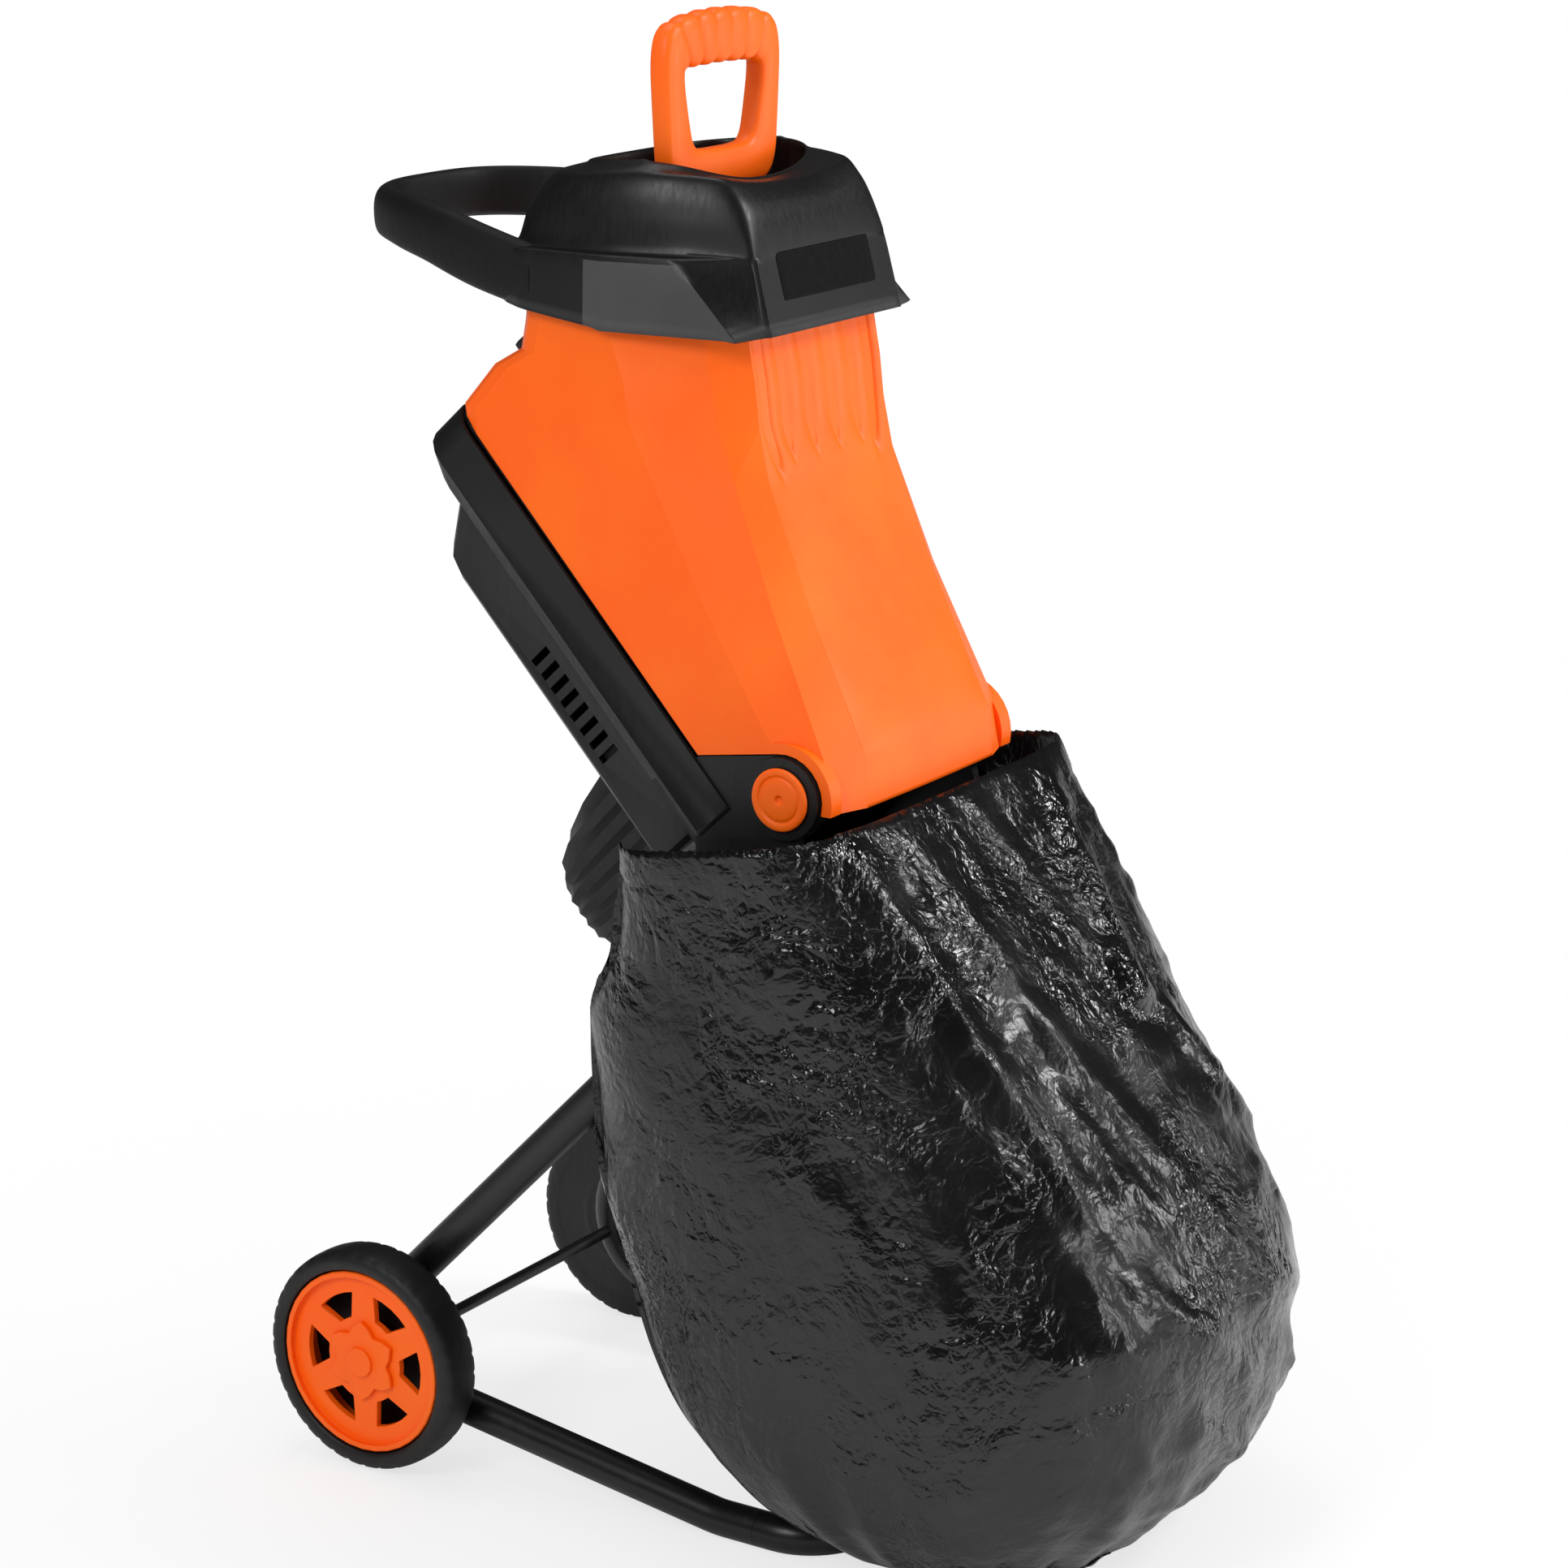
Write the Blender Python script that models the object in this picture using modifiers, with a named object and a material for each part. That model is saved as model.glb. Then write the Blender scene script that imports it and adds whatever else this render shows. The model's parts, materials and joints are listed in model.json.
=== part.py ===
"""Electric wood chipper, in metres, +Z up.

The origin lies on the floor under the middle of the footprint, and the front, with the catch bag, is at -Y.
Sizes across the machine are distances from its middle plane. Side sizes (y, z) are taken from the axle line
and the floor. Deck sizes (s, h) lie in the plane of the blade disc: s runs from the hinge up to the rear,
and h is the height over the hinge, square to the disc.
"""

import math
from typing import NamedTuple

import bmesh
import bpy
from mathutils import Matrix, Vector

GAP = 0.0003
SHARP_ANGLE = math.radians(35.0)

# Wheels and axle
WHEEL_RADIUS = 0.090
WHEEL_OUTER_X = 0.202
TYRE_WIDTH = 0.038
TYRE_SEAT_RADIUS = 0.0740
RIM_INSET = 0.002
RIM_WALL = 0.004
WEB_THICKNESS = 0.006
WEB_SETBACK = 0.008
HUB_RADIUS = 0.016
SPOKE_COUNT = 6
WINDOW_INNER_RADIUS = 0.035
WINDOW_OUTER_RADIUS = 0.0550
WINDOW_HALF_ANGLE = math.radians(19.0)
HUB_CAP_TIP_RADIUS = 0.033
HUB_CAP_WAIST_RADIUS = 0.024
HUB_CAP_HEIGHT = 0.004
AXLE_RADIUS = 0.005
AXLE_NUT_RADIUS = 0.009
AXLE_NUT_LENGTH = 0.006
BORE_CLEARANCE = 0.0003
SPACER_RADIUS = 0.010

# Frame tubes
TUBE_RADIUS = 0.014
TUBE_WALL = 0.0015
TUBE_X = 0.145
TUBE_BEND_RADIUS = 0.058
RAIL_FLOOR_Y = -0.300
BASE_BAR_Y = -0.400
BASE_BEND_RADIUS = 0.050
BASE_STUB = 0.012
BASE_SLEEVE_LENGTH = 0.030
TUBE_SIDES = 12
SOCKET_LENGTH = 0.085
SOCKET_HALF_HEIGHT = 0.0185
SOCKET_OUTER_X = 0.1625
SOCKET_CAP = 0.004
STRUT_TOP_BEHIND = -0.025
STRUT_TOP_BELOW = 0.068
FRAME_BOLT_RADIUS = 0.003
FRAME_BOLT_HEAD_RADIUS = 0.0065
FRAME_BOLT_FROM_TOP = 0.042
BAG_HOOK_RADIUS = 0.004
BAG_HOOK_AT = (0.021, -0.033)
BAG_HOOK_END = 0.212

# Hinge and deck
HINGE_Y = -0.347
HINGE_Z = 0.580
DECK_TILT = math.radians(47.6)
HINGE_PIN_RADIUS = 0.005
BARREL_RADIUS = 0.013
EAR_RADIUS = 0.0315
EAR_OUTER_X = 0.132
EAR_RIDGE_RADIUS = 0.0405
EAR_NOTCH_RADIUS = 0.0425
HINGE_CAP_RADIUS = 0.0245
HINGE_CAP_THICKNESS = 0.0036

# Base housing
SPLIT_DEPTH = 0.0437
TRAY_DEPTH = 0.0453
TRAY_HALF_WIDTH = 0.130
TRAY_FRONT = 0.018
TRAY_CORNER = 0.026
TRAY_CHAMFER = (0.018, 0.010)
HOUSING_WALL = 0.003
LUG_TOP = -0.004
LUG_WALL = 0.0090
LUG_HALF_WIDTH = 0.030
LUG_FOOT = (0.379, -0.075)
CHEEK_INNER_X = 0.118
CHEEK_OUTER_X = 0.128
CHEEK_REAR_TOP = (-0.274, 0.6008)
DUCT_FRONT_Y = -0.3785
DUCT_BOTTOM_Z = 0.487
DUCT_MOUTH_TOP = 0.536
DISCHARGE_HALF_WIDTH = 0.090
CHAMBER_RADIUS = 0.107
CHAMBER_TOP = -0.0514

# Blade disc and spindle
DISC_S = 0.245
DISC_RADIUS = 0.100
DISC_TOP = -0.0540
DISC_THICKNESS = 0.006
PADDLE_DEPTH = 0.020
PADDLE_INNER = 0.055
PADDLE_THICKNESS = 0.005
BLADE_THICKNESS = 0.003
BLADE_INNER = 0.042
BLADE_LENGTH = 0.052
BLADE_WIDTH = 0.028
BLADE_SCREW_HEAD = 0.0048
BLADE_SCREW_SHANK = 0.0028
DISC_BOLT_HEAD = 0.009
DISC_BOLT_SHANK = 0.004
DISC_BOLT_HEAD_HEIGHT = 0.005
SPINDLE_RADIUS = 0.0085
SPINDLE_HUB_RADIUS = 0.014
BEARING_OUTER = 0.0175
BEARING_WIDTH = 0.009
BLOCK_RADIUS = 0.034
SPINDLE_PULLEY_RADIUS = 0.038
MOTOR_PULLEY_RADIUS = 0.013
PULLEY_WIDTH = 0.015
BELT_WIDTH = 0.012
BELT_THICKNESS = 0.004

# Drive cover and motor
COVER_DEPTH = 0.0455
COVER_FRONT = 0.024
COVER_TOP_REAR = 0.350
COVER_BOTTOM_REAR = 0.319
COVER_TOP_HALF = 0.122
COVER_BOTTOM_HALF = 0.119
VENT_COUNT = 8
VENT_PITCH = 0.0128
VENT_FIRST_S = 0.114
VENT_WIDTH = 0.006
VENT_LENGTH = 0.020
MOTOR_S = 0.060
MOTOR_RADIUS = 0.038
MOTOR_LENGTH = 0.108
MOTOR_WALL = 0.003
STACK_INNER = 0.0255
ARMATURE_RADIUS = 0.0245
ARMATURE_LENGTH = 0.042
COMMUTATOR_RADIUS = 0.014
FAN_RADIUS = 0.032
MOTOR_SHAFT_RADIUS = 0.005
MOTOR_BEARING_OUTER = 0.011
MOTOR_BEARING_WIDTH = 0.007
COWL_SHAPE = (
    (0.0000, 0.055, 0.0120, 0.1455, 0.024),
    (0.0407, 0.055, 0.0120, 0.1340, 0.024),
    (0.0807, 0.055, 0.0125, 0.1220, 0.024),
    (0.1107, 0.054, 0.0135, 0.1115, 0.024),
    (0.1307, 0.052, 0.0160, 0.0990, 0.022),
    (0.1417, 0.047, 0.0200, 0.0840, 0.020),
)
COWL_RIB_COUNT = 24
COWL_RIB_HEIGHT = 0.0032

# Hopper
HOOD_S = 0.388
HOOD_KNEES = ((0.3935, -0.0026), (0.3879, 0.0233))
HOPPER_WALL = 0.003
HOPPER_TOP_Z = 0.934
FOOT_Z = 0.571
FOOT_TOP_Z = 0.612
FOOT_GAP = 0.001
COVER_PLATE = 0.003
REAR_CORNER = 0.022
FLUTE_COUNT = 4
FLUTE_PITCH = 0.024
FLUTE_RADIUS = 0.0115
FLUTE_DEPTH = 0.0022
FLUTE_BOTTOM_Z = 0.800

# Feed chute
CHUTE_WALL = 0.0025
CHUTE_FLANGE = 0.003
CHUTE_FLANGE_MARGIN = 0.012
CHUTE_TOP_HALF = 0.075
CHUTE_TOP_FRONT = -0.248
CHUTE_TOP_REAR = -0.147
CHUTE_FOOT_HALF = 0.043
CHUTE_FOOT_S = (0.150, 0.222)
COUNTER_BLADE = (0.084, 0.014, 0.0054)

# Collar and handle loop
COLLAR_BOTTOM_Z = 0.9045
COLLAR_FRONT_Y = -0.311
COLLAR_FRONT_HALF = 0.094
COLLAR_HALF_WIDTH = 0.130
COLLAR_SIDE_Y = -0.190
COLLAR_REAR_Y = -0.088
BAND_TOP_Z = 0.958
COLLAR_WALL = 0.003
FUNNEL_FOOT_LIFT = 0.0036
FUNNEL_LIP_HALF = 0.092
COLLAR_ROWS = (
    (COLLAR_BOTTOM_Z, COLLAR_FRONT_Y, COLLAR_FRONT_HALF, COLLAR_SIDE_Y, COLLAR_HALF_WIDTH, COLLAR_REAR_Y,
     0.030, 0.0),
    (BAND_TOP_Z, -0.2970, 0.094, -0.190, 0.128, COLLAR_REAR_Y, 0.032, 0.0),
    (BAND_TOP_Z + 0.003, -0.2965, 0.094, -0.190, 0.119, -0.092, 0.036, 0.0),
    (0.985, -0.2900, 0.094, -0.195, 0.116, -0.098, 0.040, 0.0),
    (1.003, -0.2810, 0.093, -0.200, 0.112, -0.106, 0.040, 0.006),
    (1.0165, -0.2680, 0.090, -0.205, 0.105, -0.118, 0.036, 0.013),
    (1.0245, -0.2500, 0.084, -0.205, 0.097, -0.130, 0.030, 0.018),
    (1.0235, -0.2380, 0.074, -0.205, 0.080, -0.147, 0.020, 0.018),
)
RIM_FALL = 0.6
LOOP_TIP_Y = 0.074
LOOP_THICKNESS = 0.018
LOOP_SLOPE = 0.008
LOOP_POWER = 3.0
LOOP_UNDERSIDE = (
    (-0.190, 0.9045),
    (-0.123, 0.9135),
    (-0.067, 0.9255),
    (-0.018, 0.9400),
    (0.030, 0.9480),
    (0.074, 0.9500),
)
LOOP_CREST = (
    (-0.190, 0.9580),
    (-0.130, 0.9610),
    (-0.100, 0.9680),
    (-0.066, 0.9760),
    (-0.040, 0.9825),
    (0.000, 0.9880),
    (0.074, 0.9900),
)

# Plunger
PLUNGER_Y = -0.205
GRIP_RISE = 0.192
GRIP_HALF_WIDTH = 0.0755
GRIP_WAIST_HALF = 0.0680
GRIP_THICKNESS = 0.020
GRIP_HEIGHT = 0.043
GRIP_WINDOW_HEIGHT = 0.056
LEG_WIDTH = 0.0145
FOOT_LEG_WIDTH = 0.0275
GRIP_BAR_HEIGHT = 0.031
GUARD_THICKNESS = 0.003
GUARD_MARGIN = 0.004
PUSHER_LENGTH = 0.135
PUSHER_CLEARANCE = 0.004
FINGER_GROOVES = 6
FINGER_PITCH = 0.0195
FINGER_DEPTH = 0.0030

# Clamp at the rear lip
CLAMP_H = -0.0245
CLAMP_BOLT_RADIUS = 0.004
CLAMP_WASHER_RADIUS = 0.009
CLAMP_WASHER_THICKNESS = 0.005
CLAMP_SLOT_MARGIN = 0.001
KNOB_RADIUS = 0.022
KNOB_THICKNESS = 0.019
KNOB_LOBES = 5
KNOB_LOBE_HEIGHT = 0.0022

# Switch box
SWITCH_BOX = (0.022, 0.086, 0.040)
SWITCH_BOX_S = 0.258
BUTTON_RADIUS = 0.0085
BUTTON_DEPTH = 0.0085
BUTTON_PROUD = 0.0040
BUTTON_SPACING = 0.034
BUTTON_POCKET = 0.0125
RESET_RADIUS = 0.005
INLET_SIZE = (0.018, 0.028, 0.032)
INLET_WALL = 0.002

# Catch bag
BAG_WALL = 0.003
BAG_MOUTH_FRONT = (-0.408, 0.568)
BAG_MOUTH_REAR = (-0.216, 0.537)
BAG_FLOOR_GAP = 0.0005
BAG_FRONT_Y = -0.664
BAG_BACK_FRONT_Y = -0.392
BAG_STRUT_GAP = 0.021
BAG_INNER_HALF = 0.169
BAG_BACK_Z = 0.385
EYELET_CLEARANCE = 0.0015


class Tone(NamedTuple):
    """A moulded or metal finish: sRGB colour, roughness and metallic value."""

    colour: tuple
    roughness: float
    metallic: float


TONES = {
    "orange_plastic": Tone((0.95, 0.10, 0.008), 0.38, 0.0),
    "black_plastic": Tone((0.012, 0.012, 0.013), 0.45, 0.0),
    "black_paint": Tone((0.014, 0.014, 0.015), 0.35, 0.0),
    "black_rubber": Tone((0.018, 0.018, 0.019), 0.75, 0.0),
    "black_film": Tone((0.008, 0.008, 0.009), 0.30, 0.0),
    "bright_steel": Tone((0.60, 0.60, 0.62), 0.28, 1.0),
    "dark_steel": Tone((0.18, 0.18, 0.19), 0.40, 1.0),
    "cast_aluminium": Tone((0.52, 0.53, 0.54), 0.50, 1.0),
    "copper": Tone((0.72, 0.30, 0.14), 0.35, 1.0),
    "green_plastic": Tone((0.02, 0.35, 0.06), 0.40, 0.0),
    "red_plastic": Tone((0.55, 0.01, 0.01), 0.40, 0.0),
}


class Level(NamedTuple):
    """One horizontal section of the hopper: side, shoulder, chamfer and front crease."""

    z: float
    half_width: float
    shoulder_y: float
    chamfer: tuple
    crease: tuple
    rear_y: float


class Ring(NamedTuple):
    """One horizontal section of the bag."""

    z: float
    half_width: float
    front_y: float
    rear_y: float


def deck_point(s, h):
    """The side-view place (y, z) of a point given on the deck."""
    cosine = math.cos(DECK_TILT)
    sine = math.sin(DECK_TILT)
    return (HINGE_Y + s * cosine - h * sine, HINGE_Z + s * sine + h * cosine)


HOOD_FOOT = deck_point(HOOD_S, -SPLIT_DEPTH)
HOOD_EDGE = deck_point(*HOOD_KNEES[0])
HOOD_TOP = deck_point(*HOOD_KNEES[1])
HOPPER_LEVELS = (
    Level(0.550, 0.1280, -0.356, (0.123, -0.385), (0.090, -0.396), HOOD_FOOT[0]),
    Level(0.610, 0.1280, -0.340, (0.119, -0.375), (0.088, -0.390), HOOD_FOOT[0]),
    Level(0.710, 0.1270, -0.279, (0.111, -0.327), (0.086, -0.342), HOOD_FOOT[0]),
    Level(0.800, 0.1260, -0.232, (0.105, -0.290), (0.085, -0.306), HOOD_FOOT[0]),
    Level(HOOD_FOOT[1], 0.1250, -0.213, (0.104, -0.276), (0.085, -0.298), HOOD_FOOT[0]),
    Level(HOOD_EDGE[1], 0.1220, -0.205, (0.1035, -0.270), (0.085, -0.2945), HOOD_EDGE[0]),
    Level(HOOD_TOP[1], 0.1200, -0.199, (0.103, -0.266), (0.085, -0.292), HOOD_TOP[0]),
    Level(0.905, 0.1180, -0.188, (0.102, -0.262), (0.085, -0.288), HOOD_TOP[0] - 0.003),
    Level(HOPPER_TOP_Z, 0.1175, -0.178, (0.101, -0.256), (0.085, -0.285), HOOD_TOP[0] - 0.005),
)
BAG_RINGS = (
    Ring(BAG_FLOOR_GAP, 0.075, -0.520, -0.455),
    Ring(0.015, 0.148, -0.570, -0.4175),
    Ring(0.0283, 0.176, -0.596, -0.4165),
    Ring(0.0290, 0.180, -0.599, -0.352),
    Ring(0.070, 0.211, -0.638, -0.276),
    Ring(0.120, 0.223, -0.659, -0.228),
    Ring(0.200, 0.226, BAG_FRONT_Y, -0.190),
    Ring(0.300, 0.219, -0.617, -0.162),
    Ring(0.400, 0.210, -0.547, -0.166),
    Ring(0.460, 0.206, -0.502, -0.198),
    Ring(0.520, 0.204, -0.454, -0.216),
    Ring(0.600, 0.204, -0.392, -0.226),
)

# Values worked out from the sizes above
PLUNGER_TOP_Z = HOPPER_TOP_Z + GRIP_RISE
GRIP_FOOT_Z = PLUNGER_TOP_Z - GRIP_HEIGHT - GRIP_WINDOW_HEIGHT - GRIP_BAR_HEIGHT
TRAY_TOP = -SPLIT_DEPTH - GAP
TRAY_BOTTOM = TRAY_TOP - TRAY_DEPTH
TRAY_REAR = HOOD_S
LUG_INNER = HOOD_KNEES[0][0] + 0.001
LUG_OUTER = LUG_INNER + LUG_WALL
HOPPER_CUT_DEPTH = SPLIT_DEPTH - COVER_PLATE - GAP
COVER_TOP = TRAY_BOTTOM - GAP
COVER_BOTTOM = TRAY_BOTTOM - COVER_DEPTH
DISC_BOTTOM = DISC_TOP - DISC_THICKNESS
TYRE_INNER_X = WHEEL_OUTER_X - TYRE_WIDTH
ORIGIN_Y = -0.5 * (BAG_FRONT_Y + WHEEL_RADIUS)

CHIPPER = None
CUTTERS = None
MATERIALS = {}


def start_scene():
    """Empties the scene and makes the collections, materials and guide empties."""
    global CHIPPER, CUTTERS
    for old in list(bpy.data.objects):
        bpy.data.objects.remove(old, do_unlink=True)
    CHIPPER = bpy.data.collections.new("electric_wood_chipper")
    CUTTERS = bpy.data.collections.new("cutters")
    bpy.context.scene.collection.children.link(CHIPPER)
    bpy.context.scene.collection.children.link(CUTTERS)
    for name, tone in TONES.items():
        material = bpy.data.materials.new(name)
        material.use_nodes = True
        shader = material.node_tree.nodes["Principled BSDF"]
        shader.inputs["Base Color"].default_value = (*tone.colour, 1.0)
        shader.inputs["Roughness"].default_value = tone.roughness
        shader.inputs["Metallic"].default_value = tone.metallic
        MATERIALS[name] = material


def empty(name, parent=None, location=(0.0, 0.0, 0.0), rotation=(0.0, 0.0, 0.0)):
    """A guide empty that carries pieces."""
    guide = bpy.data.objects.new(name, None)
    guide.parent = parent
    guide.location = location
    guide.rotation_euler = rotation
    CHIPPER.objects.link(guide)
    return guide


def add(name, mesh, parent, tone, location=(0.0, 0.0, 0.0), rotation=(0.0, 0.0, 0.0)):
    """A piece, or a cutter where tone is None."""
    piece = bpy.data.objects.new(name, mesh)
    piece.parent = parent
    piece.location = location
    piece.rotation_euler = rotation
    if tone is None:
        CUTTERS.objects.link(piece)
        piece.hide_render = True
        piece.display_type = "WIRE"
    else:
        CHIPPER.objects.link(piece)
        mesh.materials.append(MATERIALS[tone])
    return piece


def finish_mesh(name, bm):
    """Turns a bmesh into mesh data with outward faces and smooth round sides."""
    bmesh.ops.recalc_face_normals(bm, faces=bm.faces)
    mesh = bpy.data.meshes.new(name)
    bm.to_mesh(mesh)
    bm.free()
    mesh.shade_smooth()
    mesh.set_sharp_from_angle(angle=SHARP_ANGLE)
    return mesh


def box_mesh(name, low, high):
    """A box between two corners."""
    bm = bmesh.new()
    bmesh.ops.create_cube(bm, size=1.0)
    size = Vector(high) - Vector(low)
    middle = (Vector(high) + Vector(low)) / 2.0
    bmesh.ops.transform(bm, matrix=Matrix.Translation(middle) @ Matrix.Diagonal((*size, 1.0)), verts=bm.verts)
    return finish_mesh(name, bm)


def rod_mesh(name, radius, start, end, axis="X", centre=(0.0, 0.0), segments=16):
    """A round rod along an axis from start to end; centre gives its two other coordinates in order."""
    quarter = math.pi / 2.0
    turn = {"X": Matrix.Rotation(quarter, 4, "Y"), "Y": Matrix.Rotation(quarter, 4, "X"), "Z": Matrix()}
    bm = bmesh.new()
    bmesh.ops.create_cone(
        bm, cap_ends=True, segments=segments, radius1=radius, radius2=radius, depth=end - start
    )
    middle = (start + end) / 2.0
    place = {
        "X": (middle, centre[0], centre[1]),
        "Y": (centre[0], middle, centre[1]),
        "Z": (centre[0], centre[1], middle),
    }
    bmesh.ops.transform(bm, matrix=Matrix.Translation(place[axis]) @ turn[axis], verts=bm.verts)
    return finish_mesh(name, bm)


def outline_mesh(name, loops, thickness):
    """A flat outline with holes, drawn as a 2D curve and given a thickness along its own Z."""
    curve = bpy.data.curves.new(name, "CURVE")
    curve.dimensions = "2D"
    curve.fill_mode = "BOTH"
    curve.extrude = thickness / 2.0
    for loop in loops:
        spline = curve.splines.new("POLY")
        spline.points.add(len(loop) - 1)
        for point, place in zip(spline.points, loop):
            point.co = (place[0], place[1], 0.0, 1.0)
        spline.use_cyclic_u = True
    return curve_to_mesh(name, curve)


def curve_to_mesh(name, curve):
    """The welded mesh of a curve, which is then removed."""
    holder = bpy.data.objects.new(name, curve)
    bpy.context.scene.collection.objects.link(holder)
    bpy.context.view_layer.update()
    evaluated = holder.evaluated_get(bpy.context.evaluated_depsgraph_get())
    mesh = bpy.data.meshes.new_from_object(evaluated)
    bpy.data.objects.remove(holder, do_unlink=True)
    bpy.data.curves.remove(curve)
    bm = bmesh.new()
    bm.from_mesh(mesh)
    bpy.data.meshes.remove(mesh)
    bmesh.ops.remove_doubles(bm, verts=bm.verts, dist=1e-6)
    return finish_mesh(name, bm)


def tube_mesh(name, points, radius, caps=True):
    """A twelve-sided tube along a poly line, with flats a radius away from it above, below and beside it."""
    curve = bpy.data.curves.new(name, "CURVE")
    curve.dimensions = "3D"
    curve.bevel_depth = radius / math.cos(math.pi / TUBE_SIDES)
    curve.bevel_resolution = TUBE_SIDES // 2 - 2
    curve.use_fill_caps = caps
    spline = curve.splines.new("POLY")
    spline.points.add(len(points) - 1)
    for point, place in zip(spline.points, points):
        point.co = (*place, 1.0)
        point.tilt = math.pi / TUBE_SIDES
    return curve_to_mesh(name, curve)


def loft_mesh(name, rings):
    """A closed body through rings with like counts of points, its two halves split the same way."""
    bm = bmesh.new()
    rows = [[bm.verts.new(point) for point in ring] for ring in rings]
    count = len(rows[0])
    for lower, upper in zip(rows, rows[1:]):
        for index in range(count):
            following = (index + 1) % count
            if index < count // 2:
                bm.faces.new((lower[index], lower[following], upper[following]))
                bm.faces.new((lower[index], upper[following], upper[index]))
            else:
                bm.faces.new((lower[index], lower[following], upper[index]))
                bm.faces.new((lower[following], upper[following], upper[index]))
    bm.faces.new(rows[0])
    bm.faces.new(rows[-1])
    return finish_mesh(name, bm)


def inset_ring(ring, distance):
    """A level ring moved inwards by a distance, with mitred corners."""
    area = sum(a[0] * b[1] - b[0] * a[1] for a, b in zip(ring, ring[1:] + ring[:1]))
    turn = 1.0 if area > 0.0 else -1.0
    moved = []
    for before, here, after in zip(ring[-1:] + ring[:-1], ring, ring[1:] + ring[:1]):
        first = direction(before, here)
        second = direction(here, after)
        normal = (-turn * (first[1] + second[1]), turn * (first[0] + second[0]))
        share = 1.0 + first[0] * second[0] + first[1] * second[1]
        moved.append((here[0] + normal[0] * distance / share, here[1] + normal[1] * distance / share, here[2]))
    return moved


def turned(name, profile, parent, tone, location=(0.0, 0.0, 0.0), rotation=(0.0, 0.0, 0.0), steps=32, ring=True):
    """A turned piece about its own Z: a profile of (radius, height), down its outer side."""
    bm = bmesh.new()
    points = [bm.verts.new((radius, 0.0, height)) for radius, height in profile]
    for first, second in zip(points, points[1:]):
        bm.edges.new((first, second))
    if ring:
        bm.edges.new((points[-1], points[0]))
    mesh = bpy.data.meshes.new(name)
    bm.to_mesh(mesh)
    bm.free()
    piece = add(name, mesh, parent, tone, location, rotation)
    screw = piece.modifiers.new("turning", "SCREW")
    screw.steps = steps
    screw.render_steps = steps
    screw.use_merge_vertices = True
    screw.merge_threshold = 0.00001
    screw.use_smooth_shade = True
    return piece


def cut(piece, cutter):
    """Takes a cutter out of a piece."""
    boolean = piece.modifiers.new("cut", "BOOLEAN")
    boolean.operation = "DIFFERENCE"
    boolean.object = cutter
    return piece


def join(piece, other):
    """Adds another shape to a piece."""
    boolean = piece.modifiers.new("join", "BOOLEAN")
    boolean.operation = "UNION"
    boolean.object = other
    return piece


def boxes_mesh(name, corners):
    """Several boxes that don't touch, as one cutter."""
    bm = bmesh.new()
    for low, high in corners:
        size = Vector(high) - Vector(low)
        middle = (Vector(high) + Vector(low)) / 2.0
        placing = Matrix.Translation(middle) @ Matrix.Diagonal((*size, 1.0))
        bmesh.ops.create_cube(bm, size=1.0, matrix=placing)
    return finish_mesh(name, bm)


def rods_mesh(name, radius, start, end, centres, axis="Z", segments=12):
    """Several like rods along an axis, as one cutter."""
    bm = bmesh.new()
    middle = (start + end) / 2.0
    for first, second in centres:
        if axis == "Z":
            placing = Matrix.Translation((first, second, middle))
        else:
            placing = Matrix.Translation((middle, first, second)) @ Matrix.Rotation(math.pi / 2.0, 4, "Y")
        bmesh.ops.create_cone(
            bm, cap_ends=True, segments=segments, radius1=radius, radius2=radius, depth=end - start,
            matrix=placing,
        )
    return finish_mesh(name, bm)


def arc(centre, radius, start, end, count):
    """Points along an arc, angles in degrees."""
    points = []
    for step in range(count + 1):
        angle = math.radians(start + (end - start) * step / count)
        points.append((centre[0] + radius * math.cos(angle), centre[1] + radius * math.sin(angle)))
    return points


def rounded_rectangle(left, low, right, high, radii, count=4):
    """A rectangle with its own radius at each corner: low left, low right, high right, high left."""
    corners = (
        (left + radii[0], low + radii[0], 180.0),
        (right - radii[1], low + radii[1], 270.0),
        (right - radii[2], high - radii[2], 0.0),
        (left + radii[3], high - radii[3], 90.0),
    )
    points = []
    for (x, y, start), radius in zip(corners, radii):
        points += arc((x, y), radius, start, start + 90.0, count)
    return points


def direction(start, end):
    """The unit vector from one side-view point to another."""
    length = math.hypot(end[0] - start[0], end[1] - start[1])
    return ((end[0] - start[0]) / length, (end[1] - start[1]) / length)


def fillet(start, corner, end, radius, count=8):
    """The arc that rounds a corner of a side-view line, with its two tangent points."""
    first = direction(corner, start)
    second = direction(corner, end)
    half = math.acos(max(-1.0, min(1.0, first[0] * second[0] + first[1] * second[1]))) / 2.0
    reach = radius / math.tan(half)
    bisector = direction((0.0, 0.0), (first[0] + second[0], first[1] + second[1]))
    away = radius / math.sin(half)
    centre = (corner[0] + bisector[0] * away, corner[1] + bisector[1] * away)
    tangents = [(corner[0] + leg[0] * reach, corner[1] + leg[1] * reach) for leg in (first, second)]
    angles = [math.atan2(point[1] - centre[1], point[0] - centre[0]) for point in tangents]
    sweep = (angles[1] - angles[0] + math.pi) % (2.0 * math.pi) - math.pi
    points = []
    for step in range(count + 1):
        angle = angles[0] + sweep * step / count
        points.append((centre[0] + radius * math.cos(angle), centre[1] + radius * math.sin(angle)))
    return points


STRUT_TOP = (HINGE_Y + STRUT_TOP_BEHIND, HINGE_Z - STRUT_TOP_BELOW)
RAIL_END = (RAIL_FLOOR_Y, TUBE_RADIUS)
AXLE = (0.0, WHEEL_RADIUS)


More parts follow.
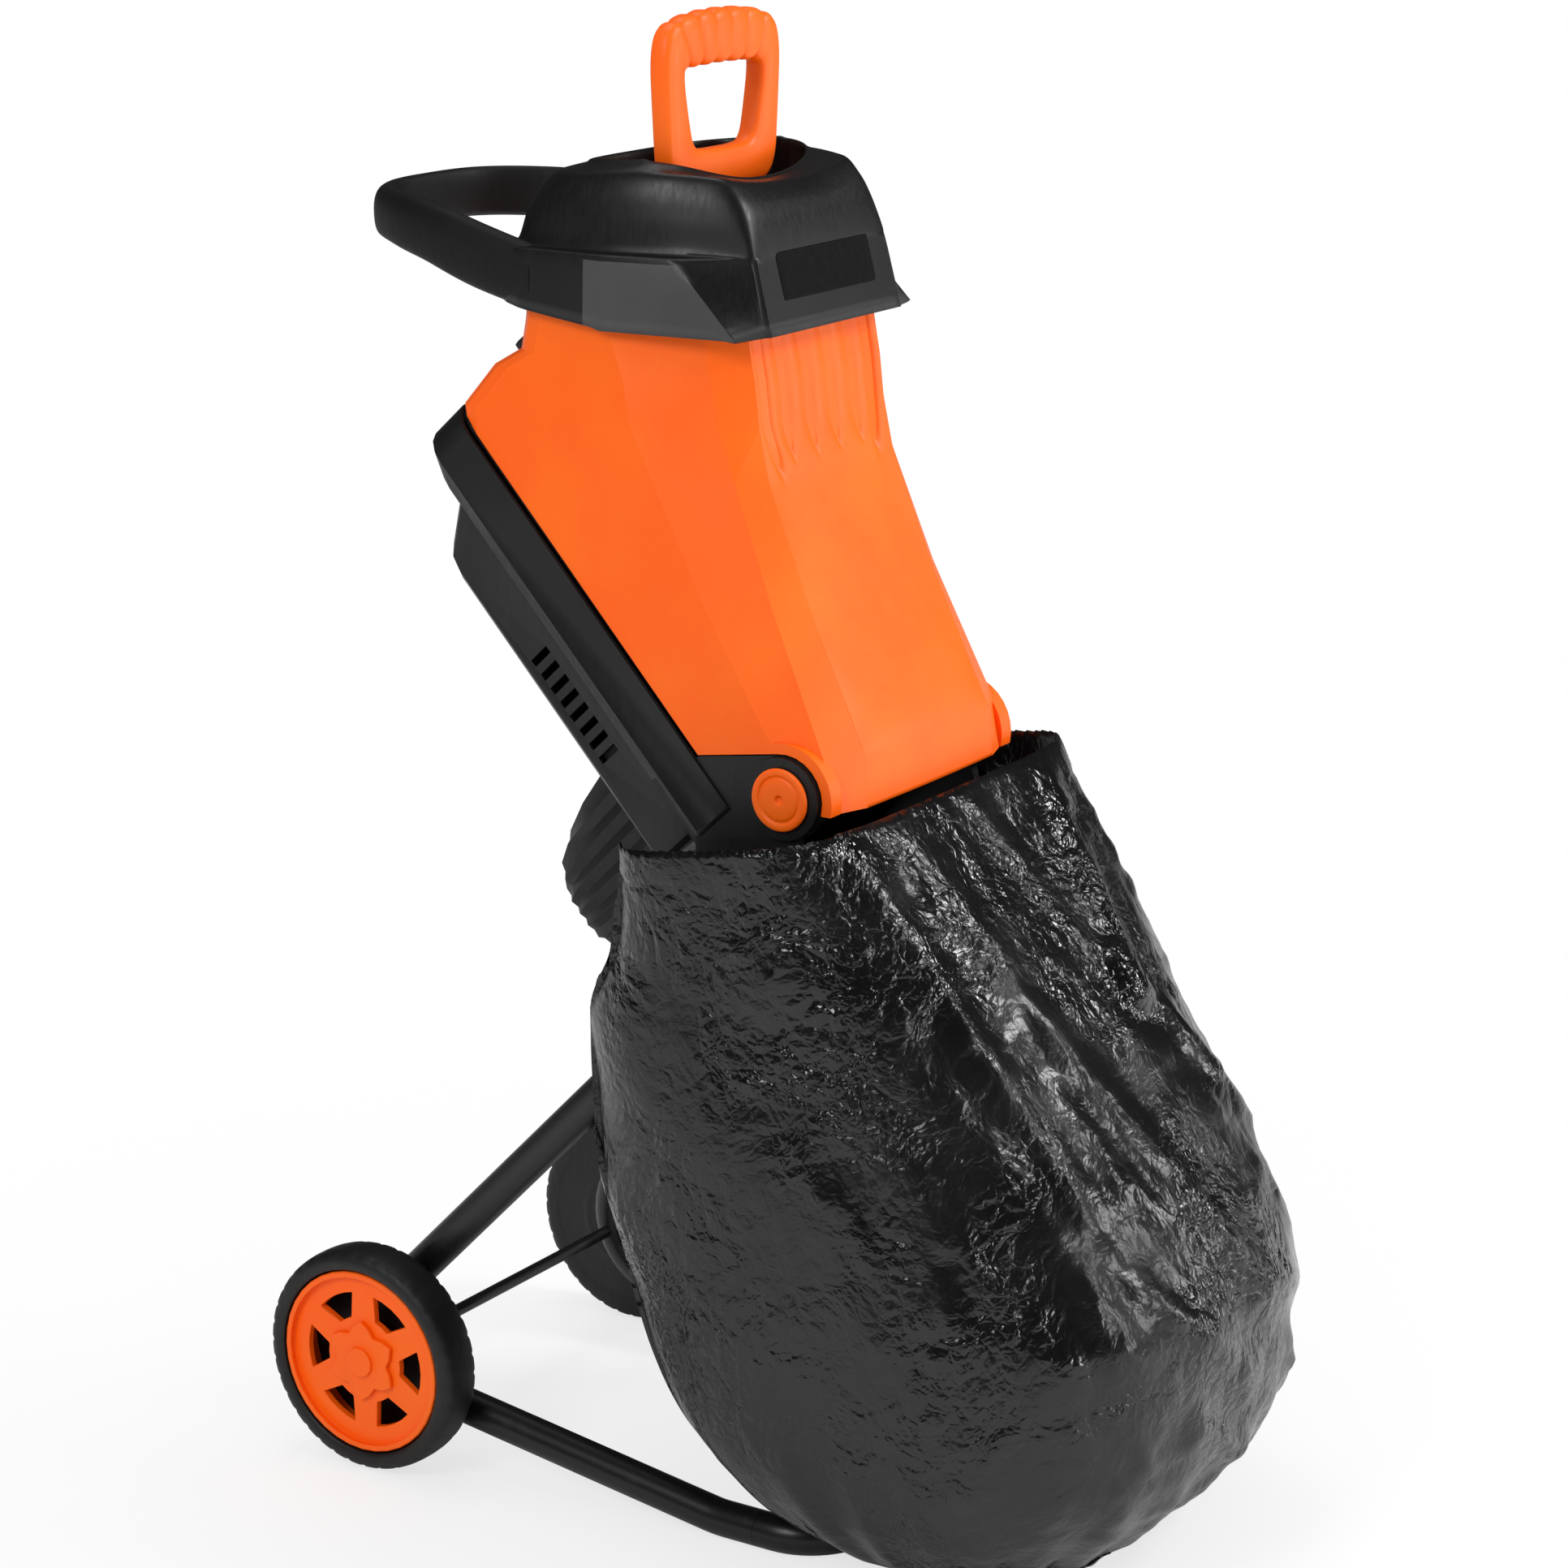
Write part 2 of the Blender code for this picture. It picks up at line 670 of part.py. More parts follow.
def frame_corner():
    """Where the strut and the rail would meet, so that the bend between them passes over the axle."""
    corner = AXLE
    for _ in range(30):
        first = direction(corner, STRUT_TOP)
        second = direction(corner, RAIL_END)
        half = math.acos(first[0] * second[0] + first[1] * second[1]) / 2.0
        bisector = direction((0.0, 0.0), (first[0] + second[0], first[1] + second[1]))
        apex = TUBE_BEND_RADIUS / math.sin(half) - TUBE_BEND_RADIUS
        corner = (AXLE[0] - bisector[0] * apex, AXLE[1] - bisector[1] * apex)
    return corner


FRAME_CORNER = frame_corner()
STRUT_AXIS = direction(STRUT_TOP, FRAME_CORNER)
STRUT_NORMAL = (-STRUT_AXIS[1], STRUT_AXIS[0])


def strut_point(along, across):
    """A side-view point near the strut: along it down from its top, and across it."""
    return (
        STRUT_TOP[0] + STRUT_AXIS[0] * along + STRUT_NORMAL[0] * across,
        STRUT_TOP[1] + STRUT_AXIS[1] * along + STRUT_NORMAL[1] * across,
    )


SIDE_VIEW = (math.pi / 2.0, 0.0, math.pi / 2.0)
FRONT_VIEW = (math.pi / 2.0, 0.0, 0.0)
SIDES = (("left", -1.0), ("right", 1.0))


def spans(side, inner, outer):
    """The lower and higher x of a slab that lies between two distances from the middle plane."""
    return (-outer, -inner) if side < 0 else (inner, outer)


def build_frame(machine):
    """Side tubes, base bar, axle and its small parts, and the strut sockets."""
    rail_bend = fillet(FRAME_CORNER, RAIL_END, (BASE_BAR_Y, TUBE_RADIUS), 0.10, 3)
    side_line = [STRUT_TOP] + fillet(STRUT_TOP, FRAME_CORNER, RAIL_END, TUBE_BEND_RADIUS, 7) + rail_bend
    end_y = BASE_BAR_Y + BASE_BEND_RADIUS + BASE_STUB + GAP
    side_line.append((end_y, TUBE_RADIUS))
    for name, side in SIDES:
        tube = add(
            f"frame_tube_{name}",
            tube_mesh(f"frame_tube_{name}", [(side * TUBE_X, y, z) for y, z in side_line], TUBE_RADIUS, False),
            machine,
            "black_paint",
        )
        wall = tube.modifiers.new("wall", "SOLIDIFY")
        wall.thickness = TUBE_WALL
        wall.offset = -1.0
        hole = add(
            f"axle_hole_{name}",
            rod_mesh("axle_hole", AXLE_RADIUS + BORE_CLEARANCE, -0.02, 0.02, "X", AXLE),
            machine,
            None,
            (side * TUBE_X, 0.0, 0.0),
        )
        cut(tube, hole)
        bolt_place = strut_point(FRAME_BOLT_FROM_TOP, 0.0)
        bolt_hole = add(
            f"frame_bolt_hole_{name}",
            rod_mesh("bolt_hole", FRAME_BOLT_RADIUS + BORE_CLEARANCE, -0.05, 0.05, "X", bolt_place, 12),
            machine,
            None,
            (side * TUBE_X, 0.0, 0.0),
        )
        cut(tube, bolt_hole)
        build_socket(machine, name, side, bolt_hole)
        build_frame_bolt(machine, name, side, bolt_place)
        spacer = [
            (SPACER_RADIUS, TYRE_INNER_X - GAP),
            (SPACER_RADIUS, TUBE_X + TUBE_RADIUS + GAP),
            (AXLE_RADIUS + BORE_CLEARANCE, TUBE_X + TUBE_RADIUS + GAP),
            (AXLE_RADIUS + BORE_CLEARANCE, TYRE_INNER_X - GAP),
        ]
        turned(
            f"axle_spacer_{name}",
            spacer,
            machine,
            "black_plastic",
            (0.0, *AXLE),
            (0.0, side * math.pi / 2.0, 0.0),
            20,
        )
    build_base_bar(machine)
    axle_end = WHEEL_OUTER_X - WEB_SETBACK - WEB_THICKNESS + AXLE_NUT_LENGTH + WEB_THICKNESS - GAP
    add(
        "axle",
        rod_mesh("axle", AXLE_RADIUS, -axle_end, axle_end, "X", AXLE),
        machine,
        "black_paint",
    )


def build_base_bar(machine):
    """The bar across the front of the frame, on the floor, with the bends that meet the side tubes."""
    inner_y = BASE_BAR_Y + BASE_BEND_RADIUS
    start_x = TUBE_X - BASE_BEND_RADIUS
    line = [(TUBE_X, inner_y + BASE_STUB)] + arc((start_x, inner_y), BASE_BEND_RADIUS, 0.0, -90.0, 5)
    mirrored = [(-x, y) for x, y in reversed(line)]
    points = [(x, y, TUBE_RADIUS) for x, y in line + mirrored]
    bar = add("base_bar", tube_mesh("base_bar", points, TUBE_RADIUS, False), machine, "black_paint")
    wall = bar.modifiers.new("wall", "SOLIDIFY")
    wall.thickness = TUBE_WALL
    wall.offset = -1.0
    for name, side in SIDES:
        plug_radius = TUBE_RADIUS - TUBE_WALL - BORE_CLEARANCE
        add(
            f"base_sleeve_{name}",
            rod_mesh(
                "base_sleeve",
                plug_radius,
                inner_y,
                inner_y + BASE_SLEEVE_LENGTH,
                "Y",
                (0.0, TUBE_RADIUS),
                TUBE_SIDES,
            ),
            machine,
            "dark_steel",
            (side * TUBE_X, 0.0, 0.0),
        )


def build_socket(machine, name, side, bolt_hole):
    """The moulded socket that holds the top of a strut against the housing, with the hook for the bag."""
    low, high = spans(side, CHEEK_OUTER_X + GAP, SOCKET_OUTER_X)
    top = -SOCKET_CAP
    outline = [
        strut_point(top, -SOCKET_HALF_HEIGHT * 0.7),
        strut_point(top * 0.2, -SOCKET_HALF_HEIGHT),
        strut_point(BAG_HOOK_AT[0] - 0.010, BAG_HOOK_AT[1] + 0.003),
        strut_point(BAG_HOOK_AT[0] - 0.004, BAG_HOOK_AT[1] - 0.006),
        strut_point(BAG_HOOK_AT[0] + 0.004, BAG_HOOK_AT[1] - 0.006),
        strut_point(BAG_HOOK_AT[0] + 0.010, BAG_HOOK_AT[1] + 0.003),
        strut_point(BAG_HOOK_AT[0] + 0.022, -SOCKET_HALF_HEIGHT),
        strut_point(SOCKET_LENGTH, -SOCKET_HALF_HEIGHT),
        strut_point(SOCKET_LENGTH, SOCKET_HALF_HEIGHT),
        strut_point(top * 0.2, SOCKET_HALF_HEIGHT),
        strut_point(top, SOCKET_HALF_HEIGHT * 0.7),
    ]
    socket = add(
        f"strut_socket_{name}",
        outline_mesh("strut_socket", [outline], high - low),
        machine,
        "black_plastic",
        ((low + high) / 2.0, 0.0, 0.0),
        SIDE_VIEW,
    )
    foot = strut_point(SOCKET_LENGTH + 0.02, 0.0)
    head = strut_point(-GAP, 0.0)
    bore_points = [(side * TUBE_X, *foot), (side * TUBE_X, *head)]
    bore = add(
        f"socket_bore_{name}",
        tube_mesh("socket_bore", bore_points, TUBE_RADIUS + BORE_CLEARANCE),
        machine,
        None,
    )
    cut(socket, bore)
    cut(socket, bolt_hole)
    hook_low, hook_high = spans(side, SOCKET_OUTER_X - 0.002, BAG_HOOK_END)
    hook = add(
        f"bag_hook_{name}",
        rod_mesh("bag_hook", BAG_HOOK_RADIUS, hook_low, hook_high, "X", strut_point(*BAG_HOOK_AT), 12),
        machine,
        None,
    )
    join(socket, hook)


def build_frame_bolt(machine, name, side, place):
    """The bolt through a socket, its tube and the cheek of the housing."""
    profile = [
        (0.0, SOCKET_OUTER_X + 0.0045),
        (FRAME_BOLT_HEAD_RADIUS, SOCKET_OUTER_X + 0.0035),
        (FRAME_BOLT_HEAD_RADIUS, SOCKET_OUTER_X + GAP),
        (FRAME_BOLT_RADIUS, SOCKET_OUTER_X + GAP),
        (FRAME_BOLT_RADIUS, CHEEK_INNER_X - 0.004),
        (0.0, CHEEK_INNER_X - 0.004),
    ]
    turned(
        f"frame_bolt_{name}",
        profile,
        machine,
        "dark_steel",
        (0.0, *place),
        (0.0, side * math.pi / 2.0, 0.0),
        12,
        False,
    )


def build_wheels(machine):
    """Two wheels: spoked rim, tyre with a closed back behind the spokes, star hub cap and the nut under it."""
    web_outer = WHEEL_OUTER_X - WEB_SETBACK
    web_inner = web_outer - WEB_THICKNESS
    barrel_outer = WHEEL_OUTER_X - RIM_INSET
    barrel_inner = TYRE_INNER_X + RIM_INSET
    rim_radius = TYRE_SEAT_RADIUS - BORE_CLEARANCE
    barrel_bore = rim_radius - RIM_WALL
    bore = AXLE_RADIUS + BORE_CLEARANCE
    nut_bore = bore / math.cos(math.pi / 6.0)
    rim_profile = [
        (rim_radius - 0.001, barrel_outer),
        (rim_radius, barrel_outer - 0.001),
        (rim_radius, barrel_inner),
        (barrel_bore, barrel_inner),
        (barrel_bore, web_inner),
        (HUB_RADIUS, web_inner),
        (HUB_RADIUS, TYRE_INNER_X),
        (bore, TYRE_INNER_X),
        (bore, web_outer),
        (barrel_bore, web_outer),
        (barrel_bore - 0.001, barrel_outer),
    ]
    half = TYRE_WIDTH / 2.0
    crown = 0.005
    back_outer = barrel_inner - GAP
    tyre_profile = [
        (TYRE_SEAT_RADIUS + 0.004, WHEEL_OUTER_X),
        (WHEEL_RADIUS - crown, WHEEL_OUTER_X),
        (WHEEL_RADIUS - 0.0015, WHEEL_OUTER_X - 0.0025),
        (WHEEL_RADIUS, WHEEL_OUTER_X - 0.007),
        (WHEEL_RADIUS, WHEEL_OUTER_X - 2.0 * half + 0.007),
        (WHEEL_RADIUS - 0.0015, WHEEL_OUTER_X - 2.0 * half + 0.0025),
        (WHEEL_RADIUS - crown, TYRE_INNER_X),
        (HUB_RADIUS + GAP, TYRE_INNER_X),
        (HUB_RADIUS + GAP, back_outer),
        (TYRE_SEAT_RADIUS, back_outer),
        (TYRE_SEAT_RADIUS, WHEEL_OUTER_X - 0.003),
    ]
    nut_profile = [
        (AXLE_NUT_RADIUS, web_outer + AXLE_NUT_LENGTH),
        (AXLE_NUT_RADIUS, web_outer + GAP),
        (nut_bore, web_outer + GAP),
        (nut_bore, web_outer + AXLE_NUT_LENGTH),
    ]
    for name, side in SIDES:
        hub = empty(f"wheel_centre_{name}", machine, (0.0, *AXLE), (0.0, side * math.pi / 2.0, 0.0))
        rim = turned(f"wheel_rim_{name}", rim_profile, hub, "orange_plastic", steps=36)
        windows = add(f"rim_windows_{name}", window_mesh(web_inner - 0.002, web_outer + 0.002), hub, None)
        cut(rim, windows)
        turned(f"tyre_{name}", tyre_profile, hub, "black_rubber", steps=36)
        turned(f"axle_nut_{name}", nut_profile, hub, "bright_steel", steps=6)
        cap = add(
            f"hub_cap_{name}",
            outline_mesh("hub_cap", [star_outline()], HUB_CAP_HEIGHT),
            hub,
            "orange_plastic",
            (0.0, 0.0, web_outer + GAP + HUB_CAP_HEIGHT / 2.0),
        )
        pocket = add(
            f"cap_pocket_{name}",
            rod_mesh(
                "cap_pocket",
                AXLE_NUT_RADIUS + 0.0006,
                web_outer - 0.001,
                web_outer + AXLE_NUT_LENGTH + GAP,
                "Z",
            ),
            hub,
            None,
        )
        dome_low = web_outer + HUB_CAP_HEIGHT * 0.5
        dome = add(
            f"cap_dome_{name}",
            rod_mesh("cap_dome", AXLE_NUT_RADIUS + 0.003, dome_low, web_outer + AXLE_NUT_LENGTH + 0.0018, "Z"),
            hub,
            None,
        )
        join(cap, dome)
        cut(cap, pocket)


def window_mesh(low, high):
    """The six windows between the spokes, as one cutter."""
    bm = bmesh.new()
    for index in range(SPOKE_COUNT):
        middle = 360.0 * (index + 0.5) / SPOKE_COUNT
        half = math.degrees(WINDOW_HALF_ANGLE)
        outer = arc((0.0, 0.0), WINDOW_OUTER_RADIUS, middle - half, middle + half, 4)
        inner = arc((0.0, 0.0), WINDOW_INNER_RADIUS, middle + half * 0.55, middle - half * 0.55, 2)
        outline = outer + inner
        lower = [bm.verts.new((x, y, low)) for x, y in outline]
        face = bm.faces.new(lower)
        raised = bmesh.ops.extrude_face_region(bm, geom=[face])["geom"]
        moved = [item for item in raised if isinstance(item, bmesh.types.BMVert)]
        bmesh.ops.translate(bm, vec=(0.0, 0.0, high - low), verts=moved)
    return finish_mesh("rim_windows", bm)


def star_outline():
    """A six-pointed rounded star: its radius swells once for each spoke."""
    points = []
    count = SPOKE_COUNT * 4
    for step in range(count):
        angle = 2.0 * math.pi * step / count
        swell = 0.5 + 0.5 * math.cos(SPOKE_COUNT * angle)
        radius = HUB_CAP_WAIST_RADIUS + (HUB_CAP_TIP_RADIUS - HUB_CAP_WAIST_RADIUS) * swell
        points.append((radius * math.cos(angle), radius * math.sin(angle)))
    return points


def cheek_outline(grow):
    """The side outline of a cheek with its hinge ear, grown by a clearance."""
    rear_y, rear_z = CHEEK_REAR_TOP
    ear = arc((HINGE_Y, HINGE_Z), EAR_RADIUS + grow, 80.0, 250.0, 12)
    notch_radius = EAR_NOTCH_RADIUS - grow
    notch_end = 360.0 - math.degrees(math.acos((DUCT_FRONT_Y - grow - HINGE_Y) / notch_radius))
    notch = arc((HINGE_Y, HINGE_Z), notch_radius, 250.0, notch_end, 3)
    corner_y, corner_z = deck_point(TRAY_FRONT, TRAY_BOTTOM)
    seat = 0.0008
    return (
        [(rear_y + 0.006 + grow, rear_z + grow - 0.003)]
        + [(rear_y, rear_z + grow)]
        + ear
        + notch
        + [
            (DUCT_FRONT_Y - grow, DUCT_BOTTOM_Z),
            (corner_y - 1.5 * seat, DUCT_BOTTOM_Z),
            (corner_y - 1.5 * seat, corner_z + seat),
            deck_point(0.075, TRAY_BOTTOM + seat),
            deck_point(0.075, TRAY_TOP - 0.004),
        ]
    )


def tray_rings(inset):
    """Sections of the tray from its rim down, with the lower edge at the rear cut away."""
    depth, rise = TRAY_CHAMFER
    rings = []
    for h, back in ((TRAY_TOP + inset * 0.5, 0.0), (TRAY_BOTTOM + rise, 0.0), (TRAY_BOTTOM + inset, depth)):
        side = TRAY_HALF_WIDTH - inset - back * 0.25
        corner = TRAY_CORNER - inset
        outline = rounded_rectangle(
            -side, TRAY_FRONT + inset, side, TRAY_REAR - inset - back, (0.006, 0.006, corner, corner)
        )
        rings.append([(x, s, h) for x, s in outline])
    return rings


def build_base_housing(machine, deck):
    """The black base: tray under the disc, chamber ring, clamp lug, cheeks with ears and discharge duct."""
    wall = HOUSING_WALL
    base = add("base_housing", loft_mesh("base_housing", tray_rings(0.0)), deck, "black_plastic")
    lug_outline = [
        LUG_FOOT,
        (LUG_OUTER, LUG_FOOT[1] + 0.012),
        (LUG_OUTER, LUG_TOP),
        (LUG_INNER, LUG_TOP),
        (LUG_INNER, TRAY_TOP),
        (LUG_FOOT[0], TRAY_TOP - 0.001),
    ]
    lug = outline_mesh("clamp_lug", [lug_outline], 2.0 * LUG_HALF_WIDTH)
    join(base, add("clamp_lug", lug, deck, None, (0.0, 0.0, 0.0), SIDE_VIEW))
    cut(base, add("tray_hollow", loft_mesh("tray_hollow", tray_rings(wall)), deck, None))
    ring_low = TRAY_BOTTOM + wall * 0.5
    ring = add(
        "chamber_ring",
        outline_mesh(
            "chamber_ring",
            [
                arc((0.0, DISC_S), CHAMBER_RADIUS + wall, 0.0, 348.75, 31),
                arc((0.0, DISC_S), CHAMBER_RADIUS, 0.0, 348.75, 31),
            ],
            CHAMBER_TOP - ring_low,
        ),
        deck,
        None,
        (0.0, 0.0, (CHAMBER_TOP + ring_low) / 2.0),
    )
    join(base, ring)
    chip_way = add(
        "chip_way",
        box_mesh(
            "chip_way",
            (-DISCHARGE_HALF_WIDTH, TRAY_FRONT - 0.01, TRAY_BOTTOM + wall + 0.0005),
            (DISCHARGE_HALF_WIDTH, DISC_S - CHAMBER_RADIUS * 0.4, CHAMBER_TOP + 0.003),
        ),
        deck,
        None,
    )
    cut(base, chip_way)
    spindle_rod = rod_mesh(
        "spindle_hole", SPINDLE_RADIUS + 0.001, TRAY_BOTTOM - 0.01, TRAY_BOTTOM + 0.01, "Z", (0.0, DISC_S)
    )
    cut(base, add("spindle_hole", spindle_rod, deck, None))
    for name, side in SIDES:
        low, high = spans(side, CHEEK_INNER_X, CHEEK_OUTER_X)
        cheek = add(
            f"cheek_{name}",
            outline_mesh("cheek", [cheek_outline(0.0)], high - low),
            machine,
            None,
            ((low + high) / 2.0, 0.0, 0.0),
            SIDE_VIEW,
        )
        join(base, cheek)
        boss_low, boss_high = spans(side, CHEEK_OUTER_X - 0.002, EAR_OUTER_X)
        boss = rod_mesh("ear_boss", EAR_RADIUS - 0.0008, boss_low, boss_high, "X", (HINGE_Y, HINGE_Z), 24)
        join(base, add(f"ear_boss_{name}", boss, machine, None))
    corner_y, corner_z = deck_point(TRAY_FRONT, TRAY_BOTTOM)
    front = add(
        "duct_front",
        box_mesh(
            "duct_front",
            (-CHEEK_INNER_X - 0.004, DUCT_FRONT_Y + 0.0005, DUCT_BOTTOM_Z + 0.0005),
            (CHEEK_INNER_X + 0.004, DUCT_FRONT_Y + wall, DUCT_MOUTH_TOP),
        ),
        machine,
        None,
    )
    rear = add(
        "duct_rear",
        box_mesh(
            "duct_rear",
            (-CHEEK_INNER_X - 0.004, corner_y - wall, DUCT_BOTTOM_Z + 0.0005),
            (CHEEK_INNER_X + 0.004, corner_y - 0.0018, corner_z + 0.004),
        ),
        machine,
        None,
    )
    join(base, front)
    join(base, rear)
    pin_hole = add(
        "ear_holes",
        rod_mesh("ear_holes", HINGE_PIN_RADIUS + BORE_CLEARANCE, -0.15, 0.15, "X", (HINGE_Y, HINGE_Z)),
        machine,
        None,
    )
    cut(base, pin_hole)
    bolt_holes = add(
        "cheek_bolt_holes",
        rod_mesh(
            "cheek_bolt_holes",
            FRAME_BOLT_RADIUS + BORE_CLEARANCE,
            -0.15,
            0.15,
            "X",
            strut_point(FRAME_BOLT_FROM_TOP, 0.0),
            12,
        ),
        machine,
        None,
    )
    cut(base, bolt_holes)
    clamp_rod = rod_mesh(
        "clamp_hole",
        CLAMP_BOLT_RADIUS + BORE_CLEARANCE,
        LUG_INNER - 0.01,
        LUG_OUTER + 0.01,
        "Y",
        (0.0, CLAMP_H),
    )
    cut(base, add("clamp_hole", clamp_rod, deck, None))


def build_drive_cover(deck):
    """The pan under the tray, with cooling slots, that covers the belt and carries the motor."""
    def ring(front, rear, half, corner, h):
        radii = (0.010, 0.010, corner, corner)
        return [(x, s, h) for x, s in rounded_rectangle(-half, front, half, rear, radii, 3)]

    chamfer = 0.005
    wall = HOUSING_WALL
    slope = (COVER_TOP_REAR - COVER_BOTTOM_REAR) / COVER_DEPTH
    outer = [
        ring(COVER_FRONT, COVER_TOP_REAR, COVER_TOP_HALF, 0.030, COVER_TOP),
        ring(COVER_FRONT, COVER_BOTTOM_REAR + chamfer * slope, COVER_BOTTOM_HALF, 0.028, COVER_BOTTOM + chamfer),
        ring(COVER_FRONT + 0.003, COVER_BOTTOM_REAR - 0.004, COVER_BOTTOM_HALF - 0.005, 0.024, COVER_BOTTOM),
    ]
    inner = [
        ring(COVER_FRONT + wall, COVER_TOP_REAR - wall + 0.001, COVER_TOP_HALF - wall, 0.028, COVER_TOP + 0.001),
        ring(
            COVER_FRONT + wall,
            COVER_BOTTOM_REAR + (chamfer + wall) * slope - wall,
            COVER_BOTTOM_HALF - wall,
            0.026,
            COVER_BOTTOM + chamfer + wall,
        ),
        ring(
            COVER_FRONT + wall + 0.002,
            COVER_BOTTOM_REAR - wall - 0.003,
            COVER_BOTTOM_HALF - wall - 0.004,
            0.022,
            COVER_BOTTOM + wall,
        ),
    ]
    cover = add("drive_cover", loft_mesh("drive_cover", outer), deck, "black_plastic")
    cut(cover, add("cover_hollow", loft_mesh("cover_hollow", inner), deck, None))
    middle_h = (COVER_TOP + COVER_BOTTOM) / 2.0
    slots = []
    for index in range(VENT_COUNT):
        s = VENT_FIRST_S + index * VENT_PITCH
        for low, high in (spans(-1.0, 0.09, 0.14), spans(1.0, 0.09, 0.14)):
            slots.append(
                (
                    (low, s - VENT_WIDTH / 2.0, middle_h - VENT_LENGTH / 2.0),
                    (high, s + VENT_WIDTH / 2.0, middle_h + VENT_LENGTH / 2.0),
                )
            )
    cut(cover, add("vent_slots", boxes_mesh("vent_slots", slots), deck, None))
    shaft_hole = rod_mesh(
        "shaft_hole", MOTOR_SHAFT_RADIUS + 0.003, COVER_BOTTOM - 0.01, COVER_BOTTOM + 0.01, "Z", (0.0, MOTOR_S)
    )
    cut(cover, add("shaft_hole", shaft_hole, deck, None))


def build_spindle(deck):
    """Blade disc, blades, spindle, its bearings and block, pulleys and belt."""
    spindle_axis = empty("spindle_axis", deck, (0.0, DISC_S, 0.0))
    block_top = TRAY_BOTTOM - GAP
    upper_low = block_top - GAP - BEARING_WIDTH
    lower_top = upper_low - 0.0015
    lower_low = lower_top - BEARING_WIDTH
    block_bottom = lower_low - GAP
    pulley_top = block_bottom - GAP
    pulley_bottom = pulley_top - PULLEY_WIDTH
    bolt_bore = DISC_BOLT_SHANK + BORE_CLEARANCE
    spindle_top = DISC_BOTTOM - GAP
    hub_bottom = TRAY_BOTTOM + HOUSING_WALL + GAP
    bore_depth = spindle_top - 0.016
    profile = [
        (bolt_bore, spindle_top),
        (SPINDLE_HUB_RADIUS, spindle_top),
        (SPINDLE_HUB_RADIUS, hub_bottom),
        (SPINDLE_RADIUS, hub_bottom),
        (SPINDLE_RADIUS, pulley_bottom),
        (0.0, pulley_bottom),
        (0.0, bore_depth),
        (bolt_bore, bore_depth),
    ]
    turned("spindle", profile, spindle_axis, "bright_steel", steps=16)
    seat = SPINDLE_RADIUS + BORE_CLEARANCE
    for name, top in (("upper", block_top - GAP), ("lower", lower_top)):
        bearing = [
            (BEARING_OUTER, top),
            (BEARING_OUTER, top - BEARING_WIDTH),
            (seat, top - BEARING_WIDTH),
            (seat, top),
        ]
        turned(f"spindle_bearing_{name}", bearing, spindle_axis, "bright_steel", steps=16)
    bearing_bore = BEARING_OUTER + BORE_CLEARANCE
    block = [
        (bearing_bore, block_top),
        (BLOCK_RADIUS, block_top),
        (BLOCK_RADIUS, block_top - 0.007),
        (bearing_bore + 0.005, block_top - 0.010),
        (bearing_bore + 0.005, block_bottom),
        (bearing_bore - 0.003, block_bottom),
        (bearing_bore - 0.003, lower_low - GAP + 0.0001),
        (bearing_bore, lower_low - GAP + 0.0001),
    ]
    turned("bearing_block", block[:5] + [(bearing_bore, block_bottom)], spindle_axis, "cast_aluminium", steps=16)
    pulley = [
        (SPINDLE_PULLEY_RADIUS, pulley_top),
        (SPINDLE_PULLEY_RADIUS, pulley_bottom),
        (seat, pulley_bottom),
        (seat, pulley_top),
    ]
    turned("spindle_pulley", pulley, spindle_axis, "cast_aluminium", steps=24)
    build_disc(spindle_axis, bolt_bore)
    belt_middle = (pulley_top + pulley_bottom) / 2.0
    build_belt(deck, belt_middle)
    return belt_middle


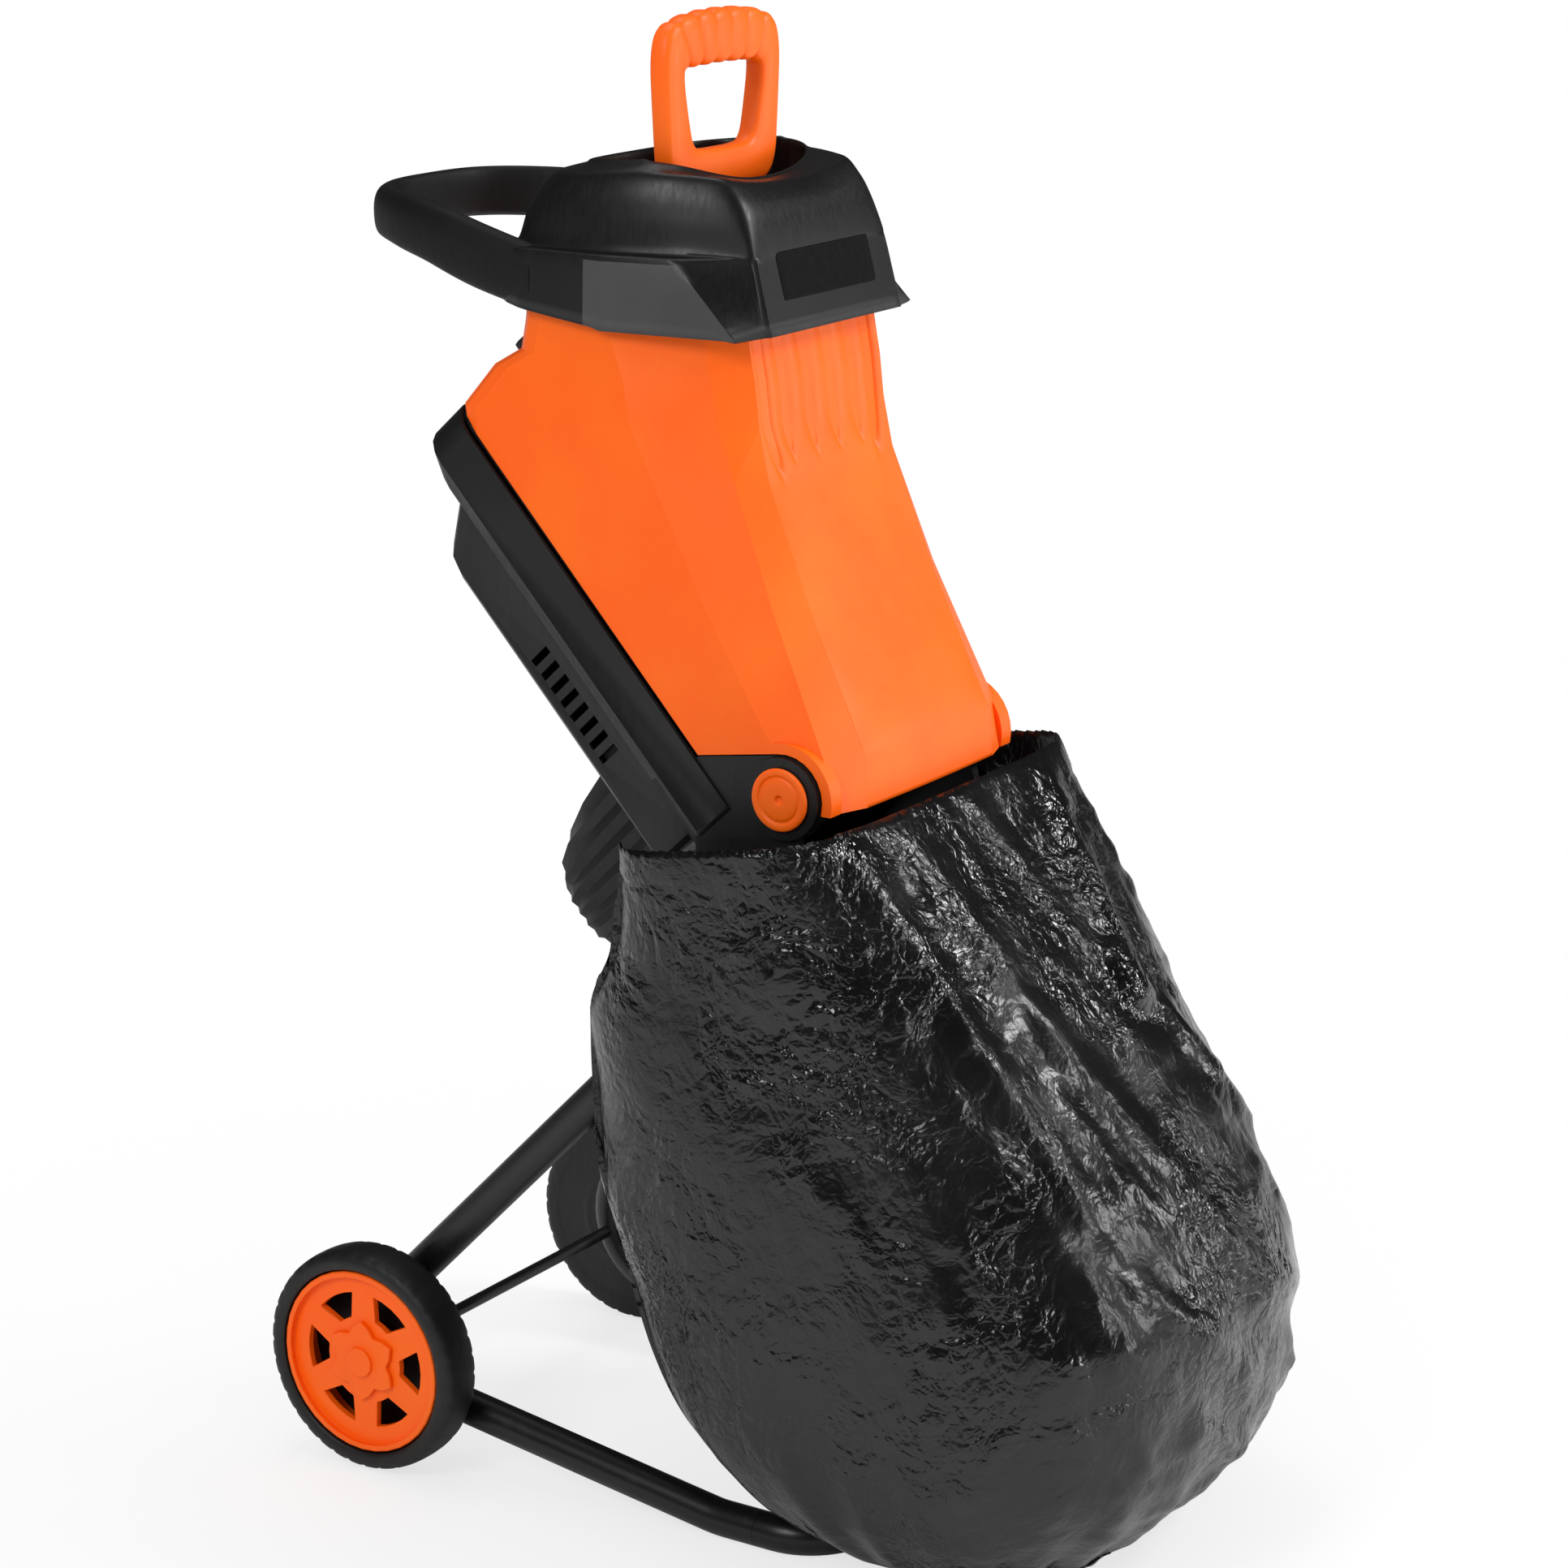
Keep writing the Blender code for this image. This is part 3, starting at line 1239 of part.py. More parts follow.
def build_disc(axis, bolt_bore):
    """The disc with its paddles and slots, two blades with their screws, and the centre bolt."""
    disc_profile = [
        (DISC_RADIUS - 0.001, DISC_TOP),
        (DISC_RADIUS, DISC_TOP - 0.001),
        (DISC_RADIUS, DISC_BOTTOM),
        (bolt_bore, DISC_BOTTOM),
        (bolt_bore, DISC_TOP),
    ]
    disc = turned("blade_disc", disc_profile, axis, "dark_steel", steps=32)
    paddle_low = DISC_BOTTOM - PADDLE_DEPTH
    for index, side in enumerate((-1.0, 1.0)):
        low, high = spans(side, PADDLE_INNER, DISC_RADIUS - 0.004)
        paddle = box_mesh(
            "paddle",
            (low, -PADDLE_THICKNESS / 2.0, paddle_low),
            (high, PADDLE_THICKNESS / 2.0, DISC_BOTTOM + 0.001),
        )
        join(disc, add(f"paddle_{index}", paddle, axis, None))
        edge = -side * (BLADE_WIDTH / 2.0 + 0.004)
        slot_y = sorted((edge - side * 0.004, edge + side * 0.004))
        slot_x = spans(side, BLADE_INNER + 0.003, BLADE_INNER + BLADE_LENGTH - 0.004)
        offset = -side * 0.022
        slot = box_mesh(
            "chip_slot",
            (slot_x[0], slot_y[0] + offset, DISC_BOTTOM - 0.002),
            (slot_x[1], slot_y[1] + offset, DISC_TOP + 0.002),
        )
        cut(disc, add(f"chip_slot_{index}", slot, axis, None))
        blade_x = spans(side, BLADE_INNER, BLADE_INNER + BLADE_LENGTH)
        blade = add(
            f"blade_{index + 1}",
            box_mesh(
                "blade",
                (blade_x[0], -BLADE_WIDTH / 2.0 + offset, DISC_TOP + GAP),
                (blade_x[1], BLADE_WIDTH / 2.0 + offset, DISC_TOP + BLADE_THICKNESS),
            ),
            axis,
            "bright_steel",
        )
        places = [(side * (BLADE_INNER + BLADE_LENGTH * share), offset) for share in (0.25, 0.75)]
        holes = rods_mesh(
            "blade_holes", BLADE_SCREW_HEAD + BORE_CLEARANCE, DISC_TOP, DISC_TOP + 0.01, places
        )
        cut(blade, add(f"blade_holes_{index}", holes, axis, None))
        shanks = rods_mesh(
            "screw_holes", BLADE_SCREW_SHANK + BORE_CLEARANCE, DISC_BOTTOM - 0.002, DISC_TOP + 0.002, places
        )
        cut(disc, add(f"screw_holes_{index}", shanks, axis, None))
        for number, (x, y) in enumerate(places):
            head_top = DISC_TOP + BLADE_THICKNESS
            screw = [
                (0.0, head_top),
                (BLADE_SCREW_HEAD, head_top),
                (BLADE_SCREW_HEAD, DISC_TOP + GAP),
                (BLADE_SCREW_SHANK, DISC_TOP + GAP),
                (BLADE_SCREW_SHANK, DISC_BOTTOM - 0.004),
                (0.0, DISC_BOTTOM - 0.004),
            ]
            turned(
                f"blade_screw_{index + 1}_{number + 1}",
                screw,
                axis,
                "dark_steel",
                (x, y, 0.0),
                steps=12,
                ring=False,
            )
    head_low = DISC_TOP + GAP
    bolt = [
        (0.0, head_low + DISC_BOLT_HEAD_HEIGHT),
        (DISC_BOLT_HEAD - 0.001, head_low + DISC_BOLT_HEAD_HEIGHT),
        (DISC_BOLT_HEAD, head_low + DISC_BOLT_HEAD_HEIGHT - 0.001),
        (DISC_BOLT_HEAD, head_low),
        (DISC_BOLT_SHANK, head_low),
        (DISC_BOLT_SHANK, DISC_BOTTOM - 0.014),
        (0.0, DISC_BOTTOM - 0.014),
    ]
    turned("disc_bolt", bolt, axis, "dark_steel", steps=12, ring=False)


def belt_outline(grow):
    """The line round both pulleys: two arcs and the straight runs between them."""
    large = SPINDLE_PULLEY_RADIUS + grow
    small = MOTOR_PULLEY_RADIUS + grow
    lean = math.degrees(math.asin((large - small) / (DISC_S - MOTOR_S)))
    upper = arc((0.0, DISC_S), large, -lean, 180.0 + lean, 18)
    lower = arc((0.0, MOTOR_S), small, 180.0 + lean, 360.0 - lean, 10)
    return upper + lower


def build_belt(deck, belt_middle):
    """The flat ribbed belt between the motor pulley and the spindle pulley."""
    loops = [belt_outline(GAP + BELT_THICKNESS), belt_outline(GAP)]
    add(
        "drive_belt",
        outline_mesh("drive_belt", loops, BELT_WIDTH),
        deck,
        "black_rubber",
        (0.0, 0.0, belt_middle),
    )


def build_motor(deck, belt_middle):
    """Motor under the drive cover: pulley, armature, bearings, stator, end bracket and ribbed cowl."""
    axis = empty("motor_axis", deck, (0.0, MOTOR_S, 0.0))
    top = COVER_BOTTOM - GAP
    bottom = top - MOTOR_LENGTH
    shaft_seat = MOTOR_SHAFT_RADIUS + BORE_CLEARANCE
    pulley_top = belt_middle + PULLEY_WIDTH / 2.0
    pulley_bottom = belt_middle - PULLEY_WIDTH / 2.0
    pulley = [
        (MOTOR_PULLEY_RADIUS, pulley_top),
        (MOTOR_PULLEY_RADIUS, pulley_bottom),
        (shaft_seat, pulley_bottom),
        (shaft_seat, pulley_top),
    ]
    turned("motor_pulley", pulley, axis, "bright_steel", steps=16)
    upper_bearing_top = top - 0.003
    upper_bearing_low = upper_bearing_top - MOTOR_BEARING_WIDTH
    lower_bearing_top = bottom + 0.002
    lower_bearing_low = lower_bearing_top - MOTOR_BEARING_WIDTH
    fan_top = upper_bearing_low - 0.003
    core_top = fan_top - 0.016
    core_low = core_top - ARMATURE_LENGTH
    commutator_top = core_low - 0.010
    shaft_low = lower_bearing_low - 0.001
    armature = [
        (0.0, pulley_top),
        (MOTOR_SHAFT_RADIUS, pulley_top),
        (MOTOR_SHAFT_RADIUS, fan_top),
        (FAN_RADIUS, fan_top),
        (FAN_RADIUS, fan_top - 0.006),
        (MOTOR_SHAFT_RADIUS, fan_top - 0.006),
        (MOTOR_SHAFT_RADIUS, core_top),
        (ARMATURE_RADIUS, core_top),
        (ARMATURE_RADIUS, core_low),
        (MOTOR_SHAFT_RADIUS, core_low),
        (MOTOR_SHAFT_RADIUS, commutator_top),
        (COMMUTATOR_RADIUS, commutator_top),
        (COMMUTATOR_RADIUS, commutator_top - 0.016),
        (MOTOR_SHAFT_RADIUS, commutator_top - 0.016),
        (MOTOR_SHAFT_RADIUS, shaft_low),
        (0.0, shaft_low),
    ]
    turned("armature", armature, axis, "copper", steps=24, ring=False)
    for name, bearing_top in (("upper", upper_bearing_top), ("lower", lower_bearing_top)):
        bearing = [
            (MOTOR_BEARING_OUTER, bearing_top),
            (MOTOR_BEARING_OUTER, bearing_top - MOTOR_BEARING_WIDTH),
            (shaft_seat, bearing_top - MOTOR_BEARING_WIDTH),
            (shaft_seat, bearing_top),
        ]
        turned(f"motor_bearing_{name}", bearing, axis, "bright_steel", steps=16)
    seat = MOTOR_BEARING_OUTER + BORE_CLEARANCE
    can_inner = MOTOR_RADIUS - MOTOR_WALL
    stator = [
        (seat - 0.003, top),
        (MOTOR_RADIUS, top),
        (MOTOR_RADIUS, bottom),
        (can_inner, bottom),
        (can_inner, core_low),
        (STACK_INNER, core_low),
        (STACK_INNER, core_top),
        (can_inner, core_top),
        (can_inner, upper_bearing_top),
        (seat + 0.003, upper_bearing_top),
        (seat + 0.003, upper_bearing_low),
        (seat, upper_bearing_low),
        (seat, upper_bearing_top + GAP),
        (seat - 0.003, upper_bearing_top + GAP),
    ]
    turned("motor_stator", stator, axis, "dark_steel", steps=16)
    bracket = [
        (can_inner - 0.0003, bottom + 0.004),
        (can_inner - 0.0003, bottom - GAP),
        (seat + 0.003, bottom - GAP),
        (seat + 0.003, lower_bearing_low - 0.002),
        (shaft_seat + 0.001, lower_bearing_low - 0.002),
        (shaft_seat + 0.001, lower_bearing_low - GAP),
        (seat, lower_bearing_low - GAP),
        (seat, bottom + 0.004),
    ]
    turned("motor_end_bracket", bracket, axis, "black_plastic", steps=16)
    build_cowl(deck)


def even_ring(outline, count):
    """An outline walked round at even steps, each point with its outward direction."""
    loop = outline + outline[:1]
    lengths = [math.dist(first, second) for first, second in zip(loop, loop[1:])]
    total = sum(lengths)
    points = []
    for step in range(count):
        place = total * (step + 0.5) / count
        index = 0
        while place > lengths[index]:
            place -= lengths[index]
            index += 1
        along = direction(loop[index], loop[index + 1])
        x = loop[index][0] + along[0] * place
        y = loop[index][1] + along[1] * place
        points.append((x, y, along[1], -along[0]))
    return points


def build_cowl(deck):
    """The ribbed plastic cowl over the motor, with one rib on every second point of its outline."""
    top = COVER_BOTTOM - GAP
    outer = []
    inner = []
    for drop, half, front, rear, corner in COWL_SHAPE:
        groove = COWL_RIB_HEIGHT
        base = rounded_rectangle(
            -half + groove, front + groove, half - groove, rear - groove, (corner - groove,) * 4, 4
        )
        ribs = []
        for index, (x, s, away_x, away_s) in enumerate(even_ring(base, COWL_RIB_COUNT * 2)):
            reach = groove if index % 2 else 0.0
            ribs.append((x + away_x * reach, s + away_s * reach, top - drop))
        outer.append(ribs)
        wall = groove + HOUSING_WALL
        bore = rounded_rectangle(-half + wall, front + wall, half - wall, rear - wall, (corner - wall,) * 4, 3)
        inner.append([(x, s, top - drop) for x, s in bore])
    inner[0] = [(x, s, h + 0.001) for x, s, h in inner[0]]
    inner[-1] = [(x, s, h + HOUSING_WALL) for x, s, h in inner[-1]]
    cowl = add("motor_cowl", loft_mesh("motor_cowl", outer), deck, "black_plastic")
    cut(cowl, add("cowl_hollow", loft_mesh("cowl_hollow", inner), deck, None))


def hopper_ring(level):
    """One section of the hopper, from the middle of its rear round to the middle of its front and back."""
    half = level.half_width
    rear = level.rear_y
    corner = REAR_CORNER
    side = [(0.0, rear)]
    for angle in (0.0, 30.0, 60.0, 90.0):
        across = corner * math.sin(math.radians(angle))
        along = corner * math.cos(math.radians(angle))
        side.append((half - corner + across, rear - corner + along))
    side.append((half, level.shoulder_y))
    side.append(level.chamfer)
    side.append(level.crease)
    side.append((0.045, level.crease[1] - 0.001))
    front = [(0.0, level.crease[1] - 0.0015)]
    mirrored = [(-x, y) for x, y in reversed(side[1:])]
    return [(x, y, level.z) for x, y in side + front + mirrored]


def build_hopper(pivot, hopper_deck):
    """The orange hopper: lofted shell, cut to the deck, with foot, hinge barrel, top plate and flutes."""
    back = (0.0, -HINGE_Y, -HINGE_Z)
    outer = [hopper_ring(level) for level in HOPPER_LEVELS]
    hopper = add("hopper", loft_mesh("hopper", outer), pivot, "orange_plastic", back)
    foot_half = CHEEK_INNER_X - FOOT_GAP - HOPPER_WALL
    inner = []
    for ring in outer:
        ring = inset_ring(ring, HOPPER_WALL)
        if ring[0][2] <= FOOT_TOP_Z:
            ring = [(max(-foot_half, min(foot_half, x)), y, z) for x, y, z in ring]
        inner.append(ring)
    inner[0] = [(x, y, z - 0.01) for x, y, z in inner[0]]
    inner[-1] = [(x, y, HOPPER_TOP_Z - HOPPER_WALL) for x, y, z in inner[-1]]
    cut(hopper, add("hopper_hollow", loft_mesh("hopper_hollow", inner), pivot, None, back))
    for name, side in SIDES:
        ridge_low, ridge_high = spans(side, CHEEK_INNER_X - 0.004, HOPPER_LEVELS[0].half_width)
        ridge = rod_mesh("ear_ridge", EAR_RIDGE_RADIUS, ridge_low, ridge_high, "X", (0.0, 0.0), 32)
        join(hopper, add(f"ear_ridge_{name}", ridge, pivot, None))
        low, high = spans(side, CHEEK_INNER_X - FOOT_GAP, 0.20)
        relief = add(
            f"cheek_relief_{name}",
            outline_mesh("cheek_relief", [cheek_outline(FOOT_GAP)], high - low),
            pivot,
            None,
            ((low + high) / 2.0, -HINGE_Y, -HINGE_Z),
            SIDE_VIEW,
        )
        cut(hopper, relief)
    far = deck_point(0.6, -HOPPER_CUT_DEPTH)
    plane_y = HINGE_Y + (HOPPER_CUT_DEPTH + (FOOT_Z - HINGE_Z) * math.cos(DECK_TILT)) / math.sin(DECK_TILT)
    below = [(-0.60, FOOT_Z), (plane_y, FOOT_Z), far, (far[0], 0.40), (-0.60, 0.40)]
    under = add(
        "hopper_under", outline_mesh("hopper_under", [below], 0.4), pivot, None, back, SIDE_VIEW
    )
    cut(hopper, under)
    barrel_end = CHEEK_INNER_X - FOOT_GAP
    barrel = add(
        "hinge_barrel", rod_mesh("hinge_barrel", BARREL_RADIUS, -barrel_end, barrel_end, "X"), pivot, None
    )
    join(hopper, barrel)
    bore = add(
        "barrel_bore", rod_mesh("barrel_bore", HINGE_PIN_RADIUS + BORE_CLEARANCE, -0.14, 0.14, "X"), pivot, None
    )
    cut(hopper, bore)
    margin = CHUTE_WALL + 0.0015
    opening = box_mesh(
        "top_opening",
        (-CHUTE_TOP_HALF - margin, CHUTE_TOP_FRONT - margin, HOPPER_TOP_Z - 0.01),
        (CHUTE_TOP_HALF + margin, CHUTE_TOP_REAR + margin, HOPPER_TOP_Z + 0.01),
    )
    cut(hopper, add("top_opening", opening, pivot, None, back))
    slot = box_mesh(
        "clamp_slot",
        (-CLAMP_BOLT_RADIUS - CLAMP_SLOT_MARGIN, HOOD_S - 0.02, -SPLIT_DEPTH - 0.01),
        (CLAMP_BOLT_RADIUS + CLAMP_SLOT_MARGIN, HOOD_S + 0.02, CLAMP_H + CLAMP_BOLT_RADIUS + CLAMP_SLOT_MARGIN),
    )
    cut(hopper, add("clamp_slot", slot, hopper_deck, None))
    cut(hopper, add("flutes", flute_mesh(), pivot, None, back))


def flute_mesh():
    """Four shallow upright grooves under the collar, as one cutter that follows the front face."""
    bm = bmesh.new()
    high = HOPPER_LEVELS[-1]
    low = HOPPER_LEVELS[3]
    for index in range(FLUTE_COUNT):
        x = (index - (FLUTE_COUNT - 1) / 2.0) * FLUTE_PITCH
        rows = []
        for z, level in ((FLUTE_BOTTOM_Z, low), (0.945, high)):
            face_y = level.crease[1] - 0.0012
            centre_y = face_y - FLUTE_RADIUS + FLUTE_DEPTH
            points = arc((x, centre_y), FLUTE_RADIUS, 0.0, 330.0, 11)
            rows.append([bm.verts.new((px, py, z)) for px, py in points])
        count = len(rows[0])
        for step in range(count):
            following = (step + 1) % count
            bm.faces.new((rows[0][step], rows[0][following], rows[1][following], rows[1][step]))
        bm.faces.new(rows[0])
        bm.faces.new(rows[1])
    return finish_mesh("flutes", bm)


def build_chute(pivot, hopper_deck):
    """Chamber cover plate, feed chute and counter blade, which all swing with the hopper."""
    back = (0.0, -HINGE_Y, -HINGE_Z)
    rear = HOOD_S - 0.002
    plate_outline = rounded_rectangle(-0.1245, 0.070, 0.1245, rear, (0.004, 0.004, 0.020, 0.020), 3)
    feed_half = CHUTE_FOOT_HALF - CHUTE_WALL
    feed_low = CHUTE_FOOT_S[0] + CHUTE_WALL
    feed_high = CHUTE_FOOT_S[1] - CHUTE_WALL
    feed = [(-feed_half, feed_low), (feed_half, feed_low), (feed_half, feed_high), (-feed_half, feed_high)]
    plate = add(
        "chamber_cover",
        outline_mesh("chamber_cover", [plate_outline, feed], COVER_PLATE),
        hopper_deck,
        "black_plastic",
        (0.0, 0.0, -SPLIT_DEPTH + COVER_PLATE / 2.0),
    )
    notch_half = CLAMP_WASHER_RADIUS + 0.002
    notch = box_mesh(
        "clamp_notch", (-notch_half, HOOD_S - 0.014, -SPLIT_DEPTH - 0.01), (notch_half, HOOD_S + 0.01, 0.0)
    )
    cut(plate, add("clamp_notch", notch, hopper_deck, None))
    foot_h = -HOPPER_CUT_DEPTH
    flange_z = HOPPER_TOP_Z + GAP

    def chute_rings(inset, foot_drop, top_rise):
        half = CHUTE_FOOT_HALF - inset
        front = deck_point(CHUTE_FOOT_S[0] + inset, foot_h - foot_drop)
        rear_point = deck_point(CHUTE_FOOT_S[1] - inset, foot_h - foot_drop)
        foot = [(-half, *front), (half, *front), (half, *rear_point), (-half, *rear_point)]
        top_half = CHUTE_TOP_HALF - inset
        top_z = flange_z + CHUTE_FLANGE + top_rise
        front_y = CHUTE_TOP_FRONT + inset
        rear_y = CHUTE_TOP_REAR - inset
        top = [(-top_half, front_y, top_z), (top_half, front_y, top_z), (top_half, rear_y, top_z)]
        top.append((-top_half, rear_y, top_z))
        return [foot, top]

    chute = add("feed_chute", loft_mesh("feed_chute", chute_rings(0.0, 0.0, 0.0)), pivot, "black_plastic", back)
    flange = box_mesh(
        "chute_flange",
        (-CHUTE_TOP_HALF - CHUTE_FLANGE_MARGIN, CHUTE_TOP_FRONT - CHUTE_FLANGE_MARGIN, flange_z),
        (CHUTE_TOP_HALF + CHUTE_FLANGE_MARGIN, CHUTE_TOP_REAR + CHUTE_FLANGE_MARGIN, flange_z + CHUTE_FLANGE),
    )
    join(chute, add("chute_flange", flange, pivot, None, back))
    bore = loft_mesh("chute_bore", chute_rings(CHUTE_WALL, 0.004, 0.004))
    cut(chute, add("chute_bore", bore, pivot, None, back))
    length, width, thickness = COUNTER_BLADE
    top = -SPLIT_DEPTH - GAP
    add(
        "counter_blade",
        box_mesh(
            "counter_blade",
            (-length / 2.0, feed_low - width, top - thickness),
            (length / 2.0, feed_low, top),
        ),
        hopper_deck,
        "bright_steel",
    )


def collar_ring(z, front_y, front_half, side_y, half, rear_y, corner):
    """One section of the collar: straight front, splayed sides, rounded rear corners."""
    side = [(0.0, rear_y)] + [
        (half - corner + corner * math.sin(math.radians(angle)),
         rear_y - corner + corner * math.cos(math.radians(angle)))
        for angle in (0.0, 22.5, 45.0, 67.5, 90.0)
    ]
    side.append((half, side_y))
    middle_x = (half * 0.45 + front_half * 0.55) + 0.006
    side.append((middle_x, front_y * 0.72 + side_y * 0.28))
    side.append((front_half, front_y + 0.003))
    side.append((front_half - 0.004, front_y))
    mirrored = [(-x, y) for x, y in reversed(side[1:])]
    return [(x, y, z) for x, y in side + [(0.0, front_y)] + mirrored]


def interpolate(table, value):
    """The value of a table of pairs at a place, level beyond its ends."""
    if value <= table[0][0]:
        return table[0][1]
    for first, second in zip(table, table[1:]):
        if value <= second[0]:
            share = (value - first[0]) / (second[0] - first[0])
            return first[1] + (second[1] - first[1]) * share
    return table[-1][1]


def collar_rings(inset):
    """The outer sections of the collar, from the skirt up to the rim of the funnel."""
    rings = []
    for z, front, front_half, side, half, rear, corner, dip in COLLAR_ROWS:
        corner = max(corner, inset + 0.001)
        ring = collar_ring(
            z, front + inset, front_half - inset, side, half - inset, rear - inset, corner - inset
        )
        shaped = []
        for x, y, _ in ring:
            if y < side:
                drop = dip * max(0.0, 1.0 - (x / FUNNEL_LIP_HALF) ** 2)
            else:
                drop = dip * RIM_FALL * (y - side) / (COLLAR_REAR_Y - side)
            shaped.append((x, y, z - drop))
        rings.append(shaped)
    return rings


def loop_rings():
    """Sections of the handle loop along a superellipse, from one side of the collar to the other."""
    rings = []
    count = 22
    centre_y = COLLAR_SIDE_Y
    reach = LOOP_TIP_Y - centre_y
    squareness = 2.0 / LOOP_POWER
    for step in range(count + 1):
        angle = math.pi * step / count
        across = math.cos(angle)
        along = math.sin(angle)
        x = COLLAR_HALF_WIDTH * math.copysign(abs(across) ** squareness, across)
        y = centre_y + reach * abs(along) ** squareness
        lean_x = math.copysign(abs(across) ** (2.0 - squareness), across) / COLLAR_HALF_WIDTH
        lean_y = abs(along) ** (2.0 - squareness) / reach
        normal = Vector((lean_x, lean_y)).normalized()
        low = interpolate(LOOP_UNDERSIDE, y)
        high = interpolate(LOOP_CREST, y)
        soft = 0.005
        profile = (
            (0.0, low + soft),
            (0.0, high - LOOP_SLOPE),
            (LOOP_THICKNESS - soft, high),
            (LOOP_THICKNESS, high - soft),
            (LOOP_THICKNESS, low + soft),
            (LOOP_THICKNESS - soft, low),
            (soft, low),
        )
        rings.append([(x - normal.x * depth, y - normal.y * depth, z) for depth, z in profile])
    return rings


def build_collar(pivot):
    """The black collar: skirt, dome and funnel, with the handle loop behind it."""
    back = (0.0, -HINGE_Y, -HINGE_Z)
    collar = add("collar", loft_mesh("collar", collar_rings(0.0)), pivot, "black_plastic", back)
    rise = 0.0015
    trim = [(y, z + rise) for y, z in LOOP_UNDERSIDE if y < COLLAR_REAR_Y + 0.03]
    trim = [(trim[0][0] - 0.02, trim[0][1] - 0.01)] + trim + [(trim[-1][0], 0.86), (trim[0][0] - 0.02, 0.86)]
    cut(collar, add("skirt_trim", outline_mesh("skirt_trim", [trim], 0.4), pivot, None, back, SIDE_VIEW))
    join(collar, add("handle_loop", loft_mesh("handle_loop", loop_rings()), pivot, None, back))
    foot_z = HOPPER_TOP_Z + GAP + CHUTE_FLANGE + GAP
    cavity = collar_rings(COLLAR_WALL)[:5]
    cavity[0] = [(x, y, z - 0.003) for x, y, z in cavity[0]]
    funnel_wall = COLLAR_WALL

    def funnel(grow, low, high):
        foot = rounded_rectangle(
            -CHUTE_TOP_HALF - 0.006 - grow,
            CHUTE_TOP_FRONT - 0.006 - grow,
            CHUTE_TOP_HALF + 0.006 + grow,
            CHUTE_TOP_REAR + 0.006 + grow,
            (0.006 + grow,) * 4,
            3,
        )
        middle = rounded_rectangle(
            -CHUTE_TOP_HALF - 0.009 - grow, -0.254 - grow, CHUTE_TOP_HALF + 0.009 + grow, -0.136 + grow,
            (0.014 + grow,) * 4, 3,
        )
        mouth = rounded_rectangle(
            -CHUTE_TOP_HALF - 0.010 - grow, -0.244 - grow, CHUTE_TOP_HALF + 0.010 + grow, -0.138 + grow,
            (0.024 + grow,) * 4, 3,
        )
        return [
            [(x, y, low) for x, y in foot],
            [(x, y, 0.985) for x, y in middle],
            [(x, y, high) for x, y in mouth],
        ]

    hollow = add("collar_cavity", loft_mesh("collar_cavity", cavity), pivot, None, back)
    above_rim = COLLAR_ROWS[-1][0] + 0.0055
    body = loft_mesh("funnel_body", funnel(funnel_wall, foot_z, above_rim))
    cut(hollow, add("funnel_body", body, pivot, None, back))
    cut(collar, hollow)
    bore = loft_mesh("funnel_bore", funnel(0.0, foot_z - 0.01, above_rim + 0.001))
    cut(collar, add("funnel_bore", bore, pivot, None, back))


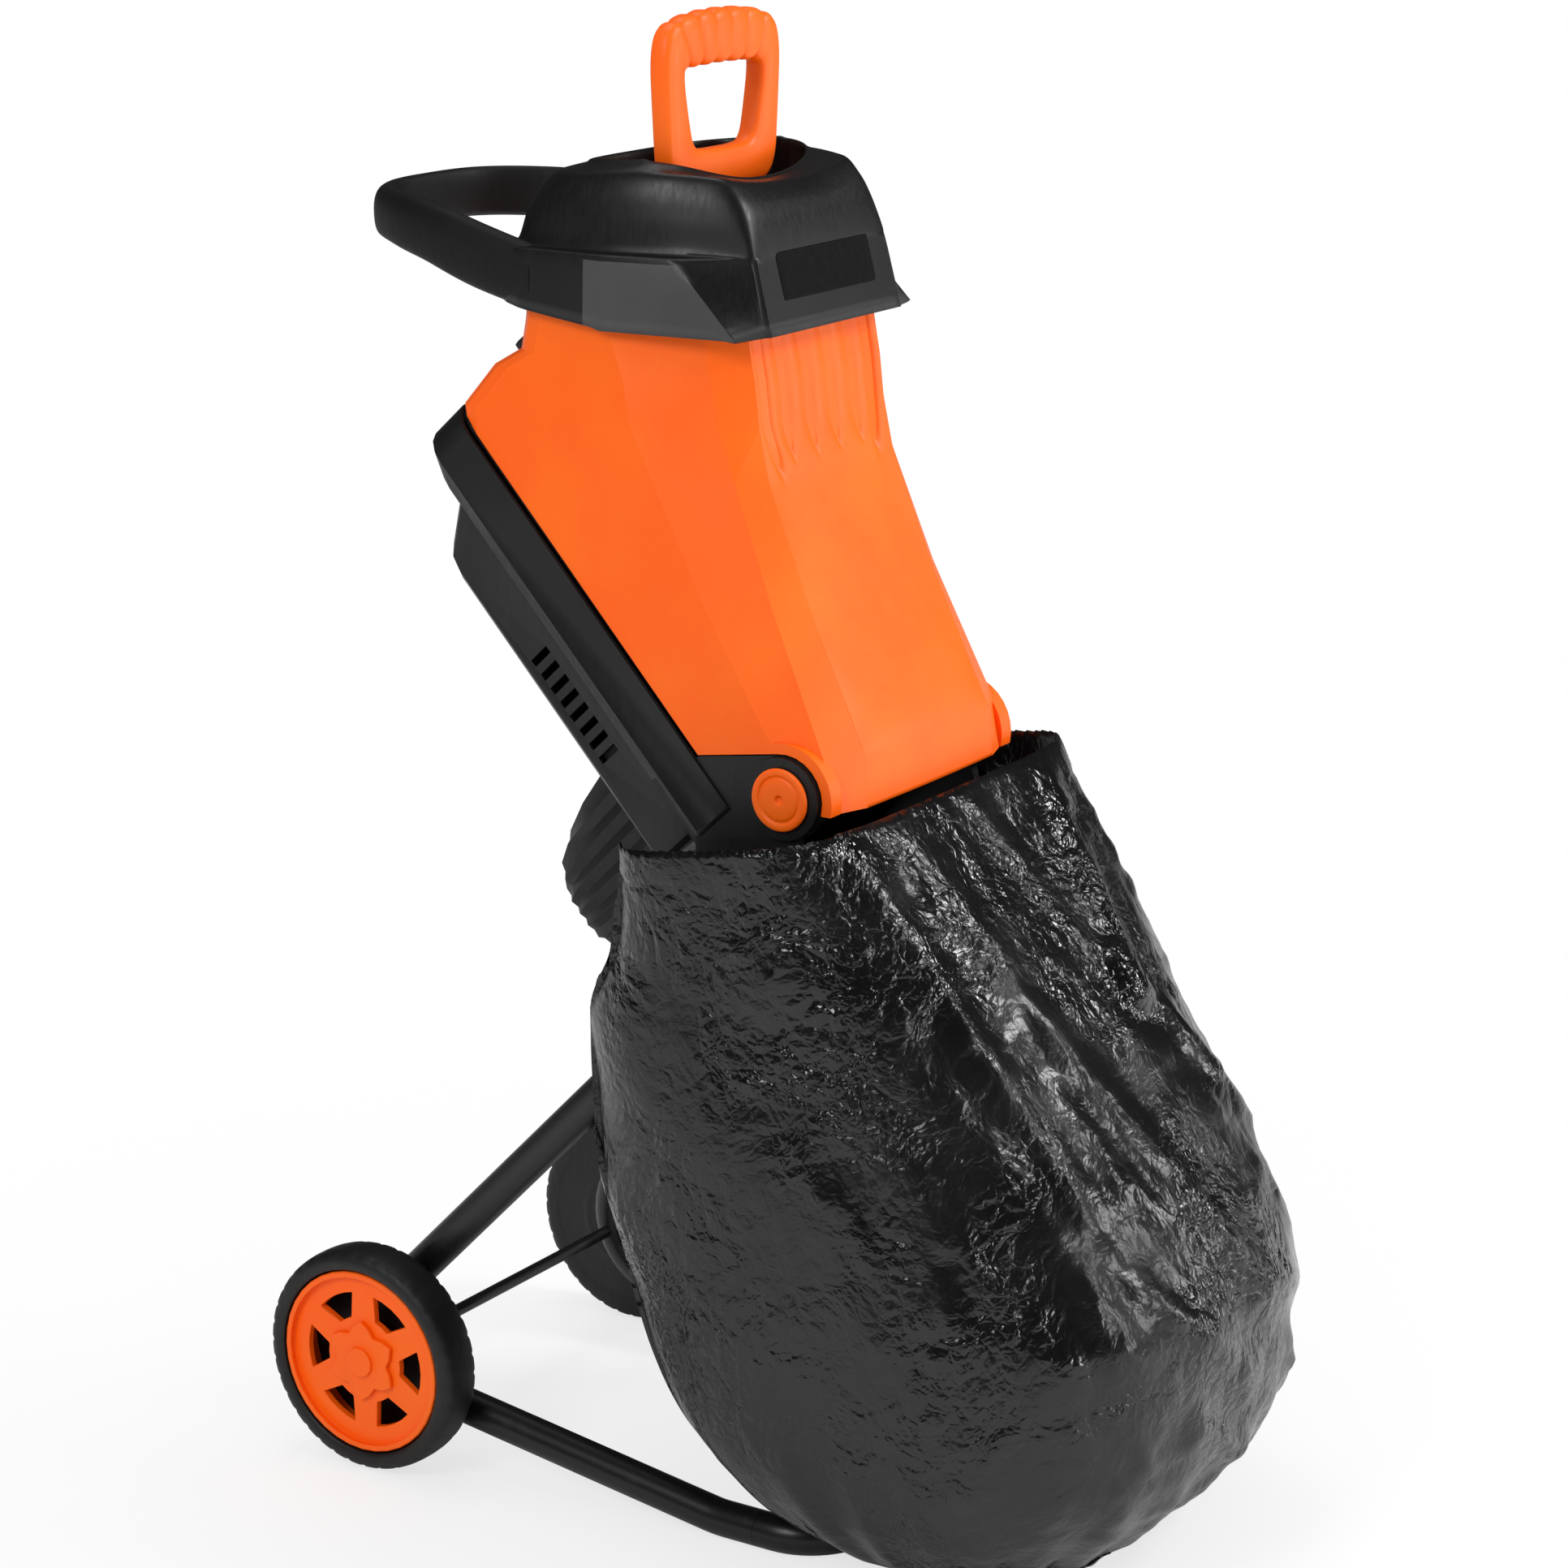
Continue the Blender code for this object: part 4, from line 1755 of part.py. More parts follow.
def build_plunger(pivot):
    """The plunger: D grip over the funnel, guard plate, and tapered pusher inside the chute."""
    back = (0.0, -HINGE_Y, -HINGE_Z)
    rise = PLUNGER_TOP_Z - 0.012
    crown_z = PLUNGER_TOP_Z
    grip_low = PLUNGER_TOP_Z - GRIP_HEIGHT
    window_low = grip_low - GRIP_WINDOW_HEIGHT
    crown = []
    for step in range(9):
        share = -1.0 + step / 4.0
        crown.append((-share * (GRIP_HALF_WIDTH - 0.010), crown_z - (crown_z - rise) * share * share))
    outline = (
        [(GRIP_WAIST_HALF, GRIP_FOOT_Z), (GRIP_HALF_WIDTH, PLUNGER_TOP_Z - 0.030)]
        + [(GRIP_HALF_WIDTH - 0.002, PLUNGER_TOP_Z - 0.020)]
        + crown
        + [(-GRIP_HALF_WIDTH + 0.002, PLUNGER_TOP_Z - 0.020)]
        + [(-GRIP_HALF_WIDTH, PLUNGER_TOP_Z - 0.030), (-GRIP_WAIST_HALF, GRIP_FOOT_Z)]
    )
    upper_half = GRIP_HALF_WIDTH - LEG_WIDTH
    lower_half = GRIP_WAIST_HALF - FOOT_LEG_WIDTH
    window = [
        (lower_half - 0.004, window_low),
        (lower_half, window_low + 0.004),
        (upper_half, grip_low - 0.006),
        (upper_half - 0.006, grip_low),
        (-upper_half + 0.006, grip_low),
        (-upper_half, grip_low - 0.006),
        (-lower_half, window_low + 0.004),
        (-lower_half + 0.004, window_low),
    ]
    guard_z = HOPPER_TOP_Z + GAP + CHUTE_FLANGE + GAP
    plunger = add(
        "plunger",
        outline_mesh("plunger", [outline, window], GRIP_THICKNESS),
        pivot,
        "orange_plastic",
        (0.0, -HINGE_Y + PLUNGER_Y, -HINGE_Z),
        FRONT_VIEW,
    )
    grooves = []
    for index in range(FINGER_GROOVES):
        x = (index - (FINGER_GROOVES - 1) / 2.0) * FINGER_PITCH
        grooves.append(x)
    stem = box_mesh(
        "plunger_stem",
        (-GRIP_WAIST_HALF + 0.012, PLUNGER_Y - GRIP_THICKNESS / 2.0 + 0.002, guard_z + 0.001),
        (GRIP_WAIST_HALF - 0.012, PLUNGER_Y + GRIP_THICKNESS / 2.0 - 0.002, GRIP_FOOT_Z + 0.004),
    )
    join(plunger, add("plunger_stem", stem, pivot, None, back))
    guard = box_mesh(
        "plunger_guard",
        (-CHUTE_TOP_HALF + CHUTE_WALL - GUARD_MARGIN + 0.004, CHUTE_TOP_FRONT - GUARD_MARGIN + 0.004, guard_z),
        (CHUTE_TOP_HALF - CHUTE_WALL + GUARD_MARGIN - 0.004, CHUTE_TOP_REAR + GUARD_MARGIN - 0.004,
         guard_z + GUARD_THICKNESS),
    )
    join(plunger, add("plunger_guard", guard, pivot, None, back))
    shrink = CHUTE_WALL + PUSHER_CLEARANCE
    foot_y = (deck_point(CHUTE_FOOT_S[0], -HOPPER_CUT_DEPTH), deck_point(CHUTE_FOOT_S[1], -HOPPER_CUT_DEPTH))
    chute_length = HOPPER_TOP_Z - (foot_y[0][1] + foot_y[1][1]) / 2.0
    share = PUSHER_LENGTH / chute_length
    top_half = CHUTE_TOP_HALF - shrink
    low_half = CHUTE_TOP_HALF + (CHUTE_FOOT_HALF - CHUTE_TOP_HALF) * share - shrink
    low_front = CHUTE_TOP_FRONT + (foot_y[0][0] - CHUTE_TOP_FRONT) * share + shrink
    low_rear = CHUTE_TOP_REAR + (foot_y[1][0] - CHUTE_TOP_REAR) * share - shrink
    top_z = guard_z + 0.001
    low_z = HOPPER_TOP_Z - PUSHER_LENGTH
    top_ring = rectangle_ring(top_half, CHUTE_TOP_FRONT + shrink, CHUTE_TOP_REAR - shrink, top_z)
    low_ring = rectangle_ring(low_half, low_front, low_rear, low_z)
    join(plunger, add("pusher", loft_mesh("pusher", [low_ring, top_ring]), pivot, None, back))
    wall = 0.003
    hollow_low = rectangle_ring(low_half - wall, low_front + wall, low_rear - wall, low_z - 0.002)
    hollow_top = rectangle_ring(top_half - wall, CHUTE_TOP_FRONT + shrink + wall, CHUTE_TOP_REAR - shrink - wall,
                                top_z - 0.004)
    cut(plunger, add("pusher_hollow", loft_mesh("pusher_hollow", [hollow_low, hollow_top]), pivot, None, back))
    rods = []
    for side in (-1.0, 1.0):
        face_y = PLUNGER_Y + side * GRIP_THICKNESS / 2.0
        for x in grooves:
            rods.append((x, face_y + side * (0.009 - FINGER_DEPTH)))
    finger = rods_mesh("finger_grooves", 0.009, grip_low - 0.004, PLUNGER_TOP_Z + 0.01, rods, "Z", 12)
    cut(plunger, add("finger_grooves", finger, pivot, None, back))


def rectangle_ring(half, front_y, rear_y, z):
    """Four corners of a level rectangle."""
    return [(-half, front_y, z), (half, front_y, z), (half, rear_y, z), (-half, rear_y, z)]


def build_hinge(machine):
    """Hinge pin through both ears and the two stepped caps over its ends."""
    end = EAR_OUTER_X - GAP
    place = (HINGE_Y, HINGE_Z)
    add("hinge_pin", rod_mesh("hinge_pin", HINGE_PIN_RADIUS, -end, end, "X", place), machine, "bright_steel")
    face = EAR_OUTER_X + HINGE_CAP_THICKNESS
    profile = [
        (0.0030, face - 0.0050),
        (0.0030, face - 0.0010),
        (0.0130, face - 0.0010),
        (0.0150, face - 0.0022),
        (0.0170, face - 0.0022),
        (0.0190, face),
        (HINGE_CAP_RADIUS - 0.0030, face),
        (HINGE_CAP_RADIUS, face - 0.0030),
        (HINGE_CAP_RADIUS, EAR_OUTER_X + GAP),
        (0.0, EAR_OUTER_X + GAP),
        (0.0, face - 0.0050),
    ]
    for name, side in SIDES:
        turned(
            f"hinge_cap_{name}",
            [profile[-1]] + profile[:-1],
            machine,
            "orange_plastic",
            (0.0, *place),
            (0.0, side * math.pi / 2.0, 0.0),
            24,
            False,
        )


def build_clamp(deck):
    """The bolt and knob that hold the hopper shut at the rear lip."""
    wall_inner = HOOD_S - HOPPER_WALL
    washer_top = wall_inner - 0.0006
    bolt_end = LUG_OUTER + KNOB_THICKNESS - 0.005
    bolt = [
        (0.0, bolt_end),
        (CLAMP_BOLT_RADIUS, bolt_end),
        (CLAMP_BOLT_RADIUS, washer_top),
        (CLAMP_WASHER_RADIUS, washer_top),
        (CLAMP_WASHER_RADIUS, washer_top - CLAMP_WASHER_THICKNESS),
        (0.0, washer_top - CLAMP_WASHER_THICKNESS),
    ]
    turned(
        "clamp_bolt", bolt, deck, "bright_steel", (0.0, 0.0, CLAMP_H), (-math.pi / 2.0, 0.0, 0.0), 16, False
    )
    lobes = []
    count = KNOB_LOBES * 6
    for step in range(count):
        angle = 2.0 * math.pi * step / count
        radius = KNOB_RADIUS + KNOB_LOBE_HEIGHT * math.cos(KNOB_LOBES * angle)
        lobes.append((radius * math.cos(angle), radius * math.sin(angle)))
    hole = arc((0.0, 0.0), CLAMP_BOLT_RADIUS + BORE_CLEARANCE, 0.0, 330.0, 11)
    add(
        "clamp_knob",
        outline_mesh("clamp_knob", [lobes, hole], KNOB_THICKNESS),
        deck,
        "black_plastic",
        (0.0, LUG_OUTER + GAP + KNOB_THICKNESS / 2.0, CLAMP_H),
        (-math.pi / 2.0, 0.0, 0.0),
    )


def build_switch(deck):
    """Switch box on the right of the tray, with its start, stop and reset buttons and the power inlet."""
    width, length, height = SWITCH_BOX
    low_x = TRAY_HALF_WIDTH + GAP
    high_x = low_x + width
    low_s = SWITCH_BOX_S - length / 2.0
    high_s = SWITCH_BOX_S + length / 2.0
    middle_h = (TRAY_TOP + TRAY_BOTTOM) / 2.0
    outline = rounded_rectangle(
        low_s, middle_h - height / 2.0, high_s, middle_h + height / 2.0, (0.005,) * 4, 2
    )
    box = add(
        "switch_box",
        outline_mesh("switch_box", [outline], width),
        deck,
        "black_plastic",
        ((low_x + high_x) / 2.0, 0.0, 0.0),
        SIDE_VIEW,
    )
    places = [
        (SWITCH_BOX_S - BUTTON_SPACING / 2.0, middle_h),
        (SWITCH_BOX_S + BUTTON_SPACING / 2.0, middle_h),
    ]
    pockets = rods_mesh(
        "button_pockets", BUTTON_RADIUS + BORE_CLEARANCE, high_x - BUTTON_POCKET, high_x + 0.01, places, "X", 20
    )
    cut(box, add("button_pockets", pockets, deck, None))
    for name, place, tone in (("start", places[0], "green_plastic"), ("stop", places[1], "red_plastic")):
        end = high_x + BUTTON_PROUD
        add(
            f"{name}_button",
            rod_mesh("button", BUTTON_RADIUS, end - BUTTON_DEPTH - 0.003, end, "X", place, 20),
            deck,
            tone,
        )
    reset_place = (SWITCH_BOX_S, middle_h)
    reset_pocket = rod_mesh(
        "reset_pocket", RESET_RADIUS + BORE_CLEARANCE, high_x - 0.008, high_x + 0.01, "X", reset_place, 16
    )
    cut(box, add("reset_pocket", reset_pocket, deck, None))
    add(
        "reset_button",
        rod_mesh("reset_button", RESET_RADIUS, high_x - 0.005, high_x + 0.0025, "X", reset_place, 16),
        deck,
        "black_plastic",
    )
    depth, width_h, reach = INLET_SIZE
    inlet_x = (low_x + 0.002, low_x + 0.002 + depth)
    inlet = add(
        "power_inlet",
        box_mesh(
            "power_inlet",
            (inlet_x[0], high_s + GAP, middle_h - width_h / 2.0),
            (inlet_x[1], high_s + GAP + reach, middle_h + width_h / 2.0),
        ),
        deck,
        "black_plastic",
    )
    mouth = box_mesh(
        "inlet_mouth",
        (inlet_x[0] + INLET_WALL, high_s + GAP + INLET_WALL * 2.0, middle_h - width_h / 2.0 + INLET_WALL),
        (inlet_x[1] - INLET_WALL, high_s + GAP + reach + 0.01, middle_h + width_h / 2.0 - INLET_WALL),
    )
    cut(inlet, add("inlet_mouth", mouth, deck, None))
    middle_x = (inlet_x[0] + inlet_x[1]) / 2.0
    for index, offset in enumerate((-0.006, 0.006)):
        pin = box_mesh(
            "inlet_pin",
            (middle_x - 0.001, high_s + INLET_WALL, middle_h + offset - 0.002),
            (middle_x + 0.001, high_s + reach * 0.7, middle_h + offset + 0.002),
        )
        join(inlet, add(f"inlet_pin_{index}", pin, deck, None))


def bag_ring(ring, power):
    """A rounded section of the bag: a superellipse between its front, rear and sides."""
    half_depth = (ring.rear_y - ring.front_y) / 2.0
    centre_y = (ring.rear_y + ring.front_y) / 2.0
    half_width = ring.half_width
    points = []
    count = 32
    for step in range(count):
        angle = 2.0 * math.pi * step / count
        across = math.sin(angle)
        along = math.cos(angle)
        x = half_width * math.copysign(abs(across) ** (2.0 / power), across)
        y = centre_y + half_depth * math.copysign(abs(along) ** (2.0 / power), along)
        points.append((x, y, ring.z))
    return points


def bag_back_space(name, grow, front, low_z, machine):
    """The room that the bag leaves behind it between its side flaps, for the struts and the housing."""
    near = -BAG_STRUT_GAP - front
    first = strut_point(0.0, near)
    foot = strut_point(0.45, near)
    slope = (foot[0] - first[0]) / (foot[1] - first[1])
    front_y = BAG_BACK_FRONT_Y - front * 0.9
    corner = (front_y, first[1] + (front_y - first[0]) / slope)
    if low_z is not None:
        foot = (first[0] + (low_z - first[1]) * slope, low_z)
    outline = [(front_y, 0.70), corner, foot, (0.30, foot[1]), (0.30, 0.70)]
    width = 2.0 * (BAG_INNER_HALF + grow)
    return add(name, outline_mesh(name, [outline], width), machine, None, (0.0, 0.0, 0.0), SIDE_VIEW)


def build_bag(machine):
    """The catch bag: a closed skin between two lofts, with a low back between its side flaps."""
    powers = (2.2, 2.4, 2.6, 2.6, 2.7, 2.8, 2.8, 2.9, 3.2, 3.6, 4.2, 5.0)
    outer = [bag_ring(ring, power) for ring, power in zip(BAG_RINGS, powers)]
    bag = add("catch_bag", loft_mesh("catch_bag", outer), machine, "black_film")
    cut(bag, bag_back_space("back_space", 0.0, 0.0, None, machine))
    inner = [inset_ring(ring, BAG_WALL) for ring in outer]
    inner[0] = [(x, y, z + BAG_WALL) for x, y, z in inner[0]]
    inner[-1] = [(x, y, z + BAG_WALL) for x, y, z in inner[-1]]
    hollow = add("bag_hollow", loft_mesh("bag_hollow", inner), machine, None)
    cut(hollow, bag_back_space("back_wall", BAG_WALL, BAG_WALL, None, machine))
    cut(bag, hollow)
    cut(bag, bag_back_space("back_opening", 0.0005, 2.0 * BAG_WALL, BAG_BACK_Z, machine))
    front_y, front_z = BAG_MOUTH_FRONT
    rear_y, rear_z = BAG_MOUTH_REAR
    slope = (front_z - rear_z) / (front_y - rear_y)
    mouth = [
        (-0.9, front_z + slope * (-0.9 - front_y)),
        (0.3, rear_z + slope * (0.3 - rear_y)),
        (0.3, 1.2),
        (-0.9, 1.2),
    ]
    cut(
        bag,
        add("bag_mouth", outline_mesh("bag_mouth", [mouth], 1.0), machine, None, (0.0, 0.0, 0.0), SIDE_VIEW),
    )
    for side_name, side in SIDES:
        low, high = spans(side, 0.172, 0.25)
        place = strut_point(*BAG_HOOK_AT)
        eyelet = rod_mesh("eyelet", BAG_HOOK_RADIUS + EYELET_CLEARANCE, low, high, "X", place, 12)
        cut(bag, add(f"eyelet_{side_name}", eyelet, machine, None))


def main():
    """Builds the whole machine."""
    start_scene()
    machine = empty("machine", None, (0.0, ORIGIN_Y, 0.0))
    deck = empty("deck", machine, (0.0, HINGE_Y, HINGE_Z), (DECK_TILT, 0.0, 0.0))
    pivot = empty("hopper_pivot", machine, (0.0, HINGE_Y, HINGE_Z))
    hopper_deck = empty("hopper_deck", pivot, (0.0, 0.0, 0.0), (DECK_TILT, 0.0, 0.0))
    build_frame(machine)
    build_wheels(machine)
    build_base_housing(machine, deck)
    build_drive_cover(deck)
    belt_middle = build_spindle(deck)
    build_motor(deck, belt_middle)
    build_hopper(pivot, hopper_deck)
    build_chute(pivot, hopper_deck)
    build_collar(pivot)
    build_plunger(pivot)
    build_hinge(machine)
    build_clamp(deck)
    build_switch(deck)
    build_bag(machine)
    bpy.context.view_layer.update()


main()
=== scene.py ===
"""Looks of a wheeled electric garden shredder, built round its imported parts.

Metres, +Z up. The front, with the catch bag, is at -Y, the wheels and the handle are at +Y and X runs along
the axle. Sizes marked axle_y are taken from the axle line, which lies AXLE_Y behind the origin.
"""

import json
import logging
import math
from dataclasses import dataclass, field
from enum import Enum

import bmesh
import bpy
import numpy as np
from mathutils import Matrix, Vector


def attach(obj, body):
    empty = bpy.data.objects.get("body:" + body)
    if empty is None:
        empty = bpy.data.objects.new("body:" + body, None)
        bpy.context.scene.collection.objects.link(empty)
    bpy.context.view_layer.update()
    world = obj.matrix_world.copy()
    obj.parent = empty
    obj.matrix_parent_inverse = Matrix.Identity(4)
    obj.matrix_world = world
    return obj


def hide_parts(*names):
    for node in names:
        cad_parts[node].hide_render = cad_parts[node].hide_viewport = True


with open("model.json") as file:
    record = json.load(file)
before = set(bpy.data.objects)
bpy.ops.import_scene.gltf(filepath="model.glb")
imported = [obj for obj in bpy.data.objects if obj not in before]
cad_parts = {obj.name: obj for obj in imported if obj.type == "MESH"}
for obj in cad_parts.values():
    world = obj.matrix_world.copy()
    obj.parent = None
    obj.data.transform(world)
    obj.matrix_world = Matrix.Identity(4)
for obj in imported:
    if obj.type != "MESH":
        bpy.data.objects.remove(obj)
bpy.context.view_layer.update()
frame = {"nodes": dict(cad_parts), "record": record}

Array = np.ndarray
Colour = tuple[float, float, float, float]
Pair = tuple[float, float]
Triple = tuple[float, float, float]
Socket = bpy.types.NodeSocket
Tree = bpy.types.NodeTree
log = logging.getLogger("shredder")

MM = 0.001
# Blender's wave texture repeats after this many metres at a scale of one.
BAND_LENGTH = 0.314
AXLE_Y = 0.287
WHITE = (1.0, 1.0, 1.0, 1.0)
SHARP = math.radians(32.0)


def linear(colour: str) -> Colour:
    """Turns an sRGB colour into the linear values that a shader takes.

    Args:
        colour: six hex digits after a hash.

    Returns:
        Red, green, blue and an alpha of one.
    """
    parts = np.array([int(colour[index : index + 2], 16) / 255.0 for index in (1, 3, 5)])
    red, green, blue = np.where(parts <= 0.04045, parts / 12.92, ((parts + 0.055) / 1.055) ** 2.4).tolist()
    return (red, green, blue, 1.0)


def put(
    tree: Tree,
    kind: str,
    settings: dict[str | int, object] | None = None,
    links: dict[str | int, Socket] | None = None,
) -> bpy.types.Node:
    """Adds a node to a material.

    Args:
        tree: the material's node tree.
        kind: Blender's name for the kind of node.
        settings: values for the node's options, in small letters, or else for its inputs.
        links: sockets to join to the node's inputs.

    Returns:
        The new node.
    """
    node = tree.nodes.new(kind)
    for key, value in (settings or {}).items():
        if isinstance(key, str) and key.islower():
            setattr(node, key, value)
        else:
            node.inputs[key].default_value = value
    for key, socket in (links or {}).items():
        tree.links.new(socket, node.inputs[key])
    return node


def blank(name: str) -> tuple[bpy.types.Material, Tree, bpy.types.Node, Socket]:
    """Makes a material with one plain shader.

    Args:
        name: the material's name.

    Returns:
        The material, its node tree, its shader and the place of each point on the piece.
    """
    material = bpy.data.materials.new(name)
    material.use_nodes = True
    tree = material.node_tree
    place = put(tree, "ShaderNodeTexCoord").outputs["Object"]
    return material, tree, tree.nodes["Principled BSDF"], place


def noise(tree: Tree, place: Socket, scale: float, detail: float, **settings: float) -> Socket:
    """Adds noise.

    Args:
        tree: the material's node tree.
        place: the place of each point.
        scale: how many waves a metre holds.
        detail: how many finer layers are added.
        settings: further inputs of the noise, by name.

    Returns:
        The noise, which lies round a half.
    """
    values = {"Scale": scale, "Detail": detail, **settings}
    return put(tree, "ShaderNodeTexNoise", values, {"Vector": place}).outputs[0]


def fit_range(tree: Tree, source: Socket, span: Pair, target: Pair) -> Socket:
    """Carries a value evenly from one span to another and stops it at the ends.

    Args:
        tree: the material's node tree.
        source: the value.
        span: where the value starts and ends.
        target: what those ends become.

    Returns:
        The new value.
    """
    values = {1: span[0], 2: span[1], 3: target[0], 4: target[1]}
    return put(tree, "ShaderNodeMapRange", values, {0: source}).outputs[0]


def blend(tree: Tree, share: Socket, colour: str, other: str) -> Socket:
    """Mixes two sRGB colours: the first where the share is nought, the other where it is one."""
    settings = {"data_type": "RGBA", 6: linear(colour), 7: linear(other)}
    return put(tree, "ShaderNodeMix", settings, {0: share}).outputs[2]


def combine(tree: Tree, operation: str, first: Socket, second: Socket) -> Socket:
    """Works out one value from two, by an operation of the maths node."""
    return put(tree, "ShaderNodeMath", {"operation": operation}, {0: first, 1: second}).outputs[0]


def relief(tree: Tree, height: Socket, strength: float, depth: float) -> Socket:
    """Turns a height into a bump, with its depth in metres."""
    settings = {"Strength": strength, "Distance": depth}
    return put(tree, "ShaderNodeBump", settings, {"Height": height}).outputs[0]


def dress(
    tree: Tree, shader: bpy.types.Node, tint: Socket, bump: Socket, gloss: Socket | None = None
) -> None:
    """Joins colour, bump and, where it varies, roughness to a shader.

    Args:
        tree: the material's node tree.
        shader: its shader.
        tint: the colour.
        bump: the bumped normal.
        gloss: the roughness.
    """
    tree.links.new(tint, shader.inputs["Base Color"])
    tree.links.new(bump, shader.inputs["Normal"])
    if gloss is not None:
        tree.links.new(gloss, shader.inputs["Roughness"])


@dataclass(frozen=True)
class MouldedPlastic:
    """Injection-moulded polypropylene or ABS: an even colour that turns a little paler where it is handled,
    a satin face and the fine grain of a spark-eroded mould."""

    name: str
    colour: str
    rubbed: str
    roughness: float
    spread: float = 0.05
    grain_mm: float = 2.2
    grain_depth_mm: float = 0.05
    cloud_mm: float = 90.0
    scratch_mm: float = 3.0
    scratch_stretch: float = 0.16
    shine: float = 0.5

    def make(self) -> bpy.types.Material:
        """Builds the material: clouds of rubbed colour, streaky roughness and grain as bump."""
        material, tree, shader, place = blank(self.name)
        cloud = noise(tree, place, 1.0 / (self.cloud_mm * MM), 5.0)
        tint = blend(tree, fit_range(tree, cloud, (0.42, 0.78), (0.0, 1.0)), self.colour, self.rubbed)
        upright = {"Scale": (1.0, 1.0, self.scratch_stretch)}
        stretched = put(tree, "ShaderNodeMapping", upright, {"Vector": place}).outputs[0]
        streak = noise(tree, stretched, 1.0 / (self.scratch_mm * MM), 3.0)
        ends = (self.roughness - self.spread, self.roughness + self.spread)
        gloss = fit_range(tree, streak, (0.3, 0.7), ends)
        # The real grain is about 0.3 mm across; it is drawn coarser so that it shows at this distance.
        grain = noise(tree, place, 1.0 / (self.grain_mm * MM), 2.0)
        bump = relief(tree, grain, 0.35, self.grain_depth_mm * MM)
        # The mould's grain traps part of the glare, so the shine is set below that of a polished face.
        shader.inputs["Specular IOR Level"].default_value = self.shine
        dress(tree, shader, tint, bump, gloss)
        return material


@dataclass(frozen=True)
class PowderCoat:
    """Powder-coated steel tube: hard black paint with the slow ripple of orange peel, scuffed in patches."""

    name: str
    colour: str
    scuffed: str
    roughness: float = 0.36
    scuffed_roughness: float = 0.58
    peel_mm: float = 3.5
    peel_depth_mm: float = 0.08

    def make(self) -> bpy.types.Material:
        """Builds the material: scuffs from sharp noise, orange peel as bump."""
        material, tree, shader, place = blank(self.name)
        scuff = noise(tree, place, 42.0, 9.0, Roughness=0.7)
        share = fit_range(tree, scuff, (0.55, 0.72), (0.0, 0.8))
        tint = blend(tree, share, self.colour, self.scuffed)
        gloss = fit_range(tree, share, (0.0, 1.0), (self.roughness, self.scuffed_roughness))
        cells = {"Scale": 1.0 / (self.peel_mm * MM)}
        peel = put(tree, "ShaderNodeTexVoronoi", cells, {"Vector": place}).outputs[0]
        dress(tree, shader, tint, relief(tree, peel, 0.25, self.peel_depth_mm * MM), gloss)
        return material


@dataclass(frozen=True)
class CoatedFilm:
    """Woven polyethylene tape with a glossy coat, as in a tarpaulin: black, crumpled into sharp little facets
    that flash where they face the light, over the faint check of its tapes."""

    name: str
    colour: str
    worn: str
    roughness: float = 0.21
    shine: float = 0.48
    crease_mm: tuple[float, ...] = (34.0, 14.0, 6.0)
    crease_share: tuple[float, ...] = (1.0, 0.55, 0.22)
    crease_depth_mm: float = 2.2
    tape_mm: float = 3.2
    tape_depth_mm: float = 0.10

    def creases(self, tree: Tree, place: Socket) -> Socket:
        """Adds up facets of three sizes, each the distance to the edges of cells.

        Args:
            tree: the material's node tree.
            place: the place of each point.

        Returns:
            The height of the facets.
        """
        total = None
        for length, share in zip(self.crease_mm, self.crease_share):
            settings = {"feature": "DISTANCE_TO_EDGE", "Scale": 1.0 / (length * MM)}
            cells = put(tree, "ShaderNodeTexVoronoi", settings, {"Vector": place}).outputs["Distance"]
            facet = fit_range(tree, cells, (0.0, 0.45), (0.0, share))
            total = facet if total is None else combine(tree, "ADD", total, facet)
        return total

    def weave(self, tree: Tree, place: Socket) -> Socket:
        """Crosses the bands of the tapes that run across and up.

        Args:
            tree: the material's node tree.
            place: the place of each point.

        Returns:
            The bumped normal.
        """
        bands = []
        for axis in ("X", "Z"):
            scale = BAND_LENGTH / (self.tape_mm * MM)
            settings = {"bands_direction": axis, "Scale": scale, "Distortion": 0.6}
            bands.append(put(tree, "ShaderNodeTexWave", settings, {"Vector": place}).outputs[1])
        return relief(tree, combine(tree, "MULTIPLY", *bands), 0.22, self.tape_depth_mm * MM)

    def make(self) -> bpy.types.Material:
        """Builds the material: creases warped by slow noise over the weave, glossier in patches."""
        material, tree, shader, place = blank(self.name)
        slow = {"Scale": 11.0, "Detail": 5.0}
        drift = put(tree, "ShaderNodeTexNoise", slow, {"Vector": place}).outputs["Color"]
        push = put(tree, "ShaderNodeVectorMath", {"operation": "SCALE", "Scale": 0.06}, {0: drift}).outputs[0]
        warped = put(tree, "ShaderNodeVectorMath", {"operation": "ADD"}, {0: place, 1: push}).outputs[0]
        # The weave is pressed smooth in some places and crushed in others, which gathers the glints.
        crush = noise(tree, warped, 6.5, 3.0, Distortion=0.6)
        creased = {
            "Height": self.creases(tree, warped),
            "Normal": self.weave(tree, place),
            "Strength": fit_range(tree, crush, (0.42, 0.58), (0.24, 1.0)),
        }
        bump = put(tree, "ShaderNodeBump", {"Distance": self.crease_depth_mm * MM}, creased).outputs[0]
        patch = noise(tree, place, 14.0, 6.0)
        gloss = fit_range(tree, patch, (0.3, 0.7), (self.roughness - 0.08, self.roughness + 0.14))
        tint = blend(tree, fit_range(tree, patch, (0.45, 0.8), (0.0, 1.0)), self.colour, self.worn)
        shader.inputs["Specular IOR Level"].default_value = self.shine
        dress(tree, shader, tint, bump, gloss)
        return material


